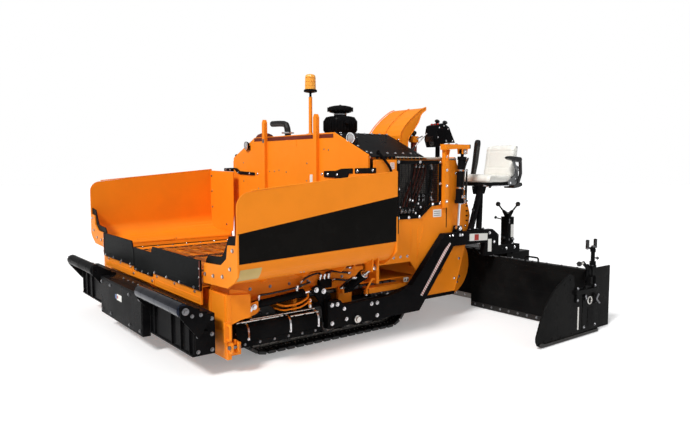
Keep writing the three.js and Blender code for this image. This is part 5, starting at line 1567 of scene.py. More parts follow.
        # pin through frame plate and arm
        work = bmesh.new()
        lathe(work, [(0, 0), (31, 0), (31, 5), (22, 8), (22, 22), (0, 22)], (1292.5, 1226, 198), (1, 0, 0),
              32, 0)
        bolt(work, (1300, 1226, 198), (1, 0, 0), 20, 0, washer=False)
        pair("*_tow_pin_cap", work, "chassis", finish("bright_steel"))
        return {"FINISHED"}


class PAVER_OT_cylinders(bpy.types.Operator):
    """Wing and lift cylinders: glands, ports, hoses and chromed rods"""

    bl_idname = "paver.cylinders"
    bl_label = "Wing and lift cylinders"

    def dress(self, base, tip, radius, start, length, ports, side_way):
        """Collars, gland and port blocks of a barrel lying from base to tip."""
        work = bmesh.new()
        a, d = Vector(base), (Vector(tip) - Vector(base)).normalized()
        for share in (0.0, 1.0):
            at = a + d * (start + (length - start - 30) * share)
            ring_tube(work, at, at + d * 30, radius + 6, radius - 1, 32, 0)
        lip = a + d * length
        ring_tube(work, lip - d * 2, lip + d * 7, radius - 4, radius * 0.56, 28, 1)
        for share in ports:
            spot = a + d * (start + (length - start) * share) + Vector(side_way) * (radius - 3)
            way = Vector(side_way)
            bar(work, spot, spot + way * 20, 12, 16, 0, 1.5)
            bar(work, spot + way * 18, spot + way * 34, 10, 6, 1, 1)
        return work, a, d

    def execute(self, context):
        base, tip = (1165, 1200, 415), (1500, 1200, 645)
        out = Vector((0, -1, 0))
        work, a, d = self.dress(base, tip, 36, 48, 290, (0.1, 0.86), out)
        p0 = a + d * 72 + out * 66
        p1 = a + d * 256 + out * 66
        hose(work, [p0, p0 + out * 22 + d * 4, p0 + out * 34 + d * 40, p1 + out * 34 - d * 40,
                    p1 + out * 22 - d * 4, p1],
             8, 2, 1)
        pair("*_wing_barrel_trim", work, "*_wing_barrel", finish("black_satin", "zinc", "hose_black"))
        work = bmesh.new()
        ring_tube(work, (1500, 1178, 645), (1500, 1182.5, 645), 25, 12.5, 28, 0)
        ring_tube(work, (1500, 1217.5, 645), (1500, 1222, 645), 25, 12.5, 28, 0)
        pair("*_wing_rod_trim", work, "*_wing_rod", finish("worn_steel"))

        top, low = Vector((1262, 2480, 1545)), Vector((1262, 2430, 850))
        work, a, d = self.dress(top, low, 36, 45, 470, (0.08, 0.92), Vector((1, 0, 0)))
        for off, reach in ((-16, 0.08), (16, 0.92)):
            start = a + d * (45 + 425 * reach) + Vector((66, 0, 0))
            points = [start, start + Vector((10, off * 0.2, 18 if off < 0 else -12)),
                      a + d * 160 + Vector((52, off, 0)), a + d * 300 + Vector((50, off, 0)),
                      a + d * 420 + Vector((48, off, 0))]
            hose(work, points, 6.5, 2, 1)
        for reach in (170, 330):
            at = a + d * reach
            ring_tube(work, at - d * 8, at + d * 8, 39, 35.5, 28, 1)
            block(work, at.x + 36, at.x + 60, at.y - 26, at.y + 26, at.z - 6, at.z + 6, 1, 1.5)
        self.lift_pair(work, "barrel_trim", "lift_barrels", finish("black_satin", "zinc", "hose_black"))
        work = bmesh.new()
        for x in (1245.5, 1274):
            ring_tube(work, (x, 2430, 850), (x + 4.5, 2430, 850), 22.5, 12.5, 28, 0)
        self.lift_pair(work, "rod_trim", "lift_rods", finish("worn_steel"))
        for side in ("left", "right"):
            for node, coat in (("wing_barrel", "black_satin"), ("wing_rod", "chrome"),
                               ("lift_barrel", "black_satin"),
                               ("lift_rod", "chrome")):
                carried(f"{side}_{node}", bpy.data.materials[coat], 0.0015)
        return {"FINISHED"}

    def lift_pair(self, work, name, body, finishes):
        right = facing_right(work)
        piece(f"left_lift_{name}", work, body, finishes)
        piece(f"right_lift_{name}", right, body, finishes)


# ------------------------------------------------------------------ body
class PAVER_OT_side_guards(bpy.types.Operator):
    """Woven wire guards in the body's side windows, with the hoses behind them"""

    bl_idname = "paver.side_guards"
    bl_label = "Side guards"

    def execute(self, context):
        outline = [(1710, 962), (1990, 962), (2130, 1062), (2250, 1069), (2250, 1468), (1710, 1468)]
        opening = [(1742, 992), (1984, 992), (2120, 1090), (2216, 1096), (2216, 1436), (1742, 1436)]
        work = bmesh.new()
        slab(work, "x", outline, 1218.4, 1224, 0, 1.2, [opening])
        for y, near, far in ((1880, 994, 994), (2066, 1056, 1070)):
            strip = [(y - 9, near), (y + 9, far), (y + 9, 1434), (y - 9, 1434)]
            slab(work, "x", strip, 1219, 1223, 0, 0.8)
        # wires: each one runs between the frame's sides
        pitch = sizes().mesh_pitch * MM
        y = 1742 + pitch
        while y < 2214:
            bottom = 992 if y < 1984 else min(1096, 992 + (y - 1984) * 0.72)
            bar(work, (1220.5, y, bottom - 6), (1220.5, y, 1442), 1.9, 6, 0, 0)
            y += pitch
        z = 992 + pitch
        while z < 1434:
            far = 2222 if z > 1096 else 1984 + (z - 992) / 0.72 + 4
            bar(work, (1222.6, 1736, z), (1222.6, far, z), 1.9, 6, 0, 0)
            z += pitch
        for y, z in ((1726, 976), (1726, 1222), (1726, 1452), (1980, 1452), (2234, 1452), (2234, 1260),
                     (2234, 1084),
                     (2140, 1080), (1976, 976), (1850, 976)):
            bolt(work, (1224, y, z), (1, 0, 0), 10, 1)
        for y, z in ((1860, 1128), (1892, 1120), (1960, 1092), (1990, 1060), (1930, 1010)):
            bolt(work, (1224, y, z), (1, 0, 0), 7, 1)
        pair("*_mesh_guard_wires", work, "chassis", finish("black_satin", "zinc"), ("*_mesh_guard",))

        # what shows through the wires: radiator core, red hoses and a tank
        work = bmesh.new()
        block(work, 1120, 1150, 1750, 2200, 1000, 1440, 0, 4)
        y = 1764
        while y < 2190:
            block(work, 1149, 1154, y, y + 3, 1010, 1430, 1, 0)
            y += 11
        for i in range(4):
            base = 1800 + i * 44
            hose(work, [(1168, base + 10, 1010), (1176, base + 40, 1120), (1178, base + 96, 1230),
                        (1172, base + 150, 1330),
                        (1162, base + 190, 1436)], 10, 2, 3)
        hose(work, [(1170, 2176, 1110), (1176, 2150, 1180), (1172, 2176, 1300), (1164, 2180, 1430)], 12, 4, 3)
        hose(work, [(1170, 1760, 1080), (1178, 1840, 1050), (1180, 1960, 1080), (1172, 2080, 1150),
                    (1166, 2190, 1180)],
             11, 4, 3)
        block(work, 1150, 1190, 1990, 2070, 1110, 1170, 5, 4)
        for y, z in ((2004, 1124), (2056, 1124), (2004, 1156), (2056, 1156)):
            bolt(work, (1190, y, z), (1, 0, 0), 8, 3)
        pair("*_cooler", work, "chassis",
             finish("engine_iron", "worn_steel", "hose_red", "zinc", "hose_black", "black_satin"))
        return {"FINISHED"}


class PAVER_OT_side_panels(bpy.types.Operator):
    """Seams, hinges, latches, slots and blank plates of the body's sides"""

    bl_idname = "paver.side_panels"
    bl_label = "Side panels"

    def execute(self, context):
        face = 1218.0
        work = bmesh.new()
        # door ahead of the window: shut line, hinges and handle
        slab(work, "x", rounded([(1474, 1090), (1694, 1090), (1694, 1452), (1474, 1452)], 12, 3),
             face - 0.3, face + 2.2, 0, 1)
        for z in (1150, 1400):
            bar(work, (face + 4, 1476, z - 26), (face + 4, 1476, z + 26), 5, 10, 0, 1)
        slab(work, "x", rounded([(1646, 1230), (1682, 1230), (1682, 1290), (1646, 1290)], 8, 3), face + 2,
             face + 9, 1, 2)
        slab(work, "x", rounded([(1644, 1296), (1684, 1296), (1684, 1366), (1644, 1366)], 4, 2), face + 2,
             face + 3.2, 2, 0.3)
        slab(work, "x", rounded([(1634, 1392), (1680, 1392), (1680, 1446), (1634, 1446)], 4, 2), face + 2,
             face + 3.2, 2, 0.3)
        slab(work, "x", [(1648, 1306), (1680, 1306), (1680, 1330), (1648, 1330)], face + 3, face + 3.8, 3, 0)
        for z in (1402, 1418, 1434):
            slab(work, "x", [(1640, z - 3), (1674, z - 3), (1674, z + 3), (1640, z + 3)], face + 3,
                 face + 3.7, 4, 0)
        # lower recess: a dark sloping fold from the window's corner
        slab(work, "x", [(1880, 958), (1898, 958), (1900, 600), (1884, 596)], face - 0.3, face + 2, 0, 0.8)
        slab(work, "x", rounded([(1960, 250), (2030, 250), (2400, 690), (2400, 1000), (2030, 950),
                                 (1960, 860)], 20, 3),
             face - 0.3, face + 2.4, 0, 1)
        slab(work, "x", [(2030, 900), (2046, 900), (1964, 600), (1950, 600)], face + 2, face + 4, 0, 0.6)
        slab(work, "x", rounded([(2150, 962), (2256, 962), (2256, 1030), (2150, 1030)], 5, 2), face + 2,
             face + 3.4, 2, 0.3)
        for z in (976, 994, 1012):
            slab(work, "x", [(2160, z - 2), (2246, z - 2), (2246, z + 4), (2160, z + 4)], face + 3.2,
                 face + 3.9, 6, 0)
        # long slot beside the lift cylinder, and the rear edge's slots
        slab(work, "x", rounded([(2318, 860), (2328, 860), (2328, 1040), (2318, 1040)], 4, 2), face,
             face + 3.6, 5, 0.3)
        for i in range(5):
            z = 900 + i * 46
            slab(work, "x", rounded([(2588, z), (2618, z), (2618, z + 14), (2588, z + 14)], 5, 2),
                 face - 0.4, face + 1.6, 5, 0.3)
        # rear edge: folded flange with bolts
        edge = [(2440, 232), (2598, 700), (2648, 960), (2530, 1288), (2442, 1466)]
        path = corner_path([(face - 4, y - 3, z) for y, z in edge], 40, 5)
        pipe(work, path, 6, 8, 0)
        for y, z in ((2470, 380), (2530, 560), (2590, 740), (2612, 860), (2590, 1080), (2540, 1210),
                     (2470, 1350)):
            bolt(work, (face, y - 26, z), (1, 0, 0), 9, 1)
        for y in (1520, 1600, 1680, 1760, 1840):
            bolt(work, (face, y, 640), (1, 0, 0), 9, 1)
        bead(work, (face, 1462, 600), (face, 1462, 1460), 2.5, 0)
        # black wheel-arch edge along the bottom
        slab(work, "x", rounded([(1952, 232), (2440, 232), (2450, 262), (1952, 262)], 5, 2), face - 0.2,
             face + 4, 5, 1)
        # bent black handle at the front corner
        grip = corner_path([(1224, 1500, 1528), (1240, 1520, 1500), (1250, 1600, 1412), (1250, 1622, 1368),
                            (1222, 1622, 1350)],
                           30, 6)
        pipe(work, grip, 11, 14, 5)
        for p in (grip[0], grip[-1]):
            lathe(work, [(0, 0), (20, 0), (20, 5), (0, 5)], (1218, p.y, p.z), (1, 0, 0), 20, 5)
        pair("*_side_panel_trim", work, "chassis",
             finish("orange_gloss", "zinc", "plate_white", "plate_blue", "plate_red", "black_satin",
                    "dark_zinc"))

        # lift post: end cap, gusset, seams and bolts
        work = bmesh.new()
        slab(work, "y", rounded([(1216, 1566), (1298, 1574), (1298, 1612), (1216, 1612)], 8, 3), 2540, 2552,
             1, 2)
        slab(work, "y", rounded([(1259, 1460), (1262, 1460), (1290, 1560), (1259, 1560)], 2, 1), 2280, 2288,
             0, 1)
        bead(work, (1258, 2258, 1060), (1258, 2258, 1556), 3, 0)
        for z in (1100, 1240, 1380, 1500):
            bolt(work, (1258, 2283, z), (1, 0, 0), 10, 2)
        bolt(work, (1293, 2480, 1545), (1, 0, 0), 15, 2)
        lathe(work, [(0, 0), (24, 0), (24, 3), (0, 3)], (1293, 2480, 1545), (1, 0, 0), 24, 1)
        for y in (2300, 2400):
            bolt(work, (1260, y, 1612), (0, 0, 1), 9, 2)
        pair("*_lift_post_trim", work, "chassis", finish("orange_gloss", "black_satin", "zinc"))

        # auger plate: brackets, ribs, rim and bolts in the shadow behind the body; the red-brown brackets are
        # painted shade
        work = bmesh.new()
        face = 1002.0
        ring = arc(2600, 450, 284, -86, 86, 30)
        path = [(face - 4, y, z) for y, z in ring]
        sweep(work, path, [(-3, -7), (3, -7), (3, 7), (-3, 7)], 0)
        for outline in ([(2470, 520), (2660, 560), (2670, 600), (2600, 612), (2580, 580), (2470, 566)],
                        [(2470, 330), (2560, 350), (2560, 396), (2470, 380)],
                        [(2620, 400), (2700, 470), (2716, 430), (2660, 370)],
                        [(2480, 430), (2580, 446), (2576, 480), (2480, 470)]):
            slab(work, "x", rounded(outline, 10, 3), face - 0.5, face + 9, 1, 1.5)
        for y, z in ((2500, 540), (2560, 556), (2640, 590), (2500, 350), (2540, 372), (2650, 420),
                     (2700, 450)):
            bolt(work, (face + 9, y, z), (1, 0, 0), 9, 2)
        for k in range(6):
            a = math.tau * k / 6
            bolt(work, (face, 2700 + 58 * math.cos(a), 330 + 58 * math.sin(a)), (1, 0, 0), 9, 2)
        ring_tube(work, (face - 1, 2700, 330), (face + 10, 2700, 330), 42, 23, 32, 3)
        slab(work, "x", rounded([(2474, 170), (2620, 170), (2700, 196), (2690, 214), (2612, 190),
                                 (2474, 190)], 5, 2),
             face - 8, face + 6, 3, 1)
        pair("*_auger_plate_trim", work, "chassis",
             finish("orange_gloss", "red_brown", "zinc", "black_satin"))
        for side in ("left", "right"):
            for node in ("side_panel", "lift_post", "auger_plate"):
                carried(f"{side}_{node}", bpy.data.materials["orange_gloss"], 0.0025)
        return {"FINISHED"}


class PAVER_OT_hood(bpy.types.Operator):
    """Engine hood's joints, louvres, latches, slanting cover and work lamps"""

    bl_idname = "paver.hood"
    bl_label = "Engine hood"

    def lamp(self, work, centre, facing, radius, shell_finish, lens_finish, ring_finish):
        """A round work lamp: bowl, rim, ribbed lens and stirrup."""
        profile = [(0, -radius * 0.9), (radius * 0.4, -radius * 0.86), (radius * 0.82, -radius * 0.5),
                   (radius, -4),
                   (radius, 6), (radius * 0.9, 6), (0, 3)]
        lathe(work, profile, centre, facing, 32, shell_finish)
        d = Vector(facing).normalized()
        ring_tube(work, Vector(centre) + d * 2, Vector(centre) + d * 9, radius * 1.02, radius * 0.86, 32,
                  ring_finish)
        lathe(work, [(0, 3.5), (radius * 0.87, 3.5), (radius * 0.7, 8), (radius * 0.35, 11), (0, 12)],
              centre, facing, 32, lens_finish)
        side, _ = across(d)
        foot = Vector(centre) - d * radius * 0.45
        points = [foot + side * (radius + 5), foot + side * (radius + 5) + Vector((0, 0, -radius * 1.1)),
                  foot - side * (radius + 5) + Vector((0, 0, -radius * 1.1)), foot - side * (radius + 5)]
        pipe(work, corner_path(points, 8, 3), 4, 8, shell_finish)
        for s in (-1, 1):
            bolt(work, foot + side * s * (radius + 2), side * s, 6, ring_finish, washer=False)

    def execute(self, context):
        work = bmesh.new()
        top = 1708.0
        # panel joints, side latches and rows of bolts on the flat top
        for x in (-470, 0, 470):
            block(work, x - 3, x + 3, 1470, 2060, top - 0.5, top + 2.5, 0, 0.8)
        for y in (1500, 1760, 2040):
            for x in (-640, -320, 160, 640):
                bolt(work, (x, y, top), (0, 0, 1), 9, 1)
        # raised louvres
        for i in range(9):
            y = 1560 + i * 46
            slab(work, "x", [(y, top), (y + 30, top), (y + 30, top + 14), (y + 24, top + 16)], -240, 120, 0,
                 1.5)
        slab(work, "z", rounded([(520, 1560), (660, 1560), (660, 1980), (520, 1980)], 14, 3), top, top + 6,
             0, 2)
        bar(work, (540, 1770, top + 4), (640, 1770, top + 4), 7, 12, 2, 2)
        # slanting sides: latches
        out = Vector((0.403, 0, 0.915))
        for s in (-1, 1):
            for y in (1640, 1860, 2030):
                spot = Vector((s * 900, y, 1620 + 3))
                lathe(work, [(0, 0), (16, 0), (16, 5), (10, 9), (0, 9)], spot, (s * out.x, 0, out.z), 20, 2)
        piece("engine_hood_trim", work, "chassis", finish("orange_gloss", "zinc", "black_satin"))
        carried("engine_hood", bpy.data.materials["orange_gloss"], 0.003)

        # black slanting cover over the left shoulder, with a row of bolts and a lamp
        work = bmesh.new()
        points = []
        for rise in (2, 9):
            for y in (1448, 2052):
                for x, z in ((712, 1704), (1172, 1501), (1206, 1484)):
                    points.append((x + out.x * rise, y, z + out.z * rise))
        faces = [(0, 1, 4, 3), (1, 2, 5, 4), (6, 9, 10, 7), (7, 10, 11, 8), (0, 6, 7, 1), (1, 7, 8, 2),
                 (3, 4, 10, 9), (4, 5, 11, 10), (0, 3, 9, 6), (2, 8, 11, 5)]
        soften(work, shell(work, points, faces, 0), 3, 3)
        for i in range(7):
            t = i / 6
            for x, z, y in ((740, 1697, 1480 + 540 * t), (1150, 1516, 1480 + 540 * t)):
                bolt(work, (x + out.x * 10, y, z + out.z * 10), out, 8, 1)
        for i in range(4):
            t = (i + 0.5) / 4
            x, z = 712 + 460 * t, 1704 - 203 * t
            bolt(work, (x + out.x * 10, 1464, z + out.z * 10), out, 8, 1)
        # ribbed grip strip along its lower edge
        for i in range(12):
            y = 1490 + i * 46
            slab(work, "x", rounded([(y, 1478), (y + 26, 1478), (y + 22, 1500), (y + 4, 1500)], 3, 1), 1199,
                 1212, 0, 1)
        self.lamp(work, (922, 1452, 1655), (0.2, -1, -0.1), 46, 0, 2, 3)
        bar(work, (922, 1492, 1600), (922, 1486, 1650), 8, 12, 0, 1)
        piece("left_shoulder_cover", work, "chassis",
              finish("black_satin", "zinc", "clear_lens", "reflector"))

        work = bmesh.new()
        self.lamp(work, (-832, 1412, 1632), (-0.1, -1, -0.05), 44, 0, 1, 2)
        bar(work, (-832, 1450, 1560), (-832, 1440, 1620), 8, 12, 0, 1)
        # red-brown dome on the hood top: painted shade of an orange bulge
        lathe(work, [(0, 60), (40, 56), (78, 40), (96, 16), (100, 0), (0, 0)], (-690, 1560, 1706),
              (0, 0, 1), 32, 3)
        for i in range(6):
            bolt(work, (-1150 + 76 * i, 1500 + 6 * i, 1516 + 34 * i), (-out.x, 0, out.z), 8, 4)
        piece("right_shoulder_fittings", work, "chassis",
              finish("black_satin", "clear_lens", "reflector", "red_brown", "zinc"))
        return {"FINISHED"}


class PAVER_OT_operator_deck(bpy.types.Operator):
    """Deck tread, rear wall doors, console hood, dash box with its knobs and levers"""

    bl_idname = "paver.operator_deck"
    bl_label = "Operator deck"

    def execute(self, context):
        top = 1488.0
        work = bmesh.new()
        # raised tread bars and edge
        for i in range(25):
            x = -1150 + i * 60
            for j in range(5):
                y = 2110 + j * 66
                slant = 1 if (i + j) % 2 else -1
                outline = [(x - 17, y - slant * 9 - 3), (x + 17, y + slant * 9 - 3),
                           (x + 17, y + slant * 9 + 3),
                           (x - 17, y - slant * 9 + 3)]
                slab(work, "z", outline, top - 0.5, top + 2.6, 0, 0.8)
        edge = [(-1196, 2086), (-1196, 2456), (1196, 2456)]
        pipe(work, [(x, y, top + 3) for x, y in edge], 6, 8, 1)
        # rail post stubs
        for x in (-1100, -500, 100):
            lathe(work, [(0, 0), (34, 0), (34, 6), (18, 8), (16, 40), (0, 40)], (x, 2400, top), (0, 0, 1),
                  20, 2)
        # rear wall: two doors with hinges, latches, louvres and blank plate
        for x0, x1 in ((-1140, -60), (60, 1140)):
            slab(work, "y", rounded([(x0, 985), (x1, 985), (x1, 1450), (x0, 1450)], 16, 3), 2461, 2467, 1, 2)
            for z in (1060, 1370):
                bar(work, (x0 + 6, 2470, z - 30), (x0 + 6, 2470, z + 30), 7, 12, 2, 1)
            slab(work, "y", rounded([(x1 - 90, 1190), (x1 - 40, 1190), (x1 - 40, 1260), (x1 - 90, 1260)], 8,
                                    3), 2466, 2476, 2, 2)
            for i in range(8):
                z = 1060 + i * 24
                slab(work, "x", [(2466, z), (2466, z + 16), (2474, z + 3)], x0 + 260, x1 - 300, 1, 1)
        slab(work, "y", rounded([(-900, 1340), (-700, 1340), (-700, 1410), (-900, 1410)], 6, 2), 2466, 2468,
             3, 0.4)
        for x in range(-1150, 1151, 230):
            for z in (975, 1464):
                bolt(work, (x, 2462, z), (0, 1, 0), 9, 4)
        for s in (-1, 1):
            lathe(work, [(0, 0), (42, 0), (42, 16), (34, 22), (0, 24)], (s * 1080, 2462, 780), (0, 1, 0),
                  28, 5)
            ring_tube(work, (s * 1080, 2460, 780), (s * 1080, 2480, 780), 48, 40, 28, 2)
        piece("operator_deck_trim", work, "chassis",
              finish("deck_plate", "orange_gloss", "black_satin", "plate_white", "zinc", "red_lens"))
        # the deck's pale finish is a painted highlight
        carried("operator_deck", bpy.data.materials["deck_plate"], 0.002)

        # pale strip along the deck's outer edges, over the side guards: painted highlight
        for a in (-1, 1):
            x0, x1 = sorted((a * 1120, a * 1219))
            work = bmesh.new()
            slab(work, "z", rounded([(x0, 1700), (x1, 1700), (x1, 2300), (x0, 2300)], 8, 3), 1489, 1494, 0,
                 1.5)
            for y in (1740, 2000, 2260):
                bolt(work, (a * 1190, y, 1494), (0, 0, 1), 8, 1)
            piece(f"deck_edge_{'left' if a > 0 else 'right'}", work, "chassis", finish("deck_plate", "zinc"))

        # console visor: edge beads, side joint, cross bolts, gauges on the open rear
        low, high = span("console_hood")
        work = bmesh.new()
        front = [(2125, 1500), (2120, 1700), (2145, 1752), (2189, 1803), (2279, 1882), (2385, 1952),
                 (2452, 1978)]
        inside = [(2452, 1950), (2392, 1906), (2352, 1826), (2274, 1732), (2222, 1664), (2208, 1500)]
        for x in (low.x, high.x):
            pipe(work, smooth_path([(x, y, z) for y, z in front], 4), 5, 8, 0)
            pipe(work, smooth_path([(x, y, z) for y, z in inside], 4), 4, 8, 0)
        slab(work, "x", [(2140, 1510), (2138, 1700), (2160, 1745), (2203, 1792), (2290, 1864), (2360, 1905),
                         (2330, 1826),
                         (2256, 1734), (2200, 1660), (2190, 1510)], high.x, high.x + 2.5, 0, 1)
        for x in (low.x + 30, (low.x + high.x) / 2, high.x - 30):
            for y, z in ((2124, 1540), (2121, 1660)):
                bolt(work, (x, y, z), (0, -1, 0), 8, 3)
        pipe(work, smooth_path([(low.x + 225, y - 1, z) for y, z in front], 4), 3, 8, 0)
        # gauge board under the visor with its dials and switches
        board = [(2236, 1540), (2236, 1650), (2300, 1735), (2308, 1729), (2244, 1642), (2244, 1540)]
        slab(work, "x", board, low.x + 20, high.x - 20, 1, 2)
        slope = Vector((0, 0.8, -0.6)).normalized()
        for x, r in ((450, 32), (540, 32), (630, 32), (720, 26)):
            ring_tube(work, Vector((x, 2276, 1694)), Vector((x, 2276, 1694)) + slope * 12, r, r - 5, 28, 3)
            lathe(work, [(0, 0), (r - 4, 0), (r - 8, 4), (0, 5)], Vector((x, 2277, 1693)), slope, 28, 4)
        for i in range(9):
            bar(work, (430 + i * 36, 2244, 1600), (430 + i * 36, 2266, 1606), 5, 10, 3, 1)
        # small box with a round knob beside the visor, on its pedestal painted red-brown as shade
        block(work, 752, 812, 2296, 2368, 1640, 1700, 0, 5)
        block(work, 764, 802, 2306, 2356, 1490, 1641, 2, 4)
        lathe(work, [(0, 0), (16, 0), (14, 10), (24, 18), (29, 32), (24, 46), (10, 54), (0, 55)],
              (782, 2330, 1699),
              (0, 0, 1), 28, 1)
        bar(work, (812, 2340, 1672), (830, 2400, 1700), 7, 12, 3, 1)
        # red-brown strip across the console's front: painted shade
        slab(work, "y", rounded([(low.x + 30, 1560), (high.x - 120, 1560), (high.x - 120, 1600),
                                 (low.x + 30, 1600)], 8, 3),
             2119, 2124, 2, 1)
        piece("console_trim", work, "chassis",
              finish("orange_gloss", "knob_black", "red_brown", "zinc", "plate_white"))
        carried("console_hood", bpy.data.materials["orange_gloss"], 0.003)

        # dash box: face plates, knobs, lever and cable boot
        low, high = span("dash_box")
        work = bmesh.new()
        x0, x1 = low.x, high.x
        for x, a in ((x0, -1), (x1, 1)):
            outline = [(2326, 1670), (2348, 1780), (2426, 1803), (2488, 1772), (2564, 1640), (2456, 1638),
                       (2352, 1600)]
            slab(work, "x", rounded(outline, 10, 3), min(x, x + 3 * a), max(x, x + 3 * a), 0, 1.2)
            for y, z in ((2346, 1680), (2362, 1768), (2424, 1788), (2478, 1760), (2540, 1650), (2456, 1650)):
                bolt(work, (x + 3 * a, y, z), (a, 0, 0), 6, 1)
        for x, y, z in ((x0 + 40, 2440, 1806), (x0 + 112, 2468, 1792)):
            lathe(work, [(0, 0), (12, 0), (10, 12), (14, 18), (23, 25), (25, 34), (18, 44), (0, 48)],
                  (x, y, z),
                  (0, 0.4, 0.9), 24, 2)
        for i in range(3):
            lathe(work, [(0, 0), (10, 0), (9, 10), (0, 12)], (x0 + 35 + i * 40, 2385, 1800), (0, -0.3, 1),
                  16, 3)
        bar(work, (x0 + 30, 2330, 1720), (x0 - 46, 2250, 1600), 6, 12, 1, 1)
        bar(work, (x0 - 46, 2250, 1600), (x0 - 66, 2226, 1560), 10, 12, 2, 3)
        lathe(work, [(0, 0), (28, 0), (30, 8), (22, 14), (28, 22), (20, 28), (24, 36), (16, 44), (0, 46)],
              (x1 - 60, 2352, 1640), (0, -0.8, -0.4), 20, 2)
        slab(work, "y", rounded([(x0 + 24, 1640), (x1 - 24, 1640), (x1 - 24, 1690), (x0 + 24, 1690)], 8, 3),
             2312, 2318, 2, 1)
        piece("dash_trim", work, "chassis", finish("black_satin", "zinc", "knob_black", "plate_red",
                                                   "plate_white"))
        carried("dash_box", bpy.data.materials["black_satin"], 0.006)
        return {"FINISHED"}


class PAVER_OT_engine(bpy.types.Operator):
    """Engine block, and the tunnel's seams and mouth seen from behind"""

    bl_idname = "paver.engine"
    bl_label = "Engine and tunnel"

    def execute(self, context):
        low, high = span("engine_block")
        work = bmesh.new()
        for i in range(5):
            y = low.y + 40 + i * (high.y - low.y - 120) / 4
            lathe(work, [(0, 0), (44, 0), (44, 10), (36, 26), (0, 26)], ((low.x + high.x) / 2, y, high.z),
                  (0, 0, 1), 24, 0)
        for s, x in ((-1, low.x), (1, high.x)):
            for i in range(6):
                y = low.y + 40 + i * (high.y - low.y - 80) / 5
                bolt(work, (x, y, low.z + 60), (s, 0, 0), 13, 1)
        piece("engine_trim", work, "chassis", finish("engine_iron", "zinc"))
        carried("engine_block", bpy.data.materials["engine_iron"], 0.012)

        low, high = span("conveyor_tunnel")
        work = bmesh.new()
        for s in (-1, 1):
            outer = s * high.x
            for y in (1600, 1900, 2200):
                slab(work, "y", [(outer, 610), (outer + s * 16, 610), (outer + s * 16, 940), (outer, 950)],
                     y - 4, y + 4, 0, 1)
            bead(work, (outer, low.y + 10, high.z - 4), (outer, high.y - 10, high.z - 4), 3, 0)
        for i in range(10):
            bolt(work, (-690 + i * 153, high.y, high.z - 6), (0, 1, 0), 9, 1)
        piece("tunnel_trim", work, "chassis", finish("black_satin", "zinc"))
        carried("conveyor_tunnel", bpy.data.materials["black_satin"], 0.002)
        return {"FINISHED"}


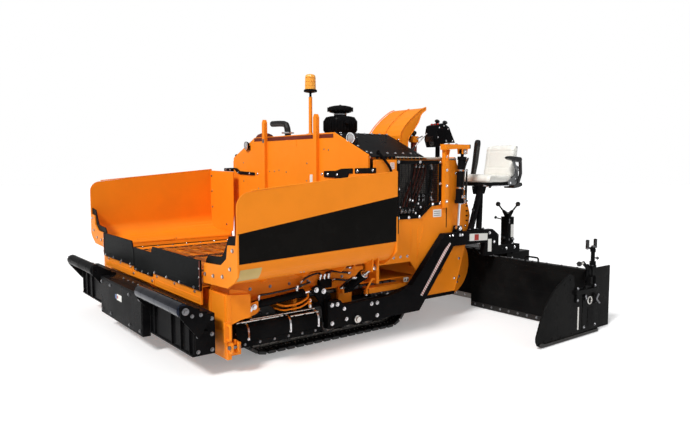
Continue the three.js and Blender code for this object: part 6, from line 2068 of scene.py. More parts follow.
class PAVER_OT_top_fittings(bpy.types.Operator):
    """Beacon, air intake and exhaust"""

    bl_idname = "paver.top_fittings"
    bl_label = "Top fittings"

    def execute(self, context):
        # beacon: pole, stub, flange with lugs, ribbed dome
        low, high = span("beacon")
        x, y = (low.x + high.x) / 2, (low.y + high.y) / 2
        z = high.z
        foot = low.z
        work = bmesh.new()
        profile = [(0, 0), (44, 0), (44, 7), (22, 12), (19, 22), (17, 26), (17, z - foot - 216),
                   (14, z - foot - 210),
                   (0, z - foot - 210)]
        lathe(work, profile, (x, y, foot), (0, 0, 1), 28, 0)
        for k in range(4):
            a = math.tau * (k + 0.5) / 4
            bolt(work, (x + 33 * math.cos(a), y + 33 * math.sin(a), foot + 7), (0, 0, 1), 7, 3)
        base = z - foot - 212
        lathe(work, [(0, base), (11, base), (11, base + 34), (16, base + 38), (40, base + 42),
                     (62, base + 48),
                     (63, base + 62), (56, base + 70), (0, base + 72)], (x, y, foot), (0, 0, 1), 32, 1)
        for k in range(3):
            a = math.tau * k / 3
            bolt(work, (x + 55 * math.cos(a), y + 55 * math.sin(a), foot + base + 62), (0, 0, 1), 6, 3,
                 washer=False)
        sides = 96
        height = 566 - 424.0
        top = high.z
        start = top - height
        rows = [(50, 0), (50, 8), (49, 60), (47.5, 110), (45, 126), (36, 137), (18, 141.5)]
        rings = []
        for radius, reach in rows:
            ring = []
            for i in range(sides):
                a = math.tau * i / sides
                flute = 1.4 * math.cos(24 * a) if 5 < reach < 130 else 0.0
                ring.append(work.verts.new((x + (radius + flute) * math.cos(a),
                                            y + (radius + flute) * math.sin(a), start + reach)))
            rings.append(ring)
        for ring, after in zip(rings, rings[1:]):
            for i in range(sides):
                j = (i + 1) % sides
                work.faces.new((ring[i], ring[j], after[j], after[i])).material_index = 2
        for ring in (rings[0], rings[-1]):
            work.faces.new(ring).material_index = 2
        for reach in (34, 70, 106):
            ring_tube(work, (x, y, start + reach), (x, y, start + reach + 3), 51.4, 46, 48, 2)
        lathe(work, [(0, 4), (16, 4), (16, 90), (10, 100), (0, 102)], (x, y, start), (0, 0, 1), 20, 4)
        piece("beacon_lamp", work, "chassis",
              finish("orange_gloss", "black_satin", "amber_lens", "zinc", "reflector"), ("beacon",))

        # air intake: finned bowl, neck and ribbed cap
        low, high = span("precleaner")
        x, y, z = (low.x + high.x) / 2, (low.y + high.y) / 2, low.z
        work = bmesh.new()
        bowl = [(0, 0), (112, 0), (140, 10), (150, 40), (150, 124), (128, 158), (74, 170), (56, 176),
                (52, 206), (0, 206)]
        lathe(work, bowl, (x, y, z), (0, 0, 1), 56, 0)
        for i in range(36):
            a = math.tau * i / 36
            d = Vector((math.cos(a), math.sin(a), 0))
            t = Vector((-math.sin(a), math.cos(a), 0)) * 2.2
            outline = ((146, 18), (160, 40), (160, 122), (134, 160), (100, 168), (100, 150), (140, 118))
            near = [Vector((x, y, z)) + d * r + Vector((0, 0, h)) - t for r, h in outline]
            far = [p + 2 * t for p in near]
            n = len(outline)
            faces = [tuple(range(n))[::-1], tuple(range(n, 2 * n))]
            faces += [(k, (k + 1) % n, n + (k + 1) % n, n + k) for k in range(n)]
            shell(work, near + far, faces, 0)
        clip(work, (x, y, z + 186), (0, 0, 1), 58, 14, 1)
        cap = [(0, 198), (70, 198), (100, 206), (118, 222), (118, 240), (104, 256), (60, 266), (0, 270)]
        lathe(work, cap, (x, y, z), (0, 0, 1), 56, 0)
        for i in range(18):
            a = math.tau * i / 18
            d = Vector((math.cos(a), math.sin(a), 0))
            bar(work, Vector((x, y, z)) + d * 117 + Vector((0, 0, 212)),
                Vector((x, y, z)) + d * 117 + Vector((0, 0, 250)),
                5, 8, 0, 1)
        lathe(work, [(0, 0), (11, 0), (11, 8), (0, 10)], (x, y, z + 268), (0, 0, 1), 6, 1)
        bar(work, (x + 138, y - 40, z + 96), (x + 176, y - 52, z + 110), 20, 16, 0, 3)
        piece("air_intake", work, "chassis", finish("black_satin", "dark_zinc"), ("precleaner",))

        # exhaust: clamp and bolted flange on the kept pipe
        low, high = span("exhaust")
        work = bmesh.new()
        top = high.z
        foot = Vector((-300, 1600, low.z))
        lathe(work, [(0, 0), (52, 0), (52, 7), (0, 7)], foot, (0, 0, 1), 32, 1)
        for k in range(4):
            a = math.tau * (k + 0.5) / 4
            bolt(work, (foot.x + 43 * math.cos(a), foot.y + 43 * math.sin(a), foot.z + 7), (0, 0, 1), 7, 1)
        clip(work, (foot.x, foot.y, foot.z + 44), (0, 0, 1), (high.y - low.y) / 2 + 1, 14, 1)
        piece("exhaust_trim", work, "chassis", finish("heat_black", "zinc"))
        carried("exhaust", bpy.data.materials["heat_black"], 0.0015)
        return {"FINISHED"}


# ------------------------------------------------------------------ screed
class PAVER_OT_augers(bpy.types.Operator):
    """Auger bearings and chain case"""

    bl_idname = "paver.augers"
    bl_label = "Augers"

    def execute(self, context):
        work = bmesh.new()
        low, high = span("left_auger")
        y, z = (low.y + high.y) / 2, (low.z + high.z) / 2
        for x in (low.x + 30, (low.x + high.x) / 2, high.x - 50):
            ring_tube(work, (x, y, z), (x + 26, y, z), 52, 44, 32, 0)
            for k in range(6):
                a = math.tau * k / 6
                d = Vector((0, math.cos(a), math.sin(a)))
                bolt(work, Vector((x + 13, y, z)) + d * 51, d, 8, 1)
        pair("*_auger_trim", work, "*_auger", finish("worn_steel", "dark_zinc"))
        work = bmesh.new()
        for s in (-1, 1):
            slab(work, "x", rounded([(2590, 250), (2650, 200), (2750, 200), (2790, 260), (2790, 420),
                                     (2740, 560),
                                     (2640, 560)], 30, 4), min(s * 57, s * 60), max(s * 57, s * 60), 0, 1.2)
            for py, pz in ((2620, 260), (2700, 222), (2768, 280), (2768, 400), (2720, 530), (2650, 530),
                           (2620, 400)):
                bolt(work, (s * 60, py, pz), (s, 0, 0), 9, 1)
        piece("auger_case_trim", work, "chassis", finish("black_satin", "zinc"))
        for side in ("left", "right"):
            carried(f"{side}_auger", bpy.data.materials["worn_steel"], 0.002)
        return {"FINISHED"}


class PAVER_OT_screed(bpy.types.Operator):
    """Main screed: face strips, access covers, tread, burner ports and towers"""

    bl_idname = "paver.screed"
    bl_label = "Main screed"

    def execute(self, context):
        front, rear, top = 3215.0, 3590.0, 545.0
        work = bmesh.new()
        # front face: wear strip, strike-off bolts and centre joint
        slab(work, "y", [(-1216, 8), (1216, 8), (1216, 60), (-1216, 60)], front - 5, front, 1, 1)
        for x in range(-1150, 1151, 115):
            bolt(work, (x, front - 5, 40), (0, -1, 0), 9, 2)
        slab(work, "y", [(-30, 62), (30, 62), (30, 540), (-30, 540)], front - 8, front, 0, 1.5)
        for z in (120, 230, 340, 450):
            for x in (-18, 18):
                bolt(work, (x, front - 8, z), (0, -1, 0), 8, 2)
        for x in (-900, -500, 500, 900):
            slab(work, "y", rounded([(x - 140, 150), (x + 140, 150), (x + 140, 470), (x - 140, 470)], 18, 3),
                 front - 3, front, 0, 1.2)
        # top: covers with handles and latches
        for x in (-780, -260, 260, 780):
            block(work, x - 215, x + 215, front + 60, rear - 60, top - 0.5, top + 5, 0, 2)
            grip = [(x - 60, 3400, top + 4), (x - 60, 3400, top + 34), (x + 60, 3400, top + 34),
                    (x + 60, 3400, top + 4)]
            pipe(work, corner_path(grip, 14, 4), 6, 10, 2)
            for dx in (-190, 190):
                for y in (3300, 3510):
                    bolt(work, (x + dx, y, top + 5), (0, 0, 1), 9, 2)
        # rear face: ports, crown screw, wiring pipe and blank plates
        for x in (-1000, -640, 640, 1000):
            ring_tube(work, (x, rear - 1, 400), (x, rear + 18, 400), 52, 44, 32, 0)
            lathe(work, [(0, 0), (44, 0), (40, 8), (0, 10)], (x, rear, 400), (0, 1, 0), 32, 3)
            for k in range(4):
                a = math.tau * (k + 0.5) / 4
                bolt(work, (x + 66 * math.cos(a), rear, 400 + 66 * math.sin(a)), (0, 1, 0), 8, 2)
        bar(work, (-180, rear + 26, 470), (180, rear + 26, 470), 17, 20, 2)
        for s in (-1, 1):
            block(work, s * 150 - 22, s * 150 + 22, rear - 2, rear + 48, 446, 494, 0, 3)
        lathe(work, [(0, 0), (44, 0), (44, 14), (30, 18), (0, 18)], (0, rear + 26, 470 - 9), (0, 0, 1), 6, 3)
        pipe(work, corner_path([(-1190, rear + 14, 510), (-300, rear + 14, 510), (-260, rear + 14, 488)],
                               30, 5), 9, 10, 4)
        pipe(work, corner_path([(1190, rear + 14, 510), (300, rear + 14, 510), (260, rear + 14, 488)], 30,
                               5), 9, 10, 4)
        for s in (-1, 1):
            for x in (400, 700, 1100):
                clip(work, (s * x, rear + 14, 510), (1, 0, 0), 9, 12, 2)
        slab(work, "y", rounded([(300, 380), (430, 380), (430, 450), (300, 450)], 6, 2), rear - 0.5,
             rear + 2, 5, 0.4)
        # bottom plate's turned-up nose and bolts along it
        slab(work, "x", [(front - 2, 5), (front + 40, 5), (front + 40, 12), (front + 4, 20),
                         (front - 2, 40)], -1218, 1218, 1, 1)
        # end faces: guide bushes
        for s in (-1, 1):
            face = s * 1220
            for y, z in ((3300 if s > 0 else 3420, 430), (3300 if s > 0 else 3420, 130)):
                ring_tube(work, (face - s * 1, y, z), (face + s * 12, y, z), 46, 31.5, 36, 0)
                for k in range(6):
                    a = math.tau * (k + 0.5) / 6
                    bolt(work, (face + s * 1, y + 58 * math.cos(a), z + 58 * math.sin(a)), (s, 0, 0), 8, 2)
        # walkway: raised diamonds, edge bar and hinges
        for i in range(58):
            x = -1180 + i * 41
            for j in range(5):
                y = 3616 + j * 38
                lean = 1 if (i + j) % 2 else -1
                outline = [(x - 13, y - lean * 8 - 3), (x + 13, y + lean * 8 - 3), (x + 13, y + lean * 8 + 3),
                           (x - 13, y - lean * 8 + 3)]
                slab(work, "z", outline, 329.6, 332.4, 1, 0)
        bar(work, (-1216, 3797, 322), (1216, 3797, 322), 7, 12, 0, 2)
        for x in (-1100, 0, 1100):
            for dy in (0, 160):
                bolt(work, (x + 40, 3620 + dy, 331), (0, 0, 1), 9, 2)
        piece("screed_trim", work, "screed",
              finish("screed_black", "worn_steel", "zinc", "heat_black", "hose_black", "plate_white"))
        carried("main_screed", bpy.data.materials["screed_black"], 0.003)

        # control tower: cover plates, levers on bellows, small lever, knobs and blank plate
        work = bmesh.new()
        x, y = 1172.0, 3281.0
        foot = 575.0
        slab(work, "x", rounded([(y - 40, 610), (y + 40, 610), (y + 40, 890), (y - 40, 890)], 10, 3),
             x + 41, x + 45, 0, 1)
        slab(work, "x", rounded([(y - 6, 700), (y + 38, 700), (y + 38, 830), (y - 6, 830)], 5, 2), x + 44.5,
             x + 46.5, 3, 0.3)
        slab(work, "y", rounded([(x - 38, 620), (x + 36, 620), (x + 36, 890), (x - 38, 890)], 10, 3),
             y - 50, y - 45, 0, 1)
        slab(work, "y", rounded([(x - 30, 800), (x + 30, 800), (x + 30, 872), (x - 30, 872)], 6, 2), y - 53,
             y - 49.5, 0, 1)
        slab(work, "z", rounded([(x - 52, y - 52), (x + 46, y - 52), (x + 46, y + 50), (x - 52, y + 50)], 8,
                                3), 898, 906, 0, 2)
        for bx, by in ((x - 54, y - 44), (x + 38, y - 44), (x - 54, y + 44), (x + 38, y + 44)):
            bolt(work, (bx, by, foot + 14), (0, 0, 1), 9, 1)
        for z in (630, 680, 850, 880):
            bolt(work, (x + 45, y - 32, z), (1, 0, 0), 7, 1)
        for s, dx in ((-1, -62), (1, 62)):
            base = Vector((x + s * 12, y + s * 12, 930))
            tip = Vector((x + dx, y + s * 71, 1027))
            d = (tip - base).normalized()
            bellows = [(0, 0), (24, 0)]
            for k in range(4):
                bellows += [(26 - 2.5 * k, 6 + 11 * k), (18 - 2 * k, 12 + 11 * k)]
            bellows += [(10, 54), (0, 54)]
            lathe(work, bellows, base, d, 24, 2)
            bar(work, base + d * 48, tip - d * 4, 6, 14, 1)
            lathe(work, [(0, -6), (11, -4), (21, 5), (25, 17), (22, 29), (13, 38), (0, 41)], tip - d * 10,
                  d, 28, 4)
        arm = Vector((x - 70, y - 92, 894))
        bar(work, (x - 40, y - 44, 880), arm, 6, 12, 1)
        lathe(work, [(0, -4), (10, -2), (16, 7), (14, 18), (0, 23)], arm, (-0.5, -0.6, 0.4), 20, 4)
        for z, r in ((640, 22), (690, 16)):
            lathe(work, [(0, 0), (r, 0), (r, 14), (r * 0.7, 24), (0, 24)], (x + 45, y + 14, z - 8),
                  (1, 0, 0), 10, 1)
        lathe(work, [(0, 0), (20, 0), (24, 8), (16, 24), (0, 26)], (x - 4, y - 50, 690), (0, -1, 0), 20, 4)
        hose(work, [(x - 20, y + 44, 640), (x - 26, y + 74, 616), (x - 50, y + 92, 580),
                    (x - 80, y + 96, 552)], 8, 2, 1)
        hose(work, [(x + 12, y + 44, 620), (x + 6, y + 70, 600), (x - 10, y + 84, 570),
                    (x - 30, y + 86, 552)], 6, 2, 1)
        pair("*_tower_trim", work, "screed",
             finish("black_satin", "dark_zinc", "hose_black", "plate_white", "knob_black", "plate_blue"))
        for side in ("left", "right"):
            carried(f"{side}_control_tower", bpy.data.materials["black_satin"], 0.003)
        return {"FINISHED"}


class PAVER_OT_extensions(bpy.types.Operator):
    """Extension faces, chromed guides, scales, and the bolt-on details inside them"""

    bl_idname = "paver.extensions"
    bl_label = "Extensions"

    def execute(self, context):
        front = 2960.0
        x0, x1 = 985.0, 2224.0
        for side, s in (("left", 1), ("right", -1)):
            work = bmesh.new()
            # face: wear strip along the bottom, welded frame lines and faint bolts
            slab(work, "y", [(x0 + 4, 6), (x1 - 4, 6), (x1 - 4, 54), (x0 + 4, 54)], front - 4, front, 1, 1)
            for i in range(12):
                bolt(work, (x0 + 60 + i * 102, front - 4, 34), (0, -1, 0), 8, 2)
            for x, z in ((1040, 500), (1040, 300), (1180, 470), (1330, 420), (1520, 470), (1700, 300),
                         (1900, 470),
                         (2120, 470), (2120, 260)):
                domed(work, (x, front, z), (0, -1, 0), 8, 0)
            slab(work, "y", rounded([(1200, 380), (1330, 380), (1380, 470), (1240, 470)], 8, 3), front - 3,
                 front, 0, 1)
            slab(work, "y", [(x0 + 8, 506), (x1 - 8, 506), (x1 - 8, 536), (x0 + 8, 536)], front - 3, front,
                 0, 1)
            # small upstanding ear with its hole at the inner top end
            ear = [(964 + 26, 538), (1086, 538), (1072, 556), (1016, 598), (996, 600), (990, 588)]
            slab(work, "y", rounded(ear, 6, 2), front, front + 10, 0, 1.2, [circle(1018, 566, 11, 16)])
            # top ledge with bolts, grab loop and a scale strip
            for i in range(8):
                bolt(work, (x0 + 90 + i * 150, front + 36, 540), (0, 0, 1), 9, 2)
            slab(work, "z", [(1300, front + 48), (2100, front + 48), (2100, front + 58),
                             (1300, front + 58)], 540, 541.4, 3, 0)
            grip = [(1600, front + 30, 540), (1600, front + 30, 580), (1740, front + 30, 580),
                    (1740, front + 30, 540)]
            pipe(work, corner_path(grip, 20, 5), 8, 12, 0)
            # ribs inside
            for x in (1300, 1620, 1940):
                slab(work, "x", [(front + 12, 44), (front + 200, 44), (front + 30, 520), (front + 12, 520)],
                     x - 4, x + 4, 0, 1)
            for x in (1400, 1800):
                slab(work, "y", rounded([(x - 90, 120), (x + 90, 120), (x + 90, 420), (x - 90, 420)], 12, 3),
                     front + 14, front + 22, 1, 1.2)
            bead(work, (x0 + 10, front + 15, 46), (x1 - 10, front + 15, 46), 3, 0)
            # gland rings where the guides leave the outer wall
            y = 3300 if s > 0 else 3420
            for z in (430, 130):
                ring_tube(work, (x1 - 30, y, z), (x1 - 15, y, z), 44, 31, 32, 2)
                ring_tube(work, (1330, y, z), (2190, y, z), 30.3, 29.9, 32, 4)
            if s < 0:
                work = self.turned(work)
            piece(f"{side}_extension_trim", work, f"{side}_extension",
                  finish("screed_black", "heat_black", "dark_zinc", "grey_bracket", "chrome"))

            work = bmesh.new()
            self.gate(work)
            if s < 0:
                work = self.turned(work)
            piece(f"{side}_end_gate_trim", work, f"{side}_end_gate",
                  finish("screed_black", "heat_black", "dark_zinc", "black_satin", "bright_steel"))

            work = bmesh.new()
            self.jack(work)
            if s < 0:
                work = self.turned(work)
            piece(f"{side}_jack_trim", work, f"{side}_extension",
                  finish("black_satin", "dark_zinc", "knob_black", "bright_steel"))
            carried(f"{side}_extension", bpy.data.materials["screed_black"], 0.003)
            carried(f"{side}_end_gate", bpy.data.materials["screed_black"], 0.003)
        return {"FINISHED"}

    def turned(self, work):
        right = facing_right(work)
        work.free()
        return right

    def gate(self, work):
        """Slot, ring, runner and box brackets on the end gate's outer face."""
        face = 2286.0
        slab(work, "x", rounded([(2756, 66), (2776, 66), (2776, 258), (2756, 258)], 8, 3), face - 2,
             face + 1, 4, 0.3)
        ring = [(face + 5, 2926 + 30 * math.cos(a), 296 + 30 * math.sin(a)) for a in
                [math.tau * i / 28 for i in range(28)]]
        pipe(work, ring, 7, 10, 4, closed=True)
        slab(work, "x", rounded([(2826, 52), (3040, 52), (3040, 356), (2826, 356)], 12, 3), face - 0.4,
             face + 4, 0, 1.2)
        slab(work, "x", rounded([(2900, 80), (2990, 80), (2990, 236), (2900, 236)], 10, 3), face + 3,
             face + 8, 3, 1.2)
        slab(work, "x", rounded([(2700, 366), (3016, 360), (3016, 396), (2700, 404)], 6, 2), face,
             face + 22, 0, 3)
        for y in (2730, 2860, 2990):
            slab(work, "x", rounded([(y - 15, 300), (y + 15, 300), (y + 15, 430), (y - 15, 430)], 6, 2),
                 face, face + 14, 0, 2)
        for y, z in ((2730, 320), (2860, 320), (2990, 320), (2850, 76), (3018, 76), (2850, 340),
                     (2730, 418), (2990, 416)):
            bolt(work, (face + 12 if z > 300 else face + 4, y, z), (1, 0, 0), 9, 2)
        for y, z in ((2290, 52), (2400, 52), (2520, 52), (2680, 52), (2640, 500), (2560, 470)):
            domed(work, (face, y, z), (1, 0, 0), 9, 0)
        # runner along the bottom, rounded at the nose
        nose = rounded([(2264, 7), (3074, 7), (3074, 30), (2300, 32), (2256, 46), (2226, 40), (2226, 26)],
                       8, 3)
        slab(work, "x", nose, face - 0.5, face + 8, 1, 2)
        bead(work, (face, 2320, 36), (face, 3060, 36), 2.5, 0)
        # folded stop on the front edge and the clamp that carries the ring
        pipe(work, smooth_path([(face - 8, 2204, 96), (face - 8, 2254, 216), (face - 8, 2334, 350),
                                (face - 8, 2434, 440),
                                (face - 8, 2562, 512)], 5), 7, 10, 0)
        lathe(work, [(0, 0), (34, 0), (36, 6), (36, 18), (26, 26), (0, 26)], (face, 3000, 300), (1, 0, 0),
              24, 3)
        bar(work, (face + 22, 3000, 300), (face + 36, 3030, 262), 8, 12, 2)
        bar(work, (face + 22, 3000, 300), (face + 36, 3012, 346), 8, 12, 2)

    def jack(self, work):
        """Screw housing, U-shaped crank, its grips, and the swinging clamp over the gate."""
        x, y = 2247.0, 3030.0
        ring_tube(work, (x, y, 560), (x, y, 610), 26, 17, 28, 0)
        ring_tube(work, (x, y, 690), (x, y, 716), 23, 17, 28, 0)
        block(work, x - 26, x + 20, y - 30, y + 30, 556, 574, 0, 3)
        for dy in (-22, 22):
            for dx in (-16, 12):
                bolt(work, (x + dx, y + dy, 574), (0, 0, 1), 7, 1)
        for gy in (2940, 3062):
            bar(work, (x, gy, 730), (x, gy, 799), 15, 18, 2, 4)
            ring_tube(work, (x, gy, 722), (x, gy, 732), 16, 8, 20, 1)
        bolt(work, (x, y, 733), (0, 0, 1), 14, 1)
        # side knob and stop collar
        bar(work, (x + 14, y + 4, 640), (x + 26, y + 30, 636), 6, 10, 1)
        lathe(work, [(0, 0), (10, 0), (14, 6), (10, 16), (0, 18)], (x + 20, y + 26, 636), (0.4, 0.9, 0), 18,
              2)
        # upright bracket and clamp lever with a ball grip, bolted to the extension's outer end
        end = 2224.0
        slab(work, "x", rounded([(2968, 440), (3004, 440), (3010, 560), (2990, 590), (2964, 584)], 8, 3),
             end, end + 10, 0, 1.5)
        slab(work, "x", rounded([(2974, 541), (2974, 556), (2890, 626), (2868, 612), (2874, 598),
                                 (2950, 541)], 6, 3),
             end + 18, end + 28, 0, 1.5)
        block(work, end + 8, end + 28, 2962, 3002, 539, 556, 0, 2)
        bar(work, (end + 23, 2878, 612), (end + 22, 2850, 600), 12, 16, 3, 3)
        lathe(work, [(0, -22), (13, -18), (23, 0), (13, 18), (0, 22)], (end + 22, 2826, 606), (0, 0.3, 1),
              24, 2)
        bar(work, (end + 22, 2826, 606), (end + 23, 2884, 610), 7, 12, 1)


class PAVER_OT_seats(bpy.types.Operator):
    """Seats on the tow arms: padded vinyl cushions, armrests, slides and frame"""

    bl_idname = "paver.seats"
    bl_label = "Seats"

    def cushion(self, outline, half, mid):
        """A crowned pad: outline in the side view, pressed thinner towards its edges."""
        rows, across_steps = outline, 14
        work = bmesh.new()
        rings = []
        for k in range(across_steps + 1):
            t = -1 + 2 * k / across_steps
            edge = max(0.0, 1 - abs(t) ** 6)
            centre = Vector((sum(p[0] for p in rows) / len(rows), sum(p[1] for p in rows) / len(rows)))
            ring = []
            for p in rows:
                v = Vector(p) - centre
                shrink = 0.88 + 0.12 * edge ** 0.5
                ring.append(work.verts.new((mid + t * half, centre.x + v.x * shrink,
                                            centre.y + v.y * shrink)))
            rings.append(ring)
        n = len(rows)
        for ring, after in zip(rings, rings[1:]):
            for i in range(n):
                j = (i + 1) % n
                work.faces.new((ring[i], ring[j], after[j], after[i]))
        for ring in (rings[0], rings[-1]):
            work.faces.new(ring)
        bmesh.ops.recalc_face_normals(work, faces=work.faces)
        return work

    def puff(self, pad, limit):
        """Swell a closed form by cloth pressure, keep each point within a limit, and smooth it."""
        scene = bpy.context.scene
        remesh = pad.modifiers.new("even_mesh", "REMESH")
        remesh.mode = "VOXEL"
        remesh.voxel_size = 0.006
        self.bake(pad)
        start = [v.co.copy() for v in pad.data.vertices]
        cloth = pad.modifiers.new("swell", "CLOTH")
        cloth.settings.use_pressure = True
        cloth.settings.uniform_pressure_force = 4.0
        cloth.settings.effector_weights.gravity = 0.0
        cloth.settings.quality = 5
        cloth.point_cache.frame_start = 1
        cloth.point_cache.frame_end = 20
        for number in range(1, 21):
            scene.frame_set(number)
        self.bake(pad)
        scene.frame_set(1)
        for v, before in zip(pad.data.vertices, start):
            move = v.co - before
            if move.length > limit:
                v.co = before + move.normalized() * limit

    def bake(self, pad):
        """Turn the modified form into the mesh itself."""
        depsgraph = bpy.context.evaluated_depsgraph_get()
        done = bpy.data.meshes.new_from_object(pad.evaluated_get(depsgraph))
        pad.modifiers.clear()
        finishes = list(pad.data.materials)
        pad.data = done
        pad.data.materials.clear()
        for coat in finishes:
            pad.data.materials.append(coat)

    def padded_piece(self, name, work, body, limit, seams, replaces):
        """Mesh, swell, sew and finish one pad."""
        work.transform(Matrix.Translation((0, FRONT, 0)) @ Matrix.Diagonal((1 / MM, 1 / MM, 1 / MM, 1)))
        mesh = bpy.data.meshes.new(name)
        work.to_mesh(mesh)
        work.free()
        mesh.materials.append(bpy.data.materials["vinyl"])
        pad = bpy.data.objects.new(name, mesh)
        bpy.context.scene.collection.objects.link(pad)
        self.puff(pad, limit)
        # sewn channels: draw the skin in along each seam line
        for v in pad.data.vertices:
            place = Vector((v.co.x * MM, (v.co.y - FRONT) * MM, v.co.z * MM))
            for point, direction, depth, reach in seams:
                away = abs((place - Vector(point)).dot(Vector(direction)))
                if away < reach:
                    pull = depth * (1 + math.cos(math.pi * away / reach)) / 2
                    v.co -= v.normal * pull / MM
        relax = pad.modifiers.new("relax", "SMOOTH")
        relax.factor = 0.4
        relax.iterations = 2
        finer = pad.modifiers.new("finer", "SUBSURF")
        finer.levels = 1
        finer.render_levels = 1
        self.bake(pad)
        pad.data.shade_smooth()
        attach(pad, body)
        if replaces:
            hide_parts(replaces)

    def execute(self, context):
        for side, s in (("left", 1), ("right", -1)):
            mid = s * 1195.0
            base = [(2738, 1262), (3080, 1262), (3092, 1280), (3086, 1318), (3040, 1326), (2900, 1318),
                    (2780, 1332),
                    (2736, 1326), (2722, 1300), (2724, 1272)]
            work = self.cushion(rounded(base, 14, 3), 176, mid)
            self.padded_piece(f"{side}_seat_base", work, "screed", 0.007, [
                ((0, 2800, 0), (0, 1, 0), 3.2, 9), ((0, 3010, 0), (0, 1, 0), 3.2, 9),
                ((mid - 112, 0, 0), (1, 0, 0), 3.0, 8), ((mid + 112, 0, 0), (1, 0, 0), 3.0, 8)],
                f"{side}_seat")
            back = [(3070, 1300), (3110, 1296), (3136, 1400), (3160, 1540), (3166, 1600), (3152, 1622),
                    (3122, 1624),
                    (3102, 1600), (3084, 1480), (3062, 1360), (3056, 1318)]
            work = self.cushion(rounded(back, 12, 3), 172, mid)
            self.padded_piece(f"{side}_seat_back", work, "screed", 0.007, [
                ((0, 0, 1400), (0, 0, 1), 3.2, 9), ((0, 0, 1560), (0, 0, 1), 3.2, 9),
                ((mid - 108, 0, 0), (1, 0, 0), 3.0, 8), ((mid + 108, 0, 0), (1, 0, 0), 3.0, 8)], "")
        work = bmesh.new()
        mid = 1195.0
        # welting round the cushions
        for x in (mid - 177, mid + 177):
            pipe(work, smooth_path([(x, 2734, 1290), (x, 2760, 1322), (x, 2900, 1314), (x, 3050, 1320)], 6),
                 4, 8, 4)
        # backboard, pan lip, slides and front knob
        slab(work, "x", rounded([(3110, 1280), (3126, 1276), (3176, 1560), (3180, 1604), (3168, 1606),
                                 (3152, 1560)], 6, 3),
             mid - 150, mid + 150, 0, 3)
        slab(work, "z", rounded([(mid - 166, 2744), (mid + 166, 2744), (mid + 166, 3096),
                                 (mid - 166, 3096)], 16, 4),
             1250, 1262, 0, 2)
        for x in (mid - 130, mid + 130):
            slab(work, "y", [(x - 16, 1222), (x + 16, 1222), (x + 16, 1250), (x - 16, 1250)], 2752, 3100, 1,
                 2)
            bar(work, (x, 2700, 1236), (x, 2756, 1236), 7, 12, 1)
        bar(work, (mid - 160, 2806, 1256), (mid - 186, 2806, 1280), 9, 12, 1)
        bar(work, (mid - 130, 2702, 1236), (mid + 130, 2702, 1236), 7, 12, 0)
        lathe(work, [(0, 0), (30, 2), (42, 10), (44, 24), (34, 38), (0, 42)], (mid - 186, 2800, 1280),
              (0, -1, 0), 28, 2)
        # bracket and hinge between back and pan
        for x in (mid - 180, mid + 174):
            slab(work, "x", rounded([(3010, 1236), (3120, 1236), (3160, 1300), (3150, 1420), (3120, 1420),
                                     (3100, 1320),
                                     (3010, 1276)], 14, 3), x, x + 7, 5, 1.5)
            for y, z in ((3040, 1256), (3120, 1290), (3134, 1390)):
                bolt(work, (x + (7 if x > mid else 0), y, z), (1 if x > mid else -1, 0, 0), 9, 1)
        # armrests: the outer one lies level on a grey strut, the inner one is folded up
        near = mid + 206
        slab(work, "x", rounded([(3130, 1448), (3158, 1470), (3146, 1500), (2972, 1512), (2940, 1502),
                                 (2936, 1486),
                                 (2960, 1476)], 14, 4), near - 22, near + 22, 2, 9)
        slab(work, "x", rounded([(3136, 1470), (3170, 1470), (3180, 1340), (3138, 1246), (3108, 1250),
                                 (3146, 1340)], 14, 3),
             near - 10, near + 6, 2, 2)
        slab(work, "x", rounded([(3012, 1480), (3048, 1480), (3132, 1372), (3112, 1356)], 8, 3), near - 6,
             near + 2, 5, 2)
        far = mid - 206
        slab(work, "x", rounded([(2930, 1300), (2966, 1292), (3010, 1450), (3044, 1640), (3038, 1672),
                                 (3006, 1678),
                                 (2986, 1652), (2960, 1470)], 12, 4), far - 20, far + 20, 2, 8)
        slab(work, "x", rounded([(2900, 1252), (3060, 1252), (3050, 1290), (2966, 1320), (2916, 1300)], 12,
                                3),
             far + 10, far + 24, 0, 2)
        for x, y, z in ((near - 26, 3150, 1400), (far + 26, 2950, 1292)):
            bar(work, (x - 14, y, z), (x + 14, y, z), 14, 18, 1, 3)
        # slide lever and cross tube under the pan
        bar(work, (mid + 150, 2800, 1228), (mid + 196, 2720, 1222), 5, 10, 1)
        lathe(work, [(0, 0), (9, 1), (11, 8), (9, 26), (0, 29)], (mid + 192, 2728, 1222), (0.5, -1, 0), 16, 2)
        slab(work, "x", rounded([(3100, 1200), (3190, 1210), (3240, 1226), (3230, 1256), (3100, 1250)], 12,
                                3),
             mid + 60, mid + 176, 2, 4)
        pair("*_seat_fittings", work, "screed",
             finish("black_satin", "zinc", "knob_black", "dark_zinc", "vinyl", "grey_bracket"))
        # box-section legs in an A, with their foot plates' bolts and a thin lever
        work = bmesh.new()
        box = [(-26, -13), (26, -13), (26, 13), (-26, 13)]
        for start, end in (((1256, 2735, 822), (1216, 2796, 1226)), ((1256, 2615, 822), (1250, 2764, 1226))):
            sweep(work, [Vector(start), Vector(end)], box, 0)
        for y in (2702, 2790, 2598, 2634):
            bolt(work, (1264, y, 825), (0, 0, 1), 9, 1)
        slab(work, "x", rounded([(2700, 1080), (2800, 1080), (2800, 1104), (2704, 1104)], 6, 2), 1234, 1240,
             0, 1.5)
        bar(work, (1268, 2640, 815), (1268, 2634, 1004), 9, 14, 0)
        lathe(work, [(0, 0), (11, 2), (14, 12), (11, 26), (0, 30)], (1268, 2634, 996), (0, -0.05, 1), 18, 2)
        slab(work, "x", rounded([(2700, 1150), (2860, 1150), (2890, 1228), (2680, 1228)], 10, 3), 1206,
             1216, 0, 2)
        pair("*_seat_frame_trim", work, "screed", finish("black_satin", "dark_zinc", "knob_black"))
        for side in ("left", "right"):
            carried(f"{side}_seat_frame", bpy.data.materials["black_satin"], 0.002)
        return {"FINISHED"}


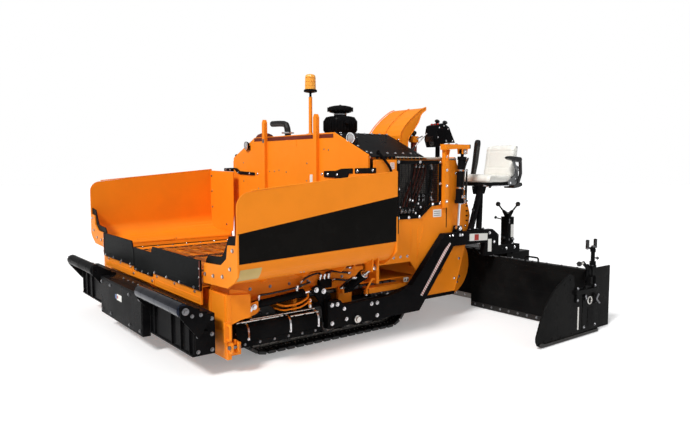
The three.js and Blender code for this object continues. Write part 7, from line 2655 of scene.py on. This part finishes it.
# ------------------------------------------------------------------ stage
class PAVER_OT_stage(bpy.types.Operator):
    """Pale floor, soft light and the camera"""

    bl_idname = "paver.stage"
    bl_label = "Stage"

    def make_floor(self):
        half = sizes().floor_size / 2
        work = bmesh.new()
        shell(work, [(-half, -half, 0), (half, -half, 0), (half, half, 0), (-half, half, 0)], [(0, 1, 2, 3)])
        mesh = bpy.data.meshes.new("floor")
        work.to_mesh(mesh)
        work.free()
        tree, shader = blank_material("floor_sheet")
        mottle = group_node(tree, "mottle", Patch_Scale=0.6, Speck_Scale=40.0)
        pale = tuple(colours().floor)
        colour = blend_colour(tree, mottle.outputs["Patches"], pale, [v * 0.985 for v in pale])
        tree.links.new(colour, shader.inputs["Base Color"])
        rays = tree.nodes.new("ShaderNodeLightPath")
        seen = sums(tree, "MAXIMUM", rays.outputs["Is Camera Ray"], rays.outputs["Is Glossy Ray"])
        seen = sums(tree, "MAXIMUM", seen, rays.outputs["Is Transmission Ray"])
        glow = blend_colour(tree, seen, (0, 0, 0), (0.24, 0.24, 0.24))
        tree.links.new(glow, shader.inputs["Emission Color"])
        set_numbers(shader, Roughness=0.9, Specular_IOR_Level=0.1, Emission_Strength=1.0)
        mesh.materials.append(bpy.data.materials["floor_sheet"])
        floor = bpy.data.objects.new("floor", mesh)
        bpy.context.scene.collection.objects.link(floor)

    def make_world(self):
        world = bpy.data.worlds.new("studio")
        bpy.context.scene.world = world
        world.use_nodes = True
        tree = world.node_tree
        back = tree.nodes["Background"]
        rays = tree.nodes.new("ShaderNodeLightPath")
        seen = sums(tree, "MAXIMUM", rays.outputs["Is Camera Ray"], rays.outputs["Is Transmission Ray"])
        level = add(tree, "ShaderNodeMapRange", {"Value": seen, "To Min": 0.40, "To Max": 1.0}).outputs[0]
        tree.links.new(level, back.inputs["Strength"])
        back.inputs["Color"].default_value = (1, 1, 1, 1)

    def make_lights(self):
        for name, kind, place, aim, energy, size in (
            ("sun_key", "SUN", (2.2, -7.0, 8.0), (0, 0, 0.6), 2.8, 0.22),
            ("sun_fill", "SUN", (7.0, 3.0, 5.0), (0, 0, 0.6), 0.35, 0.8),
            ("soft_front", "AREA", (1.5, -8.0, 3.5), (0, -1.0, 0.7), 12.0, 5.0),
        ):
            lamp = bpy.data.lights.new(name, kind)
            lamp.energy = energy
            if kind == "SUN":
                lamp.angle = size
            else:
                lamp.size = size
            holder = bpy.data.objects.new(name, lamp)
            holder.location = place
            holder.rotation_euler = (Vector(aim) - Vector(place)).to_track_quat("-Z", "Y").to_euler()
            bpy.context.scene.collection.objects.link(holder)

    def make_camera(self):
        turn = math.radians(52.215)
        dip = math.radians(4.705)
        look = Vector((-math.sin(turn) * math.cos(dip), math.cos(turn) * math.cos(dip), -math.sin(dip)))
        view = bpy.data.cameras.new("camera")
        view.sensor_width = 36.0
        view.lens = 31.84
        view.shift_x = 0.0023
        view.shift_y = -0.0093
        holder = bpy.data.objects.new("camera", view)
        holder.location = (5.014, -3.549, 1.427)
        holder.rotation_mode = "QUATERNION"
        holder.rotation_quaternion = look.to_track_quat("-Z", "Y")
        bpy.context.scene.collection.objects.link(holder)
        bpy.context.scene.camera = holder

    def execute(self, context):
        context.scene.view_settings.view_transform = "Standard"
        self.make_floor()
        self.make_world()
        self.make_lights()
        self.make_camera()
        return {"FINISHED"}


# ------------------------------------------------------------------ panel
STEPS = (
    PAVER_OT_finishes,
    PAVER_OT_wings,
    PAVER_OT_hopper_front,
    PAVER_OT_conveyor,
    PAVER_OT_bulkhead,
    PAVER_OT_push_beam,
    PAVER_OT_front_frame,
    PAVER_OT_tracks,
    PAVER_OT_tow_gear,
    PAVER_OT_cylinders,
    PAVER_OT_side_guards,
    PAVER_OT_side_panels,
    PAVER_OT_hood,
    PAVER_OT_operator_deck,
    PAVER_OT_engine,
    PAVER_OT_top_fittings,
    PAVER_OT_augers,
    PAVER_OT_screed,
    PAVER_OT_extensions,
    PAVER_OT_seats,
    PAVER_OT_stage,
)


class PAVER_PT_panel(bpy.types.Panel):
    """Lists the steps and the settings"""

    bl_idname = "PAVER_PT_panel"
    bl_label = "Asphalt Paver"
    bl_space_type = "VIEW_3D"
    bl_region_type = "UI"
    bl_category = "Paver"

    def draw(self, context):
        layout = self.layout
        for group in (context.scene.paver_sizes, context.scene.paver_colours):
            box = layout.box()
            for name in group.__annotations__:
                box.prop(group, name)
        for step in STEPS:
            layout.operator(step.bl_idname)


CLASSES = (PaverSizes, PaverColours, *STEPS, PAVER_PT_panel)


def register():
    for kind in CLASSES:
        bpy.utils.register_class(kind)
    bpy.types.Scene.paver_sizes = bpy.props.PointerProperty(type=PaverSizes)
    bpy.types.Scene.paver_colours = bpy.props.PointerProperty(type=PaverColours)


def unregister():
    del bpy.types.Scene.paver_colours
    del bpy.types.Scene.paver_sizes
    for kind in reversed(CLASSES):
        bpy.utils.unregister_class(kind)


def main():
    register()
    for step in STEPS:
        space, name = step.bl_idname.split(".")
        getattr(getattr(bpy.ops, space), name)()


if __name__ == "__main__":
    main()
